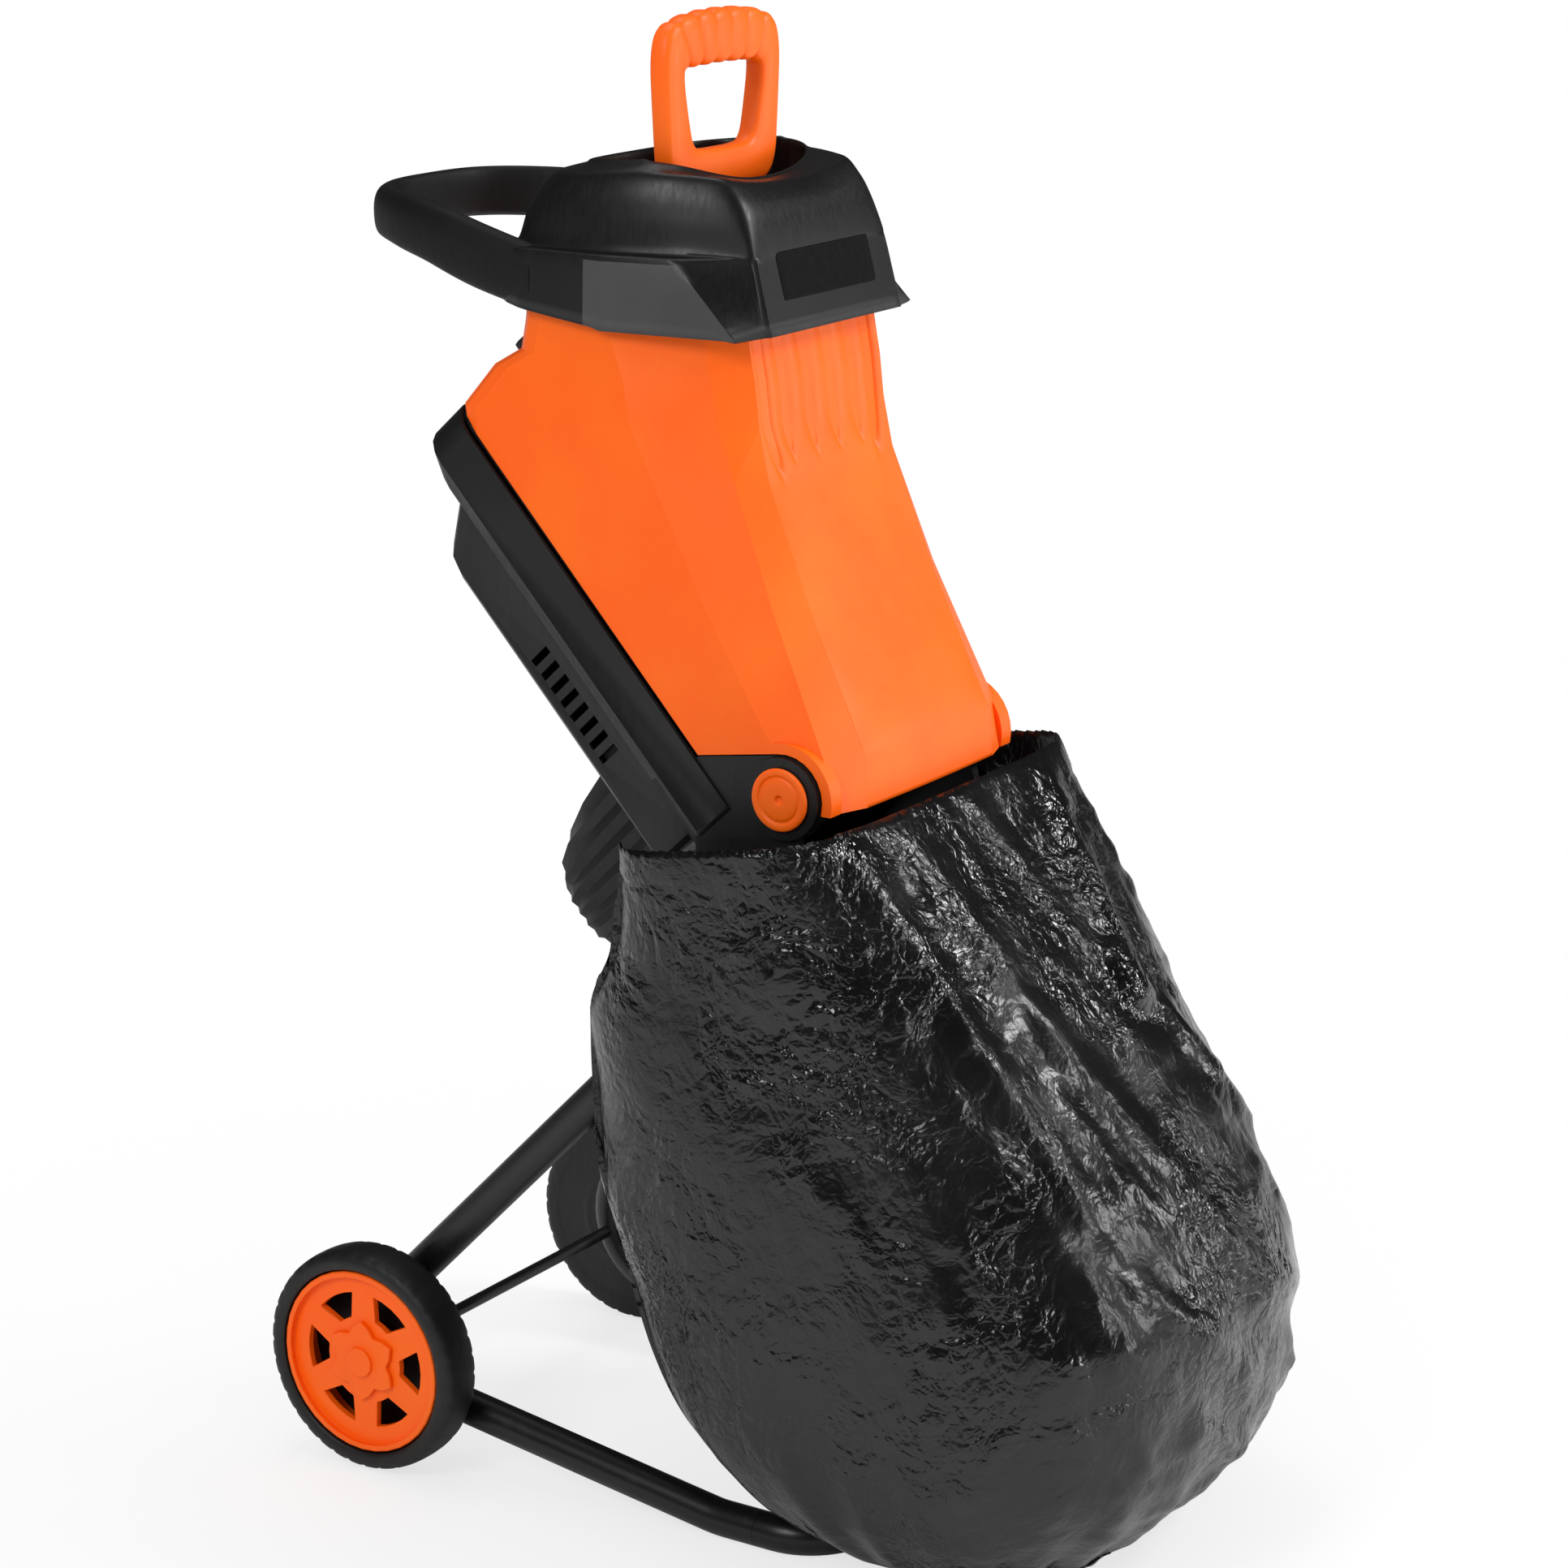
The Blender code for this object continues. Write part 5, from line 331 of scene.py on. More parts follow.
@dataclass(frozen=True)
class WorkedMetal:
    """Bare metal with the lines of its turning, grinding or casting, and a thin film of oil in patches."""

    name: str
    colour: str
    stained: str
    roughness: float
    line_mm: float = 0.9
    stretch: float = 14.0
    depth_mm: float = 0.02

    def make(self) -> bpy.types.Material:
        """Builds the material: stretched noise as tool lines, patches of stain."""
        material, tree, shader, place = blank(self.name)
        shader.inputs["Metallic"].default_value = 1.0
        settings = {"Scale": (1.0, 1.0, self.stretch)}
        drawn = put(tree, "ShaderNodeMapping", settings, {"Vector": place}).outputs[0]
        lines = noise(tree, drawn, 0.1 / (self.line_mm * MM), 3.0)
        stain = noise(tree, place, 60.0, 6.0)
        tint = blend(tree, fit_range(tree, stain, (0.5, 0.75), (0.0, 1.0)), self.colour, self.stained)
        gloss = fit_range(tree, lines, (0.3, 0.7), (self.roughness - 0.06, self.roughness + 0.10))
        dress(tree, shader, tint, relief(tree, lines, 0.3, self.depth_mm * MM), gloss)
        return material


@dataclass(frozen=True)
class WoundCopper:
    """Enamelled copper wire in close turns on a dark core, with painted shade in the grooves between the
    turns.
    """

    name: str = "enamelled_copper"
    colour: str = "#c26a3a"
    shadow: str = "#3a1a0c"
    roughness: float = 0.34
    wire_mm: float = 1.6
    wire_depth_mm: float = 0.4

    def make(self) -> bpy.types.Material:
        """Builds the material: wire turns as bands of painted shade in the colour, and as bump."""
        material, tree, shader, place = blank(self.name)
        shader.inputs["Metallic"].default_value = 1.0
        shader.inputs["Roughness"].default_value = self.roughness
        scale = BAND_LENGTH / (self.wire_mm * MM)
        settings = {"bands_direction": "DIAGONAL", "Scale": scale, "Distortion": 0.8}
        turns = put(tree, "ShaderNodeTexWave", settings, {"Vector": place}).outputs[1]
        # The shadow colour in each band is painted shade in the groove between two turns.
        tint = blend(tree, turns, self.shadow, self.colour)
        dress(tree, shader, tint, relief(tree, turns, 0.6, self.wire_depth_mm * MM))
        return material


class Finish(Enum):
    """The finishes of the machine, by what they are made of, with one painted highlight on the collar's side
    panels.
    """

    ORANGE_PP = MouldedPlastic(
        "orange_polypropylene", "#ff6204", "#ff6e0c", 0.42, grain_depth_mm=0.03, shine=0.3
    )
    BLACK_PP = MouldedPlastic("black_grained_polypropylene", "#101011", "#1a1a1b", 0.46, shine=0.4)
    COLLAR_ABS = MouldedPlastic("charcoal_satin_abs", "#0f0f10", "#161617", 0.38, shine=0.36)
    # Painted highlight: the collar's flat side panels are drawn a lighter grey for the light they catch;
    # their grain is a bump.
    PANEL_PAINTED_HIGHLIGHT = MouldedPlastic("grained_side_panel_painted_highlight", "#3a3a3b", "#464647", 0.50, grain_depth_mm=0.10)
    SOFT_GRIP = MouldedPlastic(
        "black_soft_grip_rubber", "#0a0a0b", "#111112", 0.60, grain_depth_mm=0.08, shine=0.3
    )
    LABEL_ABS = MouldedPlastic("bare_label_field_abs", "#020202", "#040404", 0.85, shine=0.2)
    TREAD = MouldedPlastic(
        "black_wheel_tread_eva", "#0e0f0f", "#18191a", 0.55, grain_mm=1.6, grain_depth_mm=0.12
    )
    BELT = MouldedPlastic("belt_neoprene", "#161617", "#2b2b2b", 0.6, scratch_mm=1.2)
    GREEN_PP = MouldedPlastic("green_button_abs", "#2d9a3c", "#3aa64a", 0.34)
    RED_PP = MouldedPlastic("red_button_abs", "#b81414", "#c42a22", 0.34)
    COAT = PowderCoat("black_powder_coat", "#0d0d0e", "#171718")
    FILM = CoatedFilm("black_coated_tape_weave", "#0b0b0c", "#131314")
    STEEL = WorkedMetal("zinc_plated_steel", "#c9cacd", "#9a9ca0", 0.30)
    DARK_STEEL = WorkedMetal("blackened_steel", "#6c6e72", "#46484b", 0.40)
    ALUMINIUM = WorkedMetal(
        "cast_aluminium", "#b8babd", "#8f9194", 0.46, line_mm=2.0, stretch=1.0, depth_mm=0.08
    )
    COPPER = WoundCopper()


SLOT_FINISH = {
    "orange_plastic": Finish.ORANGE_PP,
    "black_plastic": Finish.BLACK_PP,
    "black_paint": Finish.COAT,
    "black_rubber": Finish.TREAD,
    "belt_rubber": Finish.BELT,
    "black_film": Finish.FILM,
    "bright_steel": Finish.STEEL,
    "dark_steel": Finish.DARK_STEEL,
    "cast_aluminium": Finish.ALUMINIUM,
    "copper": Finish.COPPER,
    "green_plastic": Finish.GREEN_PP,
    "red_plastic": Finish.RED_PP,
}
MADE: dict[Finish, bpy.types.Material] = {}


def material_of(finish: Finish) -> bpy.types.Material:
    """Gives the one material of a finish, made when it is first asked for.

    Args:
        finish: the finish.

    Returns:
        Its material.
    """
    if finish not in MADE:
        MADE[finish] = finish.value.make()
    return MADE[finish]


def through(knots: Array, places: Array) -> Array:
    """Smooth values between evenly numbered knots, never past them.

    The slope at a knot is the harmonic mean of the two steps beside it, or nought where they disagree, and a
    cubic joins the knots with those slopes.

    Args:
        knots: one row of values for each knot.
        places: knot numbers, which may lie between knots.

    Returns:
        The values at the places, with the columns of knots as the last axis.
    """
    steps = np.diff(knots, axis=0)
    alike = steps[:-1] * steps[1:] > 0.0
    total = np.where(alike, steps[:-1] + steps[1:], 1.0)
    inner = np.where(alike, 2.0 * steps[:-1] * steps[1:] / total, 0.0)
    slopes = np.concatenate([steps[:1], inner, steps[-1:]])
    index = np.clip(np.floor(places).astype(int), 0, len(knots) - 2)
    share = (places - index)[..., None]
    squared, cubed = share**2, share**3
    return (
        (2 * cubed - 3 * squared + 1) * knots[index]
        + (cubed - 2 * squared + share) * slopes[index]
        + (3 * squared - 2 * cubed) * knots[index + 1]
        + (cubed - squared) * slopes[index + 1]
    )


def ease(value: Array, low: float, high: float) -> Array:
    """Rises smoothly from nought at low to one at high: 3t^2 - 2t^3 of the clipped share."""
    share = np.clip((value - low) / (high - low), 0.0, 1.0)
    return share * share * (3.0 - 2.0 * share)


def soften(ring: Array, times: int) -> Array:
    """Rounds a closed outline by cutting each corner at a quarter and three quarters of its sides.

    Args:
        ring: the corners, along the second last axis.
        times: how often the corners are cut.

    Returns:
        The outline with twice as many points for each time.
    """
    for _ in range(times):
        ahead = np.roll(ring, -1, axis=-2)
        pair = np.stack([0.75 * ring + 0.25 * ahead, 0.25 * ring + 0.75 * ahead], axis=-2)
        ring = pair.reshape(*ring.shape[:-2], -1, ring.shape[-1])
    return ring


def creases(points: Array, seed: int, lengths: tuple[float, float], count: int) -> Array:
    """Crumpled height over points in space, from about -1 to 1.

    It is a sum of sharp waves |sin| that run in seeded directions, each warped by a slow wave.

    Args:
        points: places, with x, y and z as the last axis.
        seed: the number that fixes the directions.
        lengths: the shortest and longest wave, in metres.
        count: how many waves are summed.

    Returns:
        One height for each place.
    """
    draw = np.random.default_rng(seed)
    height = np.zeros(points.shape[:-1])
    for _ in range(count):
        way = draw.normal(size=3)
        way /= np.linalg.norm(way)
        slow = draw.normal(size=3)
        length = draw.uniform(*lengths)
        phase, bend = draw.uniform(0.0, 6.28, 2)
        warp = 0.9 * np.sin(points @ slow * (1.6 / length) + bend)
        height += 1.0 - 2.0 * np.abs(np.sin(points @ way * (math.pi / length) + phase + warp))
    return height / math.sqrt(count)


def settle(mesh: bpy.types.Mesh) -> bpy.types.Mesh:
    """Welds the doubles of a mesh, turns its faces outwards and shades it smooth between sharp edges.

    Args:
        mesh: the mesh, which is changed in place.

    Returns:
        The same mesh.
    """
    bm = bmesh.new()
    bm.from_mesh(mesh)
    bmesh.ops.remove_doubles(bm, verts=bm.verts, dist=1e-6)
    bmesh.ops.dissolve_degenerate(bm, dist=1e-7, edges=bm.edges)
    bmesh.ops.recalc_face_normals(bm, faces=bm.faces)
    bm.to_mesh(mesh)
    bm.free()
    mesh.shade_smooth()
    mesh.set_sharp_from_angle(angle=SHARP)
    return mesh


def grid_mesh(
    name: str,
    points: Array,
    round_rows: bool = False,
    round_columns: bool = True,
    ends: bool = False,
) -> bpy.types.Mesh:
    """Puts a grid of points into a mesh of four-sided faces.

    Args:
        name: the mesh's name.
        points: rows by columns by three.
        round_rows: whether the last row joins the first.
        round_columns: whether the last column joins the first.
        ends: whether the first and last rows are closed with a flat face.

    Returns:
        The mesh, welded and facing outwards.
    """
    rows, columns = points.shape[:2]
    row = np.arange(rows if round_rows else rows - 1)[:, None]
    column = np.arange(columns if round_columns else columns - 1)[None, :]
    below, above = row * columns, ((row + 1) % rows) * columns
    after = (column + 1) % columns
    corners = [below + column, below + after, above + after, above + column]
    faces = np.stack(corners, axis=-1).reshape(-1, 4).tolist()
    if ends:
        faces.append(list(range(columns)))
        faces.append(list(range((rows - 1) * columns, rows * columns)))
    mesh = bpy.data.meshes.new(name)
    mesh.from_pydata(points.reshape(-1, 3).tolist(), [], faces)
    return settle(mesh)


def turned_mesh(
    name: str,
    profile: Array,
    centre: Triple,
    steps: int,
    dent: Array | None = None,
) -> bpy.types.Mesh:
    """Turns a closed outline about a line along X: cos and sin carry the radius of each point round.

    Args:
        name: the mesh's name.
        profile: rows of x and radius.
        centre: the point on the axis that x is measured from.
        steps: how many steps one turn takes.
        dent: what is taken off the radius, steps by outline points.

    Returns:
        The mesh.
    """
    angle = np.linspace(0.0, 2.0 * math.pi, steps, endpoint=False)[:, None]
    radius = np.ones((steps, 1)) * profile[None, :, 1] - (0.0 if dent is None else dent)
    along = np.broadcast_to(profile[None, :, 0], radius.shape)
    points = np.stack([along, radius * np.cos(angle), radius * np.sin(angle)], axis=-1) + np.array(centre)
    return grid_mesh(name, points, round_rows=True)


def route(corners: list[Pair], radii: list[float], count: int = 14) -> Array:
    """A flat line whose corners are rounded by arcs that touch both sides.

    Args:
        corners: the line's points, its two ends among them.
        radii: one bend radius for each inner point.
        count: how many steps an arc takes.

    Returns:
        The points of the rounded line.
    """
    points = [np.array([corners[0]])]
    for before, corner, after, radius in zip(corners, corners[1:], corners[2:], radii):
        here = np.array(corner)
        first = (np.array(before) - here) / np.linalg.norm(np.array(before) - here)
        second = (np.array(after) - here) / np.linalg.norm(np.array(after) - here)
        half = math.acos(float(first @ second)) / 2.0
        bisector = (first + second) / np.linalg.norm(first + second)
        centre = here + bisector * radius / math.sin(half)
        start = here + first * radius / math.tan(half) - centre
        end = here + second * radius / math.tan(half) - centre
        share = np.linspace(0.0, 1.0, count + 1)[:, None]
        sweep = math.pi - 2.0 * half
        arc = (np.sin((1.0 - share) * sweep) * start + np.sin(share * sweep) * end) / math.sin(sweep)
        points.append(centre + arc)
    points.append(np.array([corners[-1]]))
    return np.concatenate(points)


def swept_tube(name: str, line: Array, flat: Array, radius: float, sides: int = 28) -> bpy.types.Mesh:
    """Carries a circle along a line that lies in one plane.

    The circle at each point is spanned by the plane's normal and by the cross product of the line's direction
    with it.

    Args:
        name: the mesh's name.
        line: the points.
        flat: the unit vector square to the plane.
        radius: the tube's radius.
        sides: how many points the circle has.

    Returns:
        The mesh, closed at its two ends.
    """
    along = np.gradient(line, axis=0)
    along /= np.linalg.norm(along, axis=1, keepdims=True)
    across = np.cross(along, flat)
    angle = np.linspace(0.0, 2.0 * math.pi, sides, endpoint=False)[None, :, None]
    points = line[:, None] + radius * (np.cos(angle) * across[:, None] + np.sin(angle) * flat)
    return grid_mesh(name, points, ends=True)


def show(
    name: str,
    mesh: bpy.types.Mesh,
    body: str,
    finish: Finish,
    stands_for: tuple[str, ...] = (),
) -> bpy.types.Object:
    """Makes a piece of the machine from a mesh.

    Args:
        name: the piece's name.
        mesh: its mesh, in place.
        body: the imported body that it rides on.
        finish: its finish.
        stands_for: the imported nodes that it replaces.

    Returns:
        The new object, at the origin.
    """
    piece = bpy.data.objects.new(name, mesh)
    bpy.context.scene.collection.objects.link(piece)
    mesh.materials.clear()
    mesh.materials.append(material_of(finish))
    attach(piece, body)
    if stands_for:
        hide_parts(*stands_for)
    log.info("%s: %d faces on %s", name, len(mesh.polygons), body)
    return piece


def wall(piece: bpy.types.Object, thickness: float) -> None:
    """Gives a single surface a wall inwards.

    Args:
        piece: the surface.
        thickness: how thick the wall is.
    """
    modifier = piece.modifiers.new("wall", "SOLIDIFY")
    modifier.thickness = thickness
    modifier.offset = -1.0
    modifier.use_even_offset = False


@dataclass
class CatchBag:
    """The soft bag: one crumpled skin of coated weave that hangs from its hemmed mouth round the duct.

    Each row of rings holds z, half width, front axle_y, rear axle_y and the power of its rounded section.
    Each fold holds x and z of its two ends, its width and its rise. mouth and back_line hold axle_y, z and
    the slope from there.
    """

    skin: float = 0.0010
    columns: int = 312
    rows: int = 144
    foot_rows: int = 9
    search_rows: int = 661
    strut_half: float = 0.169
    back_top: float = 0.385
    mouth: Triple = (-0.408, 0.568, -0.1615)
    back_line: Triple = (-0.3869, 0.4972, -0.98747)
    back_front: float = -0.392
    clearance: float = 0.0008
    hook: Pair = (-0.3807, 0.4739)
    bar_y: float = -0.400
    bar_front: float = -0.4165
    bar_half: float = 0.20
    bar_top: float = 0.0284
    lump_rise: float = 0.0022
    gather_rise: float = 0.0020
    gathers: float = 23.0
    crumple_rise: float = 0.0019
    fine_rise: float = 0.0009
    most_rise: float = 0.008
    hem_rise: float = 0.0009
    seam_dent: float = 0.0012
    seam_drop: float = 0.0255
    flat_width: float = 1.25
    rings: tuple[tuple[float, ...], ...] = (
        (0.0008, 0.075, -0.520, -0.455, 2.2),
        (0.015, 0.148, -0.570, -0.4180, 2.4),
        (0.0283, 0.176, -0.596, -0.4170, 2.6),
        (0.0295, 0.180, -0.599, -0.352, 2.6),
        (0.070, 0.211, -0.638, -0.276, 2.7),
        (0.120, 0.223, -0.659, -0.228, 2.8),
        (0.200, 0.226, -0.664, -0.190, 2.8),
        (0.300, 0.219, -0.617, -0.162, 2.9),
        (0.400, 0.210, -0.547, -0.166, 3.2),
        (0.460, 0.206, -0.502, -0.198, 3.6),
        (0.520, 0.204, -0.454, -0.216, 4.2),
        (0.600, 0.204, -0.392, -0.226, 5.0),
    )
    folds: tuple[tuple[float, ...], ...] = (
        (-0.150, 0.545, -0.120, 0.300, 0.014, 0.007),
        (-0.085, 0.550, -0.060, 0.400, 0.013, 0.006),
        (-0.060, 0.420, 0.020, 0.250, 0.012, 0.006),
        (0.010, 0.550, 0.060, 0.420, 0.012, 0.006),
        (0.120, 0.550, 0.070, 0.420, 0.013, 0.007),
        (0.070, 0.430, 0.160, 0.300, 0.012, 0.006),
        (-0.170, 0.400, -0.130, 0.220, 0.012, 0.005),
        (0.175, 0.520, 0.190, 0.300, 0.011, 0.004),
        (-0.100, 0.250, 0.020, 0.150, 0.014, 0.005),
        (0.040, 0.220, 0.150, 0.180, 0.014, 0.005),
        (-0.060, 0.140, 0.060, 0.070, 0.012, 0.004),
        (0.110, 0.150, 0.170, 0.060, 0.012, 0.005),
    )

    def section(self, places: Array, turn: Array) -> tuple[Array, Array]:
        """Points of the smooth bag, and where they lie on its low back.

        A section is a superellipse: the powers of its two shares of width and depth add up to one. Behind the
        struts it is pressed flat against the line that they run on.

        Args:
            places: ring numbers, rows by columns.
            turn: the angle of each column, nought at the middle of the rear.

        Returns:
            The points, and one where a point is pressed to the back, else nought.
        """
        z, half, front, rear, power = np.moveaxis(through(np.array(self.rings), places), -1, 0)
        across, along = np.sin(turn), np.cos(turn)
        reach = (np.abs(across) ** power + np.abs(along) ** power) ** (-1.0 / power)
        x = half * across * reach
        y = (front + rear) / 2.0 + (rear - front) / 2.0 * along * reach
        line_y, line_z, slope = self.back_line
        back = np.maximum(self.back_front, line_y + (z - line_z) * slope) - self.clearance
        pressed = (np.abs(x) < self.strut_half) & (y > back)
        return np.stack([x, np.where(pressed, back, y), z], axis=-1), pressed.astype(float)

    def heights(self, points: Array, turn: Array, to_mouth: Array, pressed: Array) -> Array:
        """How far each point stands out of the smooth bag.

        It sums slow lumps, long folds on the front, each with a hollow beside it, gathers round the foot
        and crumples at two sizes. A hyperbolic tangent limits the sum, and it fades at the floor, at the
        hooks and where the bag is pressed. The hem stands proud above a dented seam.

        Args:
            points: the smooth bag.
            turn: the angle of each column.
            to_mouth: the height left to the mouth at each point.
            pressed: one where the bag is pressed to its back.

        Returns:
            The heights, in metres.
        """
        x, y, z = np.moveaxis(points, -1, 0)
        facing = ease(-np.cos(turn), -0.15, 0.65)[None, :]
        height = self.lump_rise * creases(points, 3, (0.16, 0.26), 5)
        for x0, z0, x1, z1, width, rise in self.folds:
            along = (x - x0) * (x1 - x0) + (z - z0) * (z1 - z0)
            share = np.clip(along / ((x1 - x0) ** 2 + (z1 - z0) ** 2), 0.0, 1.0)
            away = np.hypot(x - x0 - share * (x1 - x0), z - z0 - share * (z1 - z0))
            crest = np.exp(-np.hypot(away / width, 0.5))
            hollow = np.exp(-((away - 2.0 * width) / width) ** 2)
            height += facing * rise * (1.6 * crest - 0.35 * hollow)
        near_foot = ease(z, 0.010, 0.04) * ease(-z, -0.16, -0.05)
        height += self.gather_rise * np.sin(self.gathers * turn + 2.0 * np.sin(3.0 * turn)) * near_foot
        height += (0.15 + 0.85 * facing) * self.crumple_rise * creases(points, 11, (0.050, 0.100), 9)
        height += (0.25 + 0.75 * facing) * self.fine_rise * creases(points, 17, (0.020, 0.036), 14)
        near_hook = np.hypot(y - self.hook[0], z - self.hook[1])
        calm = ease(z, 0.002, 0.050) * ease(near_hook, 0.012, 0.045) * (1.0 - 0.8 * pressed)
        calm = calm * (0.45 + 0.55 * ease(to_mouth, 0.0, 0.05))
        seam = np.exp(-((to_mouth - self.seam_drop) / 0.0022) ** 2)
        hem = self.hem_rise * ease(-to_mouth, -0.026, -0.022) - self.seam_dent * seam
        return self.most_rise * np.tanh(height / self.most_rise) * calm + hem

    def top_of(self, turn: Array) -> Array:
        """Finds where each column reaches the mouth, or the top of the low back.

        Args:
            turn: the angle of each column.

        Returns:
            One ring number for each column.
        """
        fine = np.linspace(0.0, len(self.rings) - 1, self.search_rows)
        tall, pressed = self.section(np.broadcast_to(fine[:, None], (len(fine), self.columns)), turn)
        mouth_y, mouth_z, slope = self.mouth
        edge = mouth_z + slope * (tall[..., 1] - mouth_y)
        over = (tall[..., 2] > edge) | ((pressed > 0.5) & (tall[..., 2] > self.back_top))
        return fine[np.argmax(over, axis=0)]

    def outward(self, points: Array) -> Array:
        """Unit vectors square to the smooth bag: the cross product of its two directions, turned outwards.

        Args:
            points: the smooth bag.

        Returns:
            One vector for each point.
        """
        upward = np.gradient(points, axis=0)
        padded = np.concatenate([points[:, -1:], points, points[:, :1]], axis=1)
        normal = np.cross((padded[:, 2:] - padded[:, :-2]) / 2.0, upward)
        normal /= np.maximum(np.linalg.norm(normal, axis=-1, keepdims=True), 1e-12)
        belly = self.rows // 2
        from_middle = points[belly, :, :2] - [0.0, -0.45]
        return np.sign(np.sum(normal[belly, :, :2] * from_middle)) * normal

    def seat(self, points: Array) -> Array:
        """Lifts the skin off the floor and over the bar that it rests on.

        Args:
            points: the skin.

        Returns:
            The lifted skin.
        """
        x, y, z = np.moveaxis(points, -1, 0)
        z = np.maximum(z, self.clearance)
        near_bar = ease(-np.abs(y - self.bar_y), -0.030, -0.020) * (np.abs(x) < self.bar_half)
        over_bar = (near_bar > 0.5) & (y > self.bar_front)
        return np.stack([x, y, np.where(over_bar, np.maximum(z, self.bar_top), z)], axis=-1)

    def build(self) -> None:
        turn = np.linspace(0.0, 2.0 * math.pi, self.columns, endpoint=False)
        share = np.linspace(0.0, 1.0, self.rows)[:, None]
        points, pressed = self.section(self.top_of(turn)[None, :] * share, turn)
        to_mouth = points[-1:, :, 2] - points[..., 2]
        points = points + self.outward(points) * self.heights(points, turn, to_mouth, pressed)[..., None]
        middle = points[0].mean(axis=0)
        foot = middle + (points[0] - middle) * np.linspace(0.0, 0.9, self.foot_rows)[:, None, None]
        points = self.seat(np.concatenate([foot, points])) + [0.0, AXLE_Y, 0.0]
        mesh = grid_mesh("catch_bag_skin", points)
        bag = show("catch_bag_skin", mesh, "machine", Finish.FILM, ("catch_bag",))
        wall(bag, self.skin)


@dataclass
class Collar:
    """The charcoal top: skirt, dome and feed funnel in one shell, the soft handle loop and the label field.

    Each row holds z, front axle_y, front half width, cheek axle_y, side axle_y, half width, rear axle_y,
    corner radius and dip. Each row of the funnel holds z, half width, middle axle_y, half depth and power.
    underside and crest hold axle_y and z along the loop.
    """

    rows: tuple[tuple[float, ...], ...] = (
        (0.9045, -0.3110, 0.092, -0.300, -0.190, 0.130, -0.088, 0.030, 0.0),
        (0.9580, -0.2970, 0.090, -0.247, -0.190, 0.128, -0.088, 0.032, 0.0),
        (0.9610, -0.2965, 0.090, -0.245, -0.190, 0.119, -0.092, 0.036, 0.0),
        (0.9850, -0.2900, 0.088, -0.240, -0.195, 0.116, -0.098, 0.040, 0.0),
        (1.0030, -0.2810, 0.086, -0.238, -0.200, 0.112, -0.106, 0.040, 0.006),
        (1.0165, -0.2680, 0.083, -0.232, -0.205, 0.105, -0.118, 0.036, 0.013),
    )
    funnel: tuple[tuple[float, ...], ...] = (
        (1.0228, 0.0920, -0.190, 0.0600, 3.2),
        (1.0244, 0.0890, -0.190, 0.0575, 3.4),
        (1.0215, 0.0862, -0.190, 0.0548, 4.0),
        (1.0050, 0.0850, -0.191, 0.0545, 5.5),
        (0.9850, 0.0840, -0.194, 0.0585, 5.5),
        (0.9378, 0.0812, -0.1975, 0.0568, 5.5),
    )
    middle_y: float = -0.190
    rear_y: float = -0.088
    cheek_inset: float = 0.0105
    front_corner: Pair = (0.004, 0.003)
    panel_rear: float = -0.174
    panel_x: float = 0.100
    lip_half: float = 0.092
    lip_side: float = -0.205
    lip_dip: float = 0.018
    lip_fade: Pair = (0.985, 1.0215)
    rim_fall: float = 0.6
    shell: float = 0.0024
    skirt_gap: float = 0.0012
    fine: int = 10
    cuts: int = 6
    softened: tuple[tuple[int, int], ...] = ((2, 6), (3, 30), (4, 36), (5, 36))
    label_half: float = 0.063
    label_z: Pair = (0.9265, 0.9625)
    label_rise: float = 0.0009
    label_sink: float = 0.0002
    label_wall: float = 0.0008
    underside: tuple[Pair, ...] = (
        (-0.190, 0.9045),
        (-0.123, 0.9135),
        (-0.067, 0.9255),
        (-0.018, 0.9400),
        (0.030, 0.9480),
        (0.074, 0.9500),
    )
    crest: tuple[Pair, ...] = (
        (-0.190, 0.9580),
        (-0.130, 0.9610),
        (-0.100, 0.9680),
        (-0.066, 0.9760),
        (-0.040, 0.9825),
        (0.000, 0.9880),
        (0.074, 0.9900),
    )
    loop_half: float = 0.1304
    lean_half: float = 0.13
    loop_tip: float = 0.074
    loop_start: float = -0.128
    loop_thickness: float = 0.018
    loop_soft: float = 0.006
    loop_slope: float = 0.008
    loop_steps: int = 150

    def outline(self, row: tuple[float, ...]) -> Array:
        """One level outline of the skirt or dome, from the middle of the rear round by +X, corners kept.

        Args:
            row: one of the rows.

        Returns:
            Points of x, axle_y and z, each straight side cut into fine steps.
        """
        z, front, front_half, cheek, side, half, rear, corner, dip = row
        angle = np.radians([0.0, 22.5, 45.0, 67.5, 90.0])
        arc_x, arc_y = half - corner + corner * np.sin(angle), rear - corner + corner * np.cos(angle)
        arc = np.stack([arc_x, arc_y], axis=1)
        cut_x, cut_y = self.front_corner
        lip = [(front_half, front + cut_y), (front_half - cut_x, front)]
        right = np.array([(0.0, rear), *arc, (half, side), (half - self.cheek_inset, cheek), *lip])
        ring = np.concatenate([right, [(0.0, front)], right[:0:-1] * [-1.0, 1.0]])
        share = np.linspace(0.0, 1.0, self.fine, endpoint=False)[None, :, None]
        ring = (ring[:, None] * (1.0 - share) + np.roll(ring, -1, axis=0)[:, None] * share).reshape(-1, 2)
        return np.concatenate([ring, z - self.drop(ring, side, dip)], axis=1)

    def drop(self, ring: Array, side: float, dip: float) -> Array:
        """How far the rim dips: a parabola across the front, and a slope towards the rear.

        Args:
            ring: points of x and axle_y.
            side: the axle_y where the front ends.
            dip: the dip in the middle of the front.

        Returns:
            One drop for each point, as a column.
        """
        x, y = ring[:, 0], ring[:, 1]
        front = dip * np.maximum(0.0, 1.0 - (x / self.lip_half) ** 2)
        rear = dip * self.rim_fall * (y - side) / (self.rear_y - side)
        return np.where(y < side, front, np.maximum(0.0, rear))[:, None]

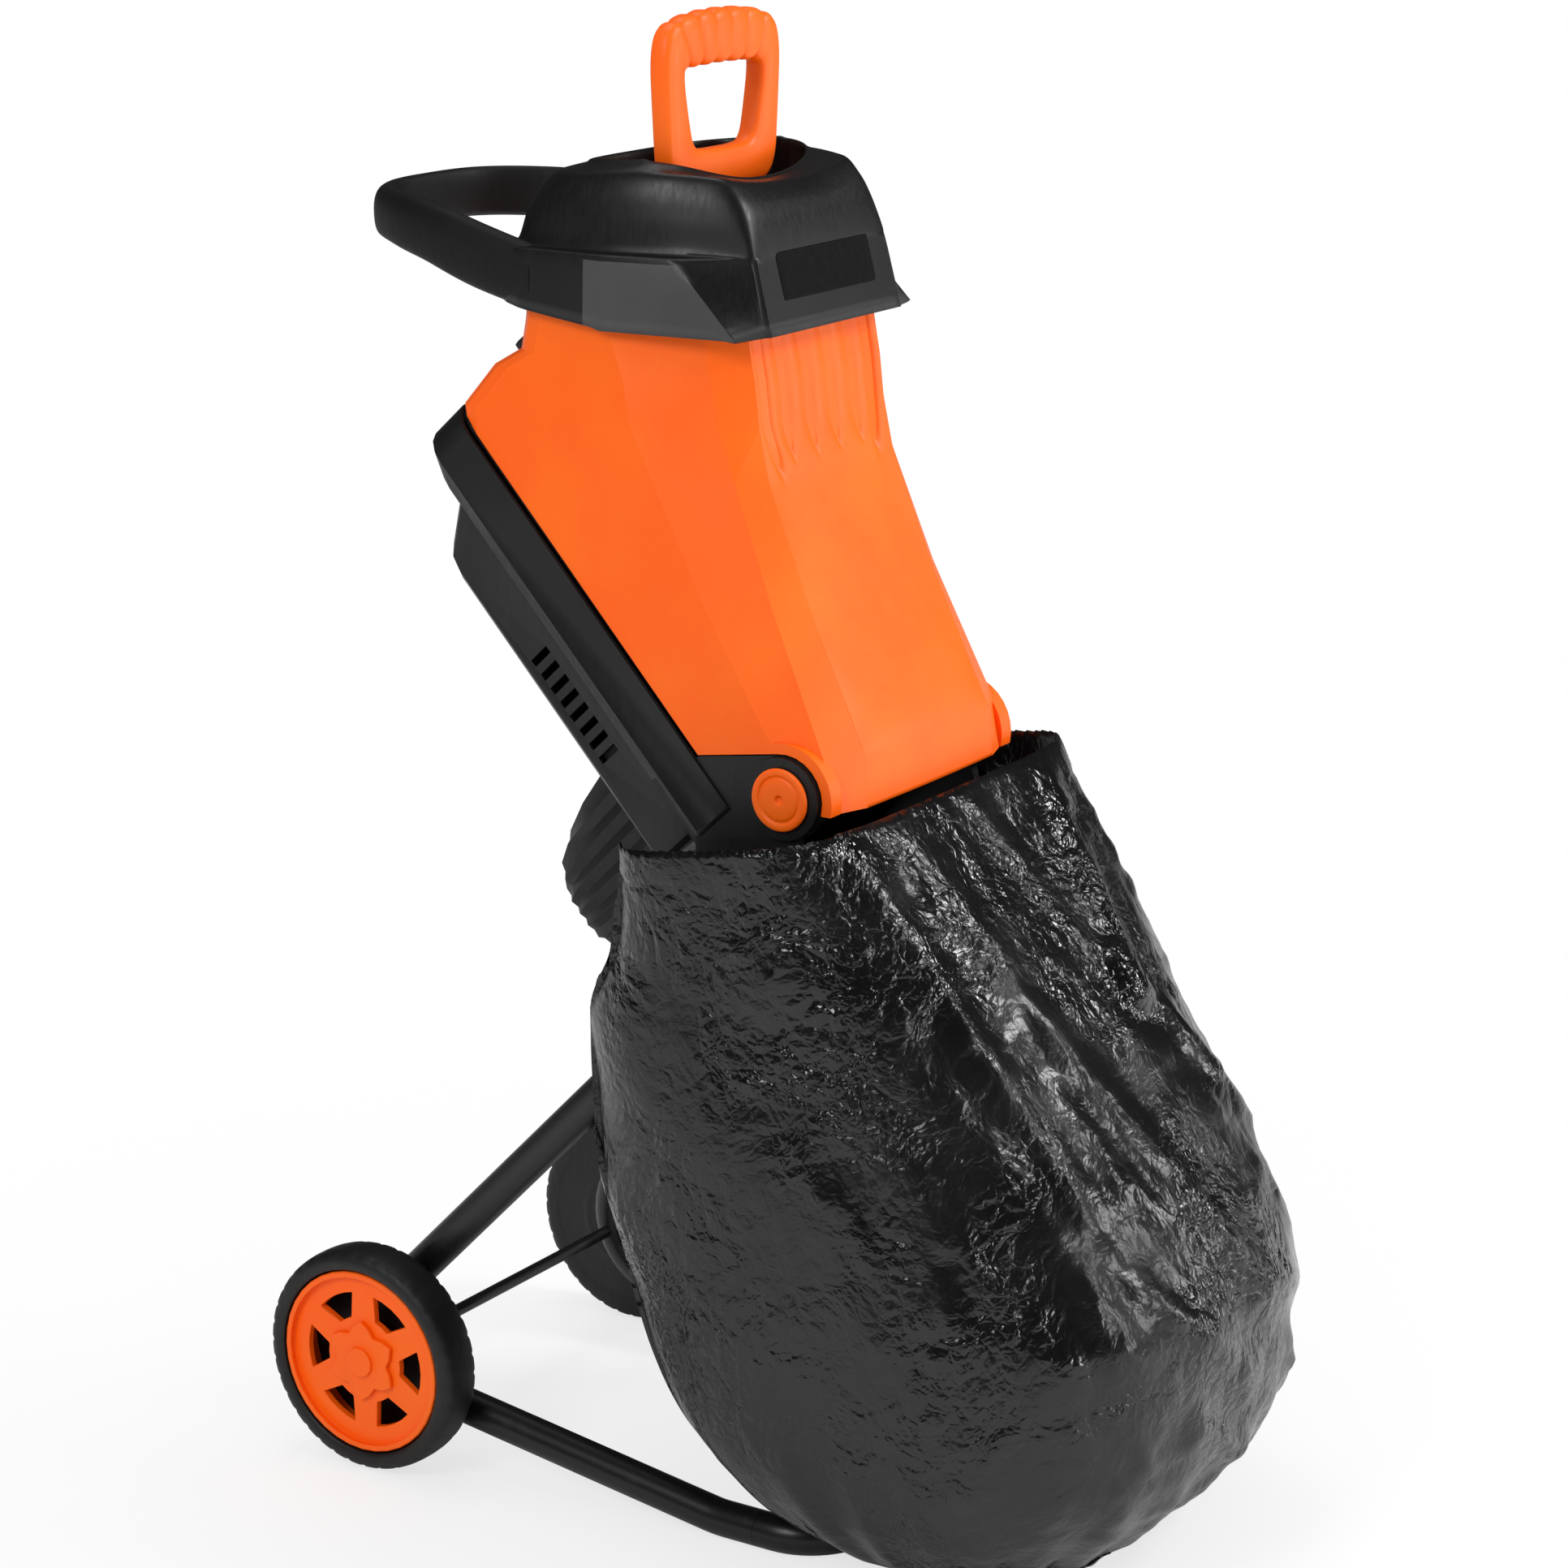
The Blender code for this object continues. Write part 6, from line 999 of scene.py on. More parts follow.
    def mouth(self, row: tuple[float, ...], turn: Array) -> Array:
        """One rounded section of the funnel: a superellipse met at the given angles.

        Args:
            row: z, half width, middle axle_y, half depth and power.
            turn: the angle of each column about the funnel.

        Returns:
            The points.
        """
        z, half, centre, depth, power = row
        across, along = np.sin(turn), np.cos(turn)
        reach = (np.abs(across / half) ** power + np.abs(along / depth) ** power) ** (-1.0 / power)
        ring = np.stack([across * reach, centre + along * reach], axis=1)
        fade = ease(np.array([z]), *self.lip_fade)[0]
        return np.concatenate([ring, z - fade * self.drop(ring, self.lip_side, self.lip_dip)], axis=1)

    def build_shell(self) -> None:
        """Builds the shell from the skirt over the dome and the rim down to the funnel's foot."""
        outer = np.stack([self.outline(row) for row in self.rows])
        for index, times in self.softened:
            for _ in range(times):
                ring = outer[index]
                outer[index] = (np.roll(ring, 1, axis=0) + ring + np.roll(ring, -1, axis=0)) / 3.0
        last = outer[-1]
        turn = np.arctan2(last[:, 0] / 0.09, (last[:, 1] - self.middle_y) / 0.06)
        inner = np.stack([self.mouth(row, turn) for row in self.funnel])
        rings = np.concatenate([outer, inner])
        count = len(rings)
        places = np.linspace(0.0, count - 1.0, self.cuts * (count - 1) + 1)
        flat = rings.reshape(count, -1)
        points = through(flat, places).reshape(len(places), -1, 3)
        low_z = self.rows[0][0]
        band = self.rows[1][0]
        edge = np.interp(points[..., 1], *np.array(self.underside).T) + self.skirt_gap
        edge = np.where(points[..., 1] > self.middle_y, edge, low_z)
        share = (points[..., 2] - low_z) / (band - low_z)
        on_skirt = (np.arange(len(places)) <= self.cuts)[:, None]
        points[..., 2] = np.where(on_skirt, edge + share * (band - edge), points[..., 2])
        points[..., 1] += AXLE_Y
        mesh = grid_mesh("collar_shell", points)
        shell = show(
            "collar_shell", mesh, "hopper_unit", Finish.COLLAR_ABS, ("collar",)
        )
        mesh.materials.append(material_of(Finish.PANEL_PAINTED_HIGHLIGHT))
        centres = np.empty(len(mesh.polygons) * 3)
        mesh.polygons.foreach_get("center", centres)
        x, y, z = centres.reshape(-1, 3).T
        y = y - AXLE_Y
        cheek = np.interp(z, [self.rows[0][0], self.rows[1][0]], [self.rows[0][3], self.rows[1][3]])
        below_band = z < self.rows[1][0] - 0.002
        # The flat side panels below the band take the lighter grey, a painted highlight for the light they
        # catch.
        panel = (np.abs(x) > self.panel_x) & (y < self.panel_rear) & (y > cheek) & below_band
        mesh.polygons.foreach_set("material_index", panel.astype(np.int32))
        wall(shell, self.shell)

    def build_loop(self) -> None:
        """Builds the grip: a soft seven-cornered section carried round a superellipse of power three."""
        centre = self.middle_y
        reach = self.loop_tip - centre
        low_angle = math.asin(((self.loop_start - centre) / reach) ** 1.5)
        angle = np.linspace(low_angle, math.pi - low_angle, self.loop_steps)
        across, along = np.cos(angle), np.sin(angle)
        x = self.loop_half * np.sign(across) * np.abs(across) ** (2.0 / 3.0)
        y = centre + reach * along ** (2.0 / 3.0)
        lean_x = np.sign(across) * np.abs(across) ** (4.0 / 3.0) / self.lean_half
        lean = np.stack([lean_x, along ** (4.0 / 3.0) / reach], axis=1)
        lean /= np.linalg.norm(lean, axis=1, keepdims=True)
        low = np.interp(y, *np.array(self.underside).T)
        high = np.interp(y, *np.array(self.crest).T)
        for _ in range(8):
            low[1:-1] = (low[:-2] + low[1:-1] + low[2:]) / 3.0
            high[1:-1] = (high[:-2] + high[1:-1] + high[2:]) / 3.0
        thick, soft = self.loop_thickness, self.loop_soft
        depth = np.array([0.0, 0.0, thick - soft, thick, thick, thick - soft, soft])
        outer_top = high - self.loop_slope
        height = np.stack([low + soft, outer_top, high, high - soft, low + soft, low, low], axis=1)
        section = np.stack([np.broadcast_to(depth, height.shape), height], axis=-1)
        section = soften(section, 3)
        inwards, up = section[..., 0], section[..., 1]
        points_x = x[:, None] - lean[:, :1] * inwards
        points_y = y[:, None] - lean[:, 1:] * inwards + AXLE_Y
        mesh = grid_mesh("handle_loop_grip", np.stack([points_x, points_y, up], axis=-1), ends=True)
        show("handle_loop_grip", mesh, "hopper_unit", Finish.SOFT_GRIP, ("collar",))

    def build_label(self) -> None:
        """Builds the bare label field, a thin plate that follows the slope of the front."""
        low, high = self.label_z
        x = np.linspace(-self.label_half, self.label_half, 40)
        z = np.linspace(low, high, 14)
        levels = np.array([self.rows[index][:2] for index in (0, 1, 3)])
        front = np.interp(z, levels[:, 0], levels[:, 1])
        grid_x, grid_z = np.meshgrid(x, z)
        across = np.abs(grid_x) / self.label_half
        round_off = np.maximum(across, np.abs(grid_z - (low + high) / 2.0) / ((high - low) / 2.0))
        y = front[:, None] - self.label_rise * (1.0 - round_off**24) + AXLE_Y + self.label_sink
        mesh = grid_mesh("label_field", np.stack([grid_x, y, grid_z], axis=-1), round_columns=False)
        plate = show("label_field", mesh, "hopper_unit", Finish.LABEL_ABS)
        wall(plate, self.label_wall)

    def build(self) -> None:
        """Builds the collar's three pieces."""
        self.build_shell()
        self.build_loop()
        self.build_label()


@dataclass
class TubeFrame:
    """The two bent side tubes and the bar that joins them on the floor."""

    radius: float = 0.014
    across: float = 0.145
    strut_top: Pair = (-0.372, 0.512)
    corner: Pair = (0.066817, 0.067613)
    rail_floor: Pair = (-0.300, 0.014)
    rail_end: Pair = (-0.3377, 0.014)
    strut_bend: float = 0.058
    rail_bend: float = 0.10
    bar_y: float = -0.400
    bar_end: float = -0.3380
    bar_bend: float = 0.050

    def build(self) -> None:
        """Sweeps the tubes along their rounded routes."""
        corners = [self.strut_top, self.corner, self.rail_floor, self.rail_end]
        side_line = route(corners, [self.strut_bend, self.rail_bend])
        for name, side in (("left", -1.0), ("right", 1.0)):
            x = np.full(len(side_line), side * self.across)
            line = np.stack([x, side_line[:, 0] + AXLE_Y, side_line[:, 1]], axis=1)
            piece = f"side_tube_{name}"
            mesh = swept_tube(piece, line, np.array([1.0, 0.0, 0.0]), self.radius)
            show(piece, mesh, "machine", Finish.COAT, (f"frame_tube_{name}",))
        half = [(self.across, self.bar_end), (self.across, self.bar_y)]
        flat = route(half + [(-x, y) for x, y in reversed(half)], [self.bar_bend, self.bar_bend])
        line = np.stack([flat[:, 0], flat[:, 1] + AXLE_Y, np.full(len(flat), self.radius)], axis=1)
        mesh = swept_tube("front_bar", line, np.array([0.0, 0.0, 1.0]), self.radius)
        show("front_bar", mesh, "machine", Finish.COAT, ("base_bar",))


@dataclass
class Wheels:
    """The black treads of the two wheels, with shallow cross grooves and a closed back with raised rings."""

    centre_z: float = 0.090
    outer_x: float = 0.202
    width: float = 0.038
    radius: float = 0.0898
    seat: float = 0.0741
    hub: float = 0.0165
    back: float = 0.0017
    grooves: int = 36
    groove_depth: float = 0.0011
    steps_each: int = 5
    shoulder_x: Pair = (0.009, 0.015)
    shoulder_radius: Pair = (0.082, 0.0875)

    def build(self) -> None:
        """Turns each tread from a softened outline and dents it at every groove."""
        inner_x = self.outer_x - self.width
        outline = soften(
            np.array(
                [
                    (self.outer_x, self.seat + 0.003),
                    (self.outer_x, self.radius - 0.006),
                    (self.outer_x - 0.005, self.radius),
                    (inner_x + 0.005, self.radius),
                    (inner_x, self.radius - 0.006),
                    (inner_x, self.seat),
                    (inner_x + self.back * 0.3, self.seat - 0.002),
                    (inner_x + self.back * 0.3, 0.046),
                    (inner_x, 0.044),
                    (inner_x, 0.041),
                    (inner_x + self.back * 0.3, 0.039),
                    (inner_x + self.back * 0.3, 0.024),
                    (inner_x, 0.022),
                    (inner_x, self.hub),
                    (inner_x + self.back, self.hub),
                    (inner_x + self.back, self.seat - 0.001),
                    (inner_x + self.back, self.seat),
                    (self.outer_x - 0.003, self.seat),
                ]
            ),
            2,
        )
        steps = self.grooves * self.steps_each
        groove = (np.arange(steps) % self.steps_each == 0)[:, None]
        middle = (self.outer_x + inner_x) / 2.0
        beside = ease(np.abs(outline[:, 0] - middle), *self.shoulder_x)
        shoulder = beside * ease(outline[:, 1], *self.shoulder_radius)
        for name, side in (("left", -1.0), ("right", 1.0)):
            piece = f"wheel_tread_{name}"
            dent = self.groove_depth * groove * shoulder[None, :]
            mesh = turned_mesh(piece, outline * [side, 1.0], (0.0, AXLE_Y, self.centre_z), steps, dent)
            show(piece, mesh, f"wheel_{name}", Finish.TREAD, (f"tyre_{name}",))


@dataclass
class HingeCaps:
    """The two orange caps on the hinge, with a stepped ring and a small dimple."""

    centre: Pair = (-0.347, 0.580)
    face_x: float = 0.1359
    seat_x: float = 0.1323
    axis_gap: float = 0.0006
    steps: int = 72

    def build(self) -> None:
        """Turns each cap from its stepped outline.

        The outline starts a small gap off the axis, and the gap is taken off again once it is softened, so
        that the cap closes in one point.
        """
        corners = [
            (self.seat_x, self.axis_gap),
            (self.seat_x, 0.0235),
            (self.face_x - 0.0016, 0.0243),
            (self.face_x - 0.0003, 0.0232),
            (self.face_x, 0.0215),
            (self.face_x - 0.0002, 0.0190),
            (self.face_x - 0.0014, 0.0180),
            (self.face_x - 0.0014, 0.0165),
            (self.face_x - 0.0004, 0.0155),
            (self.face_x - 0.0003, 0.0060),
            (self.face_x - 0.0006, 0.0038),
            (self.face_x - 0.0028, 0.0030),
            (self.face_x - 0.0028, self.axis_gap),
        ]
        outline = soften(np.array(corners), 2)
        outline[:, 1] = np.maximum(outline[:, 1] - self.axis_gap, 0.0)
        for name, side in (("left", -1.0), ("right", 1.0)):
            piece = f"hinge_cap_face_{name}"
            centre = (0.0, self.centre[0] + AXLE_Y, self.centre[1])
            mesh = turned_mesh(piece, outline * [side, 1.0], centre, self.steps)
            show(piece, mesh, "machine", Finish.ORANGE_PP, (f"hinge_cap_{name}",))


@dataclass
class HopperFront:
    """The orange front face: a smooth sweep between its two creases, with a fluted recess under the collar.

    Each level holds z, half width and axle_y of the crease.
    """

    levels: tuple[Triple, ...] = (
        (0.5710, 0.08930, -0.3939),
        (0.6100, 0.0880, -0.3900),
        (0.7100, 0.0860, -0.3420),
        (0.8000, 0.0850, -0.3060),
        (0.8371, 0.0850, -0.2980),
        (0.8689, 0.0850, -0.2945),
        (0.8822, 0.0850, -0.2920),
        (0.9050, 0.0850, -0.2880),
        (0.9450, 0.0850, -0.2850),
    )
    crown: float = 0.0015
    recess_half: float = 0.0735
    recess_depth: float = 0.0048
    ridge_pitch: float = 0.0310
    ridge_height: float = 0.0034
    line_depth: float = 0.0026
    groove_depth: float = 0.0075
    groove_width: float = 0.0046
    recess_foot: float = 0.803
    foot_fade: float = 0.030
    scallop: float = 0.006
    narrowing: float = 0.007
    skin: float = 0.0006
    columns: int = 210
    rows: int = 120

    def crease(self, z: Array) -> tuple[Array, Array]:
        """Half width and axle_y of the crease at heights, on straight lines between the levels."""
        level = np.array(self.levels)
        return np.interp(z, level[:, 0], level[:, 1]), np.interp(z, level[:, 0], level[:, 2])

    def covers(self, centre: Array, facing: Array) -> Array:
        """Which packed faces this piece stands for: those of the outer front between the creases.

        Args:
            centre: the faces' middles.
            facing: their normals.

        Returns:
            True for each such face.
        """
        half, front = self.crease(centre[:, 2])
        inside = (centre[:, 2] > self.levels[0][0]) & (centre[:, 2] < self.levels[-1][0])
        near = centre[:, 1] - AXLE_Y < front + 0.0036
        return inside & near & (np.abs(centre[:, 0]) < half + 0.0004) & (facing[:, 1] < 0.3)

    def depth(self, x: Array, z: Array) -> Array:
        """How deep the recess is: round ridges with sharp lines between, and a groove at each side.

        The recess narrows and fades out at its foot, where each flute ends in a scallop.

        Args:
            x: places across.
            z: heights.

        Returns:
            The depth at each place.
        """
        wave = np.abs(np.cos(math.pi * x / self.ridge_pitch))
        fade = ease(z - self.scallop * wave, self.recess_foot, self.recess_foot + self.foot_fade)
        side = self.recess_half - self.narrowing * ease(-z, -0.845, -0.800)
        inside = 1.0 - ease(np.abs(x), side - 0.001, side + 0.0035)
        ridges = self.ridge_height * (1.0 - wave**0.8) + self.line_depth * np.exp(-((wave / 0.26) ** 2))
        groove = self.groove_depth * np.exp(-(((np.abs(x) - side + 0.001) / self.groove_width) ** 2))
        tip = ease(z, self.recess_foot - 0.012, self.recess_foot + 0.020)
        return inside * fade * (self.recess_depth - self.ridge_height + ridges) + groove * tip

    def build(self) -> None:
        """Builds the face and gives it a thin wall."""
        level = np.array(self.levels)
        tall = through(level, np.linspace(0.0, len(level) - 1.0, self.rows))
        z = tall[:, :1]
        share = np.linspace(-1.0, 1.0, self.columns)[None, :]
        half, front = self.crease(z)
        inner = 1.0 - share**8
        x = half * share
        y = front + inner * (tall[:, 2:] - front) - self.crown * (1.0 - share**2)
        y = y + self.depth(x, z) * ease(1.0 - np.abs(share), 0.0, 0.04)
        points = np.stack([x, y + AXLE_Y, np.broadcast_to(z, x.shape)], axis=-1)
        mesh = grid_mesh("hopper_front", points, round_columns=False)
        if mesh.polygons[0].normal.y > 0.0:
            mesh.flip_normals()
        face = show("hopper_front", mesh, "hopper_unit", Finish.ORANGE_PP, ("hopper",))
        wall(face, self.skin)


@dataclass
class PlungerGrip:
    """The orange grip of the plunger: a rounded frame with a finger-grooved bar across its top.

    outer and window hold x and z down the right half of the frame's two outlines.
    """

    plane_y: float = -0.205
    half_thickness: float = 0.010
    top: float = 1.1258
    foot: float = 0.996
    groove_pitch: float = 0.0195
    groove_share: float = 0.16
    bar_z: Pair = (1.094, 1.100)
    bar_x: Pair = (0.050, 0.056)
    sides: int = 28
    outer: tuple[Pair, ...] = (
        (0.0, 1.1262),
        (0.036, 1.1246),
        (0.066, 1.1190),
        (0.0755, 1.1000),
        (0.0735, 1.0560),
        (0.0690, 0.9960),
        (0.030, 0.9960),
        (0.0, 0.9960),
    )
    window: tuple[Pair, ...] = (
        (0.0, 1.0860),
        (0.030, 1.0850),
        (0.0490, 1.0850),
        (0.0510, 1.0760),
        (0.0450, 1.0500),
        (0.0380, 1.0270),
        (0.018, 1.0250),
        (0.0, 1.0250),
    )

    def covers(self, centre: Array, facing: Array) -> Array:
        """Which packed faces this piece stands for: those of the frame above its foot.

        Args:
            centre: the faces' middles.
            facing: their normals, which make no difference here.

        Returns:
            True for each such face.
        """
        return centre[:, 2] > self.foot + 0.002

    def ring(self, half: tuple[Pair, ...]) -> Array:
        """The whole rounded outline from its right half.

        Args:
            half: corners down the right half.

        Returns:
            The points of the outline.
        """
        right = np.array(half)
        corners = np.concatenate([right, right[-2:0:-1] * [-1.0, 1.0]])
        return soften(corners, 4)

    def build(self) -> None:
        """Carries a rounded section round the frame, pinched at each finger groove of the bar.

        Between an outer and an inner outline the section is a superellipse of power 3.3 whose width joins the
        two; it shrinks by a share at the grooves, where |cos| of the place across the bar is nought.
        """
        outer, inner = self.ring(self.outer), self.ring(self.window)
        middle, reach = (outer + inner) / 2.0, (outer - inner) / 2.0
        x = middle[:, 0]
        on_bar = ease(middle[:, 1], *self.bar_z) * ease(-np.abs(x), -self.bar_x[1], -self.bar_x[0])
        fingers = np.abs(np.cos(math.pi * x / self.groove_pitch)) ** 0.45
        pinch = 1.0 - on_bar * self.groove_share * (1.0 - fingers)
        turn = np.linspace(0.0, 2.0 * math.pi, self.sides, endpoint=False)[None, :]
        side = np.sign(np.cos(turn)) * np.abs(np.cos(turn)) ** 0.6
        deep = np.sign(np.sin(turn)) * np.abs(np.sin(turn)) ** 0.6
        flat = middle[:, None] + reach[:, None] * (side * pinch[:, None])[..., None]
        depth = self.plane_y + AXLE_Y + self.half_thickness * deep * pinch[:, None]
        points = np.stack([flat[..., 0], depth, np.minimum(flat[..., 1], self.top)], axis=-1)
        mesh = grid_mesh("plunger_grip", points, round_rows=True)
        show("plunger_grip", mesh, "plunger_unit", Finish.ORANGE_PP, ("plunger",))


@dataclass
class Mouldings:
    """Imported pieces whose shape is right: each is copied, welded and given the soft edges of a moulding.

    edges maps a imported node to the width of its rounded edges, in millimetres. fine_angle gives the pieces
    whose shallow creases stay crisp the angle in degrees from which a crease counts as an edge. shared maps a
    node to the new piece that shows some of its faces.
    """

    weld: float = 2e-5
    flat_angle: float = 0.6
    shared: dict[str, HopperFront | PlungerGrip] = field(
        default_factory=lambda: {"hopper": HopperFront(), "plunger": PlungerGrip()}
    )
    fine_angle: dict[str, float] = field(
        default_factory=lambda: {"hopper": 9.0, "base_housing": 24.0, "drive_cover": 18.0, "plunger": 18.0}
    )
    edges: dict[str, float] = field(
        default_factory=lambda: {
            "hopper": 1.6,
            "plunger": 2.4,
            "base_housing": 1.6,
            "drive_cover": 1.4,
            "motor_cowl": 0.9,
            "chamber_cover": 0.6,
            "feed_chute": 0.6,
            "switch_box": 1.4,
            "clamp_knob": 1.2,
            "power_inlet": 0.5,
            "start_button": 0.7,
            "stop_button": 0.7,
            "reset_button": 0.5,
            "strut_socket_left": 1.4,
            "strut_socket_right": 1.4,
            "wheel_rim_left": 0.7,
            "wheel_rim_right": 0.7,
            "hub_cap_left": 0.9,
            "hub_cap_right": 0.9,
            "axle_spacer_left": 0.5,
            "axle_spacer_right": 0.5,
        }
    )

    def mark_edges(self, bm: bmesh.types.BMesh, edge_angle: float) -> None:
        """Shades a piece smooth but for its edges, and weights those for rounding.

        An edge counts from edge_angle if it runs upwards, and from the general angle in any direction, so the
        level joints of a swept wall stay smooth.

        Args:
            bm: the piece.
            edge_angle: the angle in radians.
        """
        weight = bm.edges.layers.float.new("bevel_weight_edge")
        for face in bm.faces:
            face.smooth = True
        for edge in bm.edges:
            if len(edge.link_faces) != 2:
                continue
            bend = edge.calc_face_angle(0.0)
            run = edge.verts[1].co - edge.verts[0].co
            upward = abs(run.z) > 0.5 * run.length
            if bend > SHARP or (upward and bend > edge_angle):
                edge.smooth = False
                edge[weight] = 1.0

    def leave_out(self, bm: bmesh.types.BMesh, node: str) -> None:
        """Takes out of a copied piece the faces that a piece of its own stands for.

        Args:
            bm: the copied piece.
            node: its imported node.
        """
        bm.faces.ensure_lookup_table()
        centre = np.array([face.calc_center_median() for face in bm.faces])
        facing = np.array([face.normal for face in bm.faces])
        gone = [bm.faces[index] for index in np.flatnonzero(self.shared[node].covers(centre, facing))]
        bmesh.ops.delete(bm, geom=gone, context="FACES")
        log.info("%s: %d faces left to their own piece", node, len(gone))

    def build(self) -> None:
        """Copies each piece, dissolves its flat splits and rounds its edges."""
        slots = {part["node"]: part["material_slot"] for part in frame["record"]["subparts"]}
        bodies = frame["record"]["behaviour"]["bodies"]
        riders = {node: body for body, nodes in bodies.items() for node in nodes}
        for node, width in self.edges.items():
            source = frame["nodes"][node]
            mesh = source.data.copy()
            mesh.name = f"{node}_moulding"
            bm = bmesh.new()
            bm.from_mesh(mesh)
            bmesh.ops.remove_doubles(bm, verts=bm.verts, dist=self.weld)
            flat = math.radians(self.flat_angle)
            bmesh.ops.dissolve_limit(bm, angle_limit=flat, verts=bm.verts, edges=bm.edges)
            if node in self.shared:
                self.leave_out(bm, node)
            self.mark_edges(bm, math.radians(self.fine_angle[node]) if node in self.fine_angle else SHARP)
            bm.to_mesh(mesh)
            bm.free()
            slot = slots[node]
            piece = show(f"{node}_moulding", mesh, riders[node], SLOT_FINISH[slot], (node,))
            bevel = piece.modifiers.new("soft_edges", "BEVEL")
            bevel.width = width * MM
            bevel.segments = 2
            bevel.limit_method = "WEIGHT"
            bevel.use_clamp_overlap = True
            bevel.harden_normals = True
            bevel.miter_outer = "MITER_ARC"


def dress_frame() -> None:
    """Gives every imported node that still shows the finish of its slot."""
    for part in frame["record"]["subparts"]:
        node = frame["nodes"][part["node"]]
        if node.hide_render:
            continue
        finish = SLOT_FINISH[part["material_slot"]]
        node.data.materials.clear()
        node.data.materials.append(material_of(finish))
        node.data.polygons.foreach_set("material_index", np.zeros(len(node.data.polygons), dtype=np.int32))


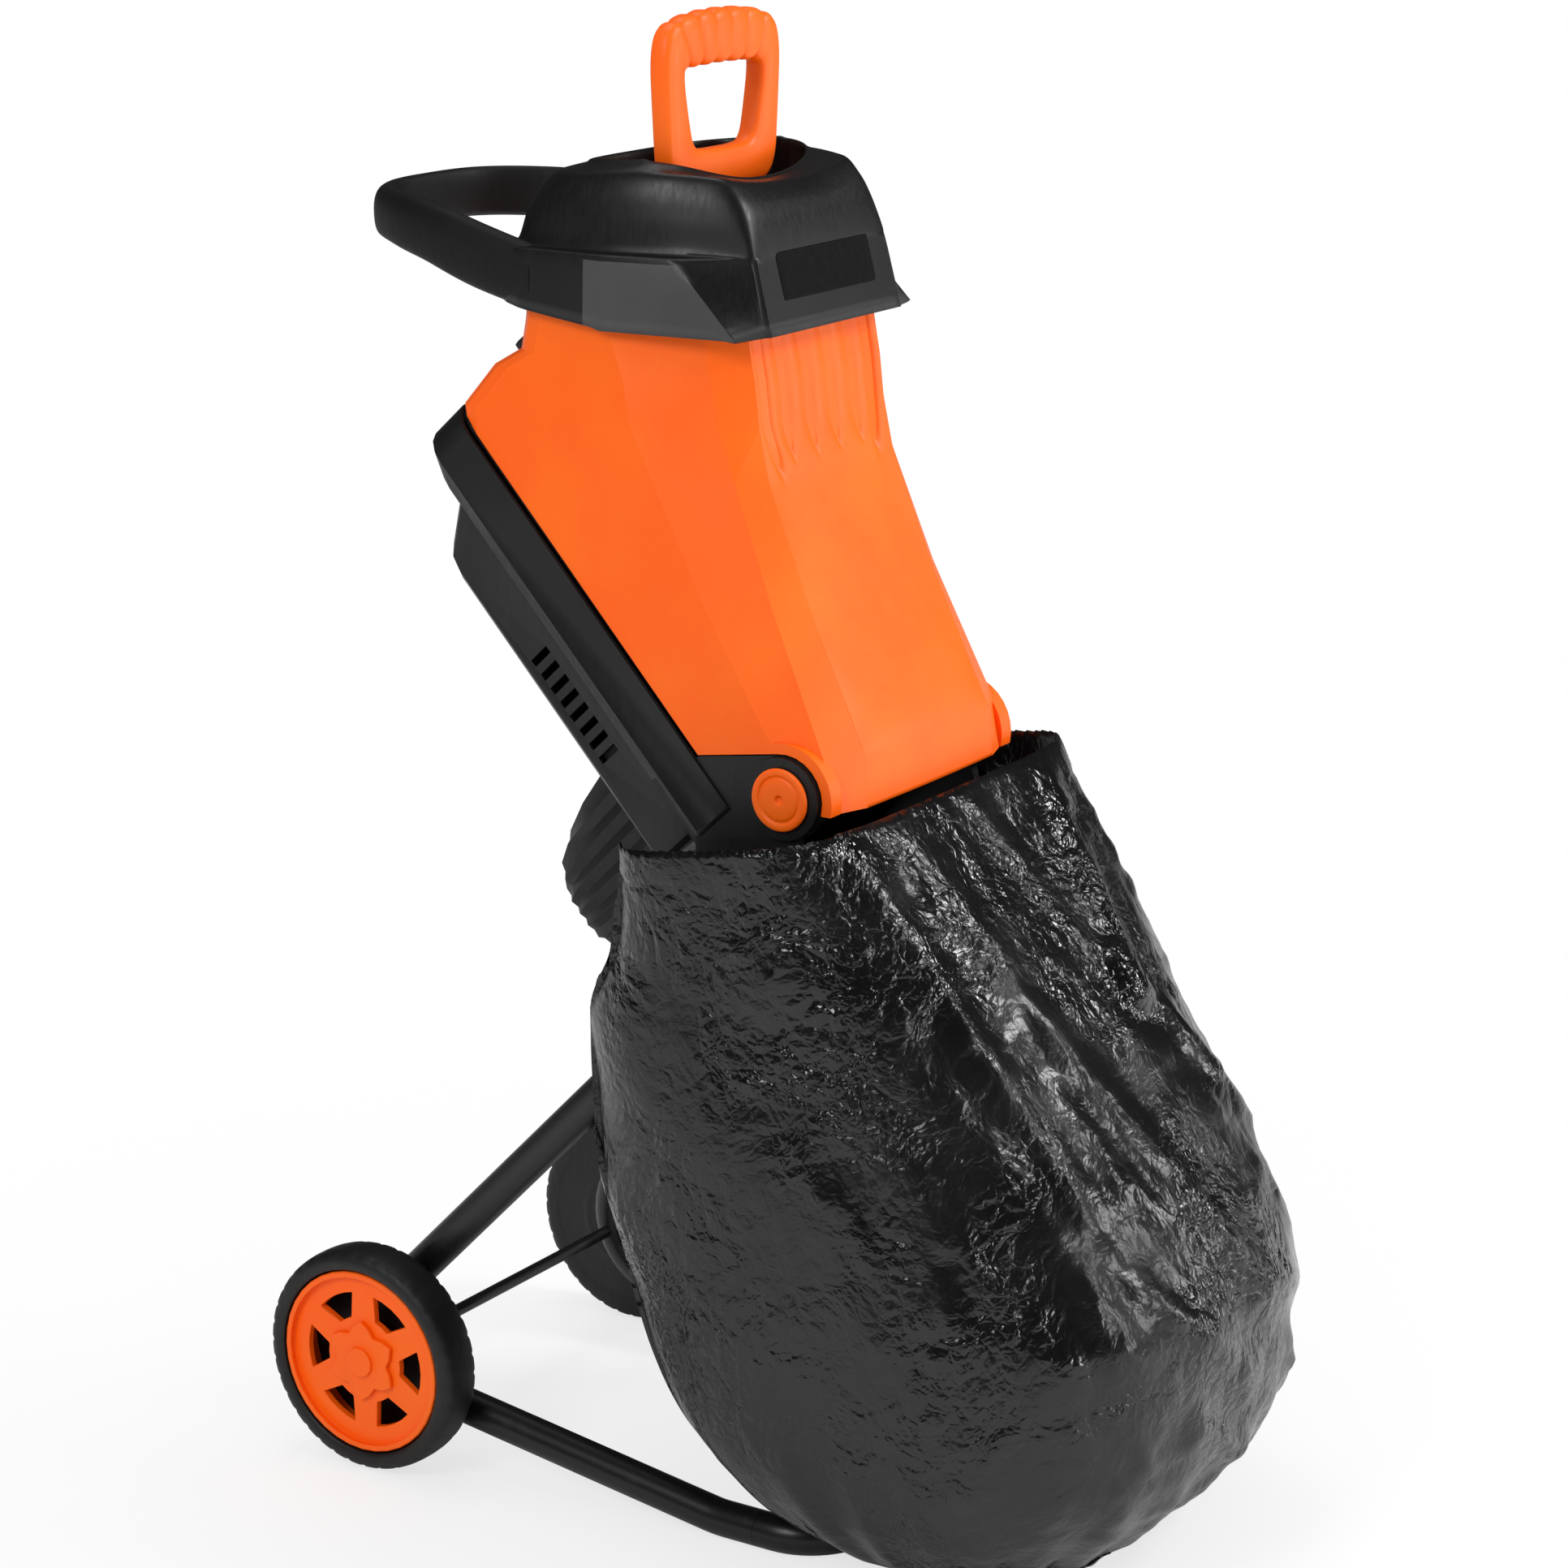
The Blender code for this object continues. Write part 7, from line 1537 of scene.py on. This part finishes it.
@dataclass
class Studio:
    """The pale floor, the soft lamps and the camera of the photograph.

    Each row of lamps holds a name, a place, the width and height of the lamp and its power in watts.
    """

    eye: Triple = (-2.569, -1.928, 1.377)
    right: Triple = (0.5436, -0.8393, 0.0)
    up: Triple = (0.2191, 0.1419, 0.9653)
    look: Triple = (0.8102, 0.5248, -0.2610)
    lens: float = 96.418
    sensor: float = 36.0
    target: Triple = (0.0, 0.0, 0.55)
    clip: Pair = (0.05, 100.0)
    lamps: tuple[tuple[str, Triple, Pair, float], ...] = (
        ("key_box", (1.5, -2.3, 2.7), (0.8, 0.8), 52.0),
        ("right_strip", (2.3, -2.3, 0.9), (0.20, 0.9), 11.0),
        ("front_strip", (0.8, -3.0, 1.3), (0.22, 1.0), 15.0),
        ("low_strip", (-0.3, -3.2, 0.6), (0.20, 0.7), 14.0),
        ("left_box", (-3.2, 0.2, 2.7), (1.1, 1.1), 46.0),
        ("top_box", (0.2, 0.5, 3.3), (1.4, 1.4), 18.0),
    )
    floor_colour: str = "#f4f4f4"
    floor_roughness: float = 0.9
    floor_radius: float = 30.0
    floor_steps: int = 96
    floor_drop: float = 0.0004
    shadow_reach: Pair = (0.35, 1.1)
    whiteness: Pair = (0.72, 1.0)
    sky: float = 0.56
    mirrored_sky: float = 0.05

    def build_floor(self) -> None:
        """A wide disc of floor that turns white to the camera away from the machine, and keeps its shadow."""
        angle = np.linspace(0.0, 2.0 * math.pi, self.floor_steps, endpoint=False)
        x, y = self.floor_radius * np.cos(angle), self.floor_radius * np.sin(angle)
        edge = np.stack([x, y, np.full(self.floor_steps, -self.floor_drop)], axis=1)
        mesh = bpy.data.meshes.new("floor")
        mesh.from_pydata(edge.tolist(), [], [list(range(self.floor_steps))])
        floor = bpy.data.objects.new("floor", mesh)
        bpy.context.scene.collection.objects.link(floor)
        material, tree, shader, place = blank("pale_studio_floor")
        shader.inputs["Base Color"].default_value = linear(self.floor_colour)
        shader.inputs["Roughness"].default_value = self.floor_roughness
        to_camera = put(tree, "ShaderNodeLightPath").outputs["Is Camera Ray"]
        reach = put(tree, "ShaderNodeVectorMath", {"operation": "LENGTH"}, {0: place}).outputs["Value"]
        seen = combine(tree, "MULTIPLY", to_camera, fit_range(tree, reach, self.shadow_reach, self.whiteness))
        white = put(tree, "ShaderNodeEmission", {"Color": WHITE, "Strength": 1.0}).outputs[0]
        mixed = put(tree, "ShaderNodeMixShader", {}, {0: seen, 1: shader.outputs[0], 2: white}).outputs[0]
        tree.links.new(mixed, tree.nodes["Material Output"].inputs["Surface"])
        mesh.materials.append(material)

    def build_world(self) -> None:
        """A soft grey sky that lights the machine, is white to the camera and nearly dark in reflections."""
        world = bpy.data.worlds.new("studio")
        bpy.context.scene.world = world
        world.use_nodes = True
        tree = world.node_tree
        back = tree.nodes["Background"]
        back.inputs["Color"].default_value = WHITE
        ray = put(tree, "ShaderNodeLightPath")
        lit = fit_range(tree, ray.outputs["Is Glossy Ray"], (0.0, 1.0), (self.sky, self.mirrored_sky))
        seen = combine(tree, "MAXIMUM", lit, ray.outputs["Is Camera Ray"])
        tree.links.new(seen, back.inputs["Strength"])

    def add_lamp(self, name: str, place: Triple, size: Pair, power: float) -> None:
        """Adds a soft box that faces the middle of the machine.

        Args:
            name: the lamp's name.
            place: where it stands.
            size: its width and height.
            power: its power in watts.
        """
        lamp = bpy.data.lights.new(name, "AREA")
        lamp.shape = "RECTANGLE"
        lamp.size, lamp.size_y = size
        lamp.energy = power
        holder = bpy.data.objects.new(name, lamp)
        bpy.context.scene.collection.objects.link(holder)
        holder.location = place
        aim = Vector(self.target) - Vector(place)
        holder.rotation_euler = aim.to_track_quat("-Z", "Y").to_euler()

    def build_camera(self) -> None:
        """The photograph's camera, from its solved place and axes."""
        camera = bpy.data.cameras.new("photograph")
        camera.lens = self.lens
        camera.sensor_width = self.sensor
        camera.sensor_fit = "HORIZONTAL"
        camera.clip_start, camera.clip_end = self.clip
        holder = bpy.data.objects.new("photograph", camera)
        bpy.context.scene.collection.objects.link(holder)
        axes = Matrix((self.right, self.up, tuple(-value for value in self.look))).transposed().to_4x4()
        eye = Vector(self.eye) + Vector((0.0, AXLE_Y, 0.0))
        holder.matrix_world = Matrix.Translation(eye) @ axes
        bpy.context.scene.camera = holder

    def build(self) -> None:
        """Builds floor, sky, lamps and camera."""
        self.build_floor()
        self.build_world()
        for lamp in self.lamps:
            self.add_lamp(*lamp)
        self.build_camera()
        bpy.context.scene.view_settings.view_transform = "Standard"


def main() -> None:
    """Builds the looks of the whole machine, piece by piece, and the studio round it."""
    logging.basicConfig(level=logging.INFO, format="%(name)s: %(message)s")
    Studio().build()
    CatchBag().build()
    Collar().build()
    TubeFrame().build()
    Wheels().build()
    HingeCaps().build()
    Mouldings().build()
    HopperFront().build()
    PlungerGrip().build()
    dress_frame()
    bpy.context.view_layer.update()


if __name__ == "__main__":
    main()
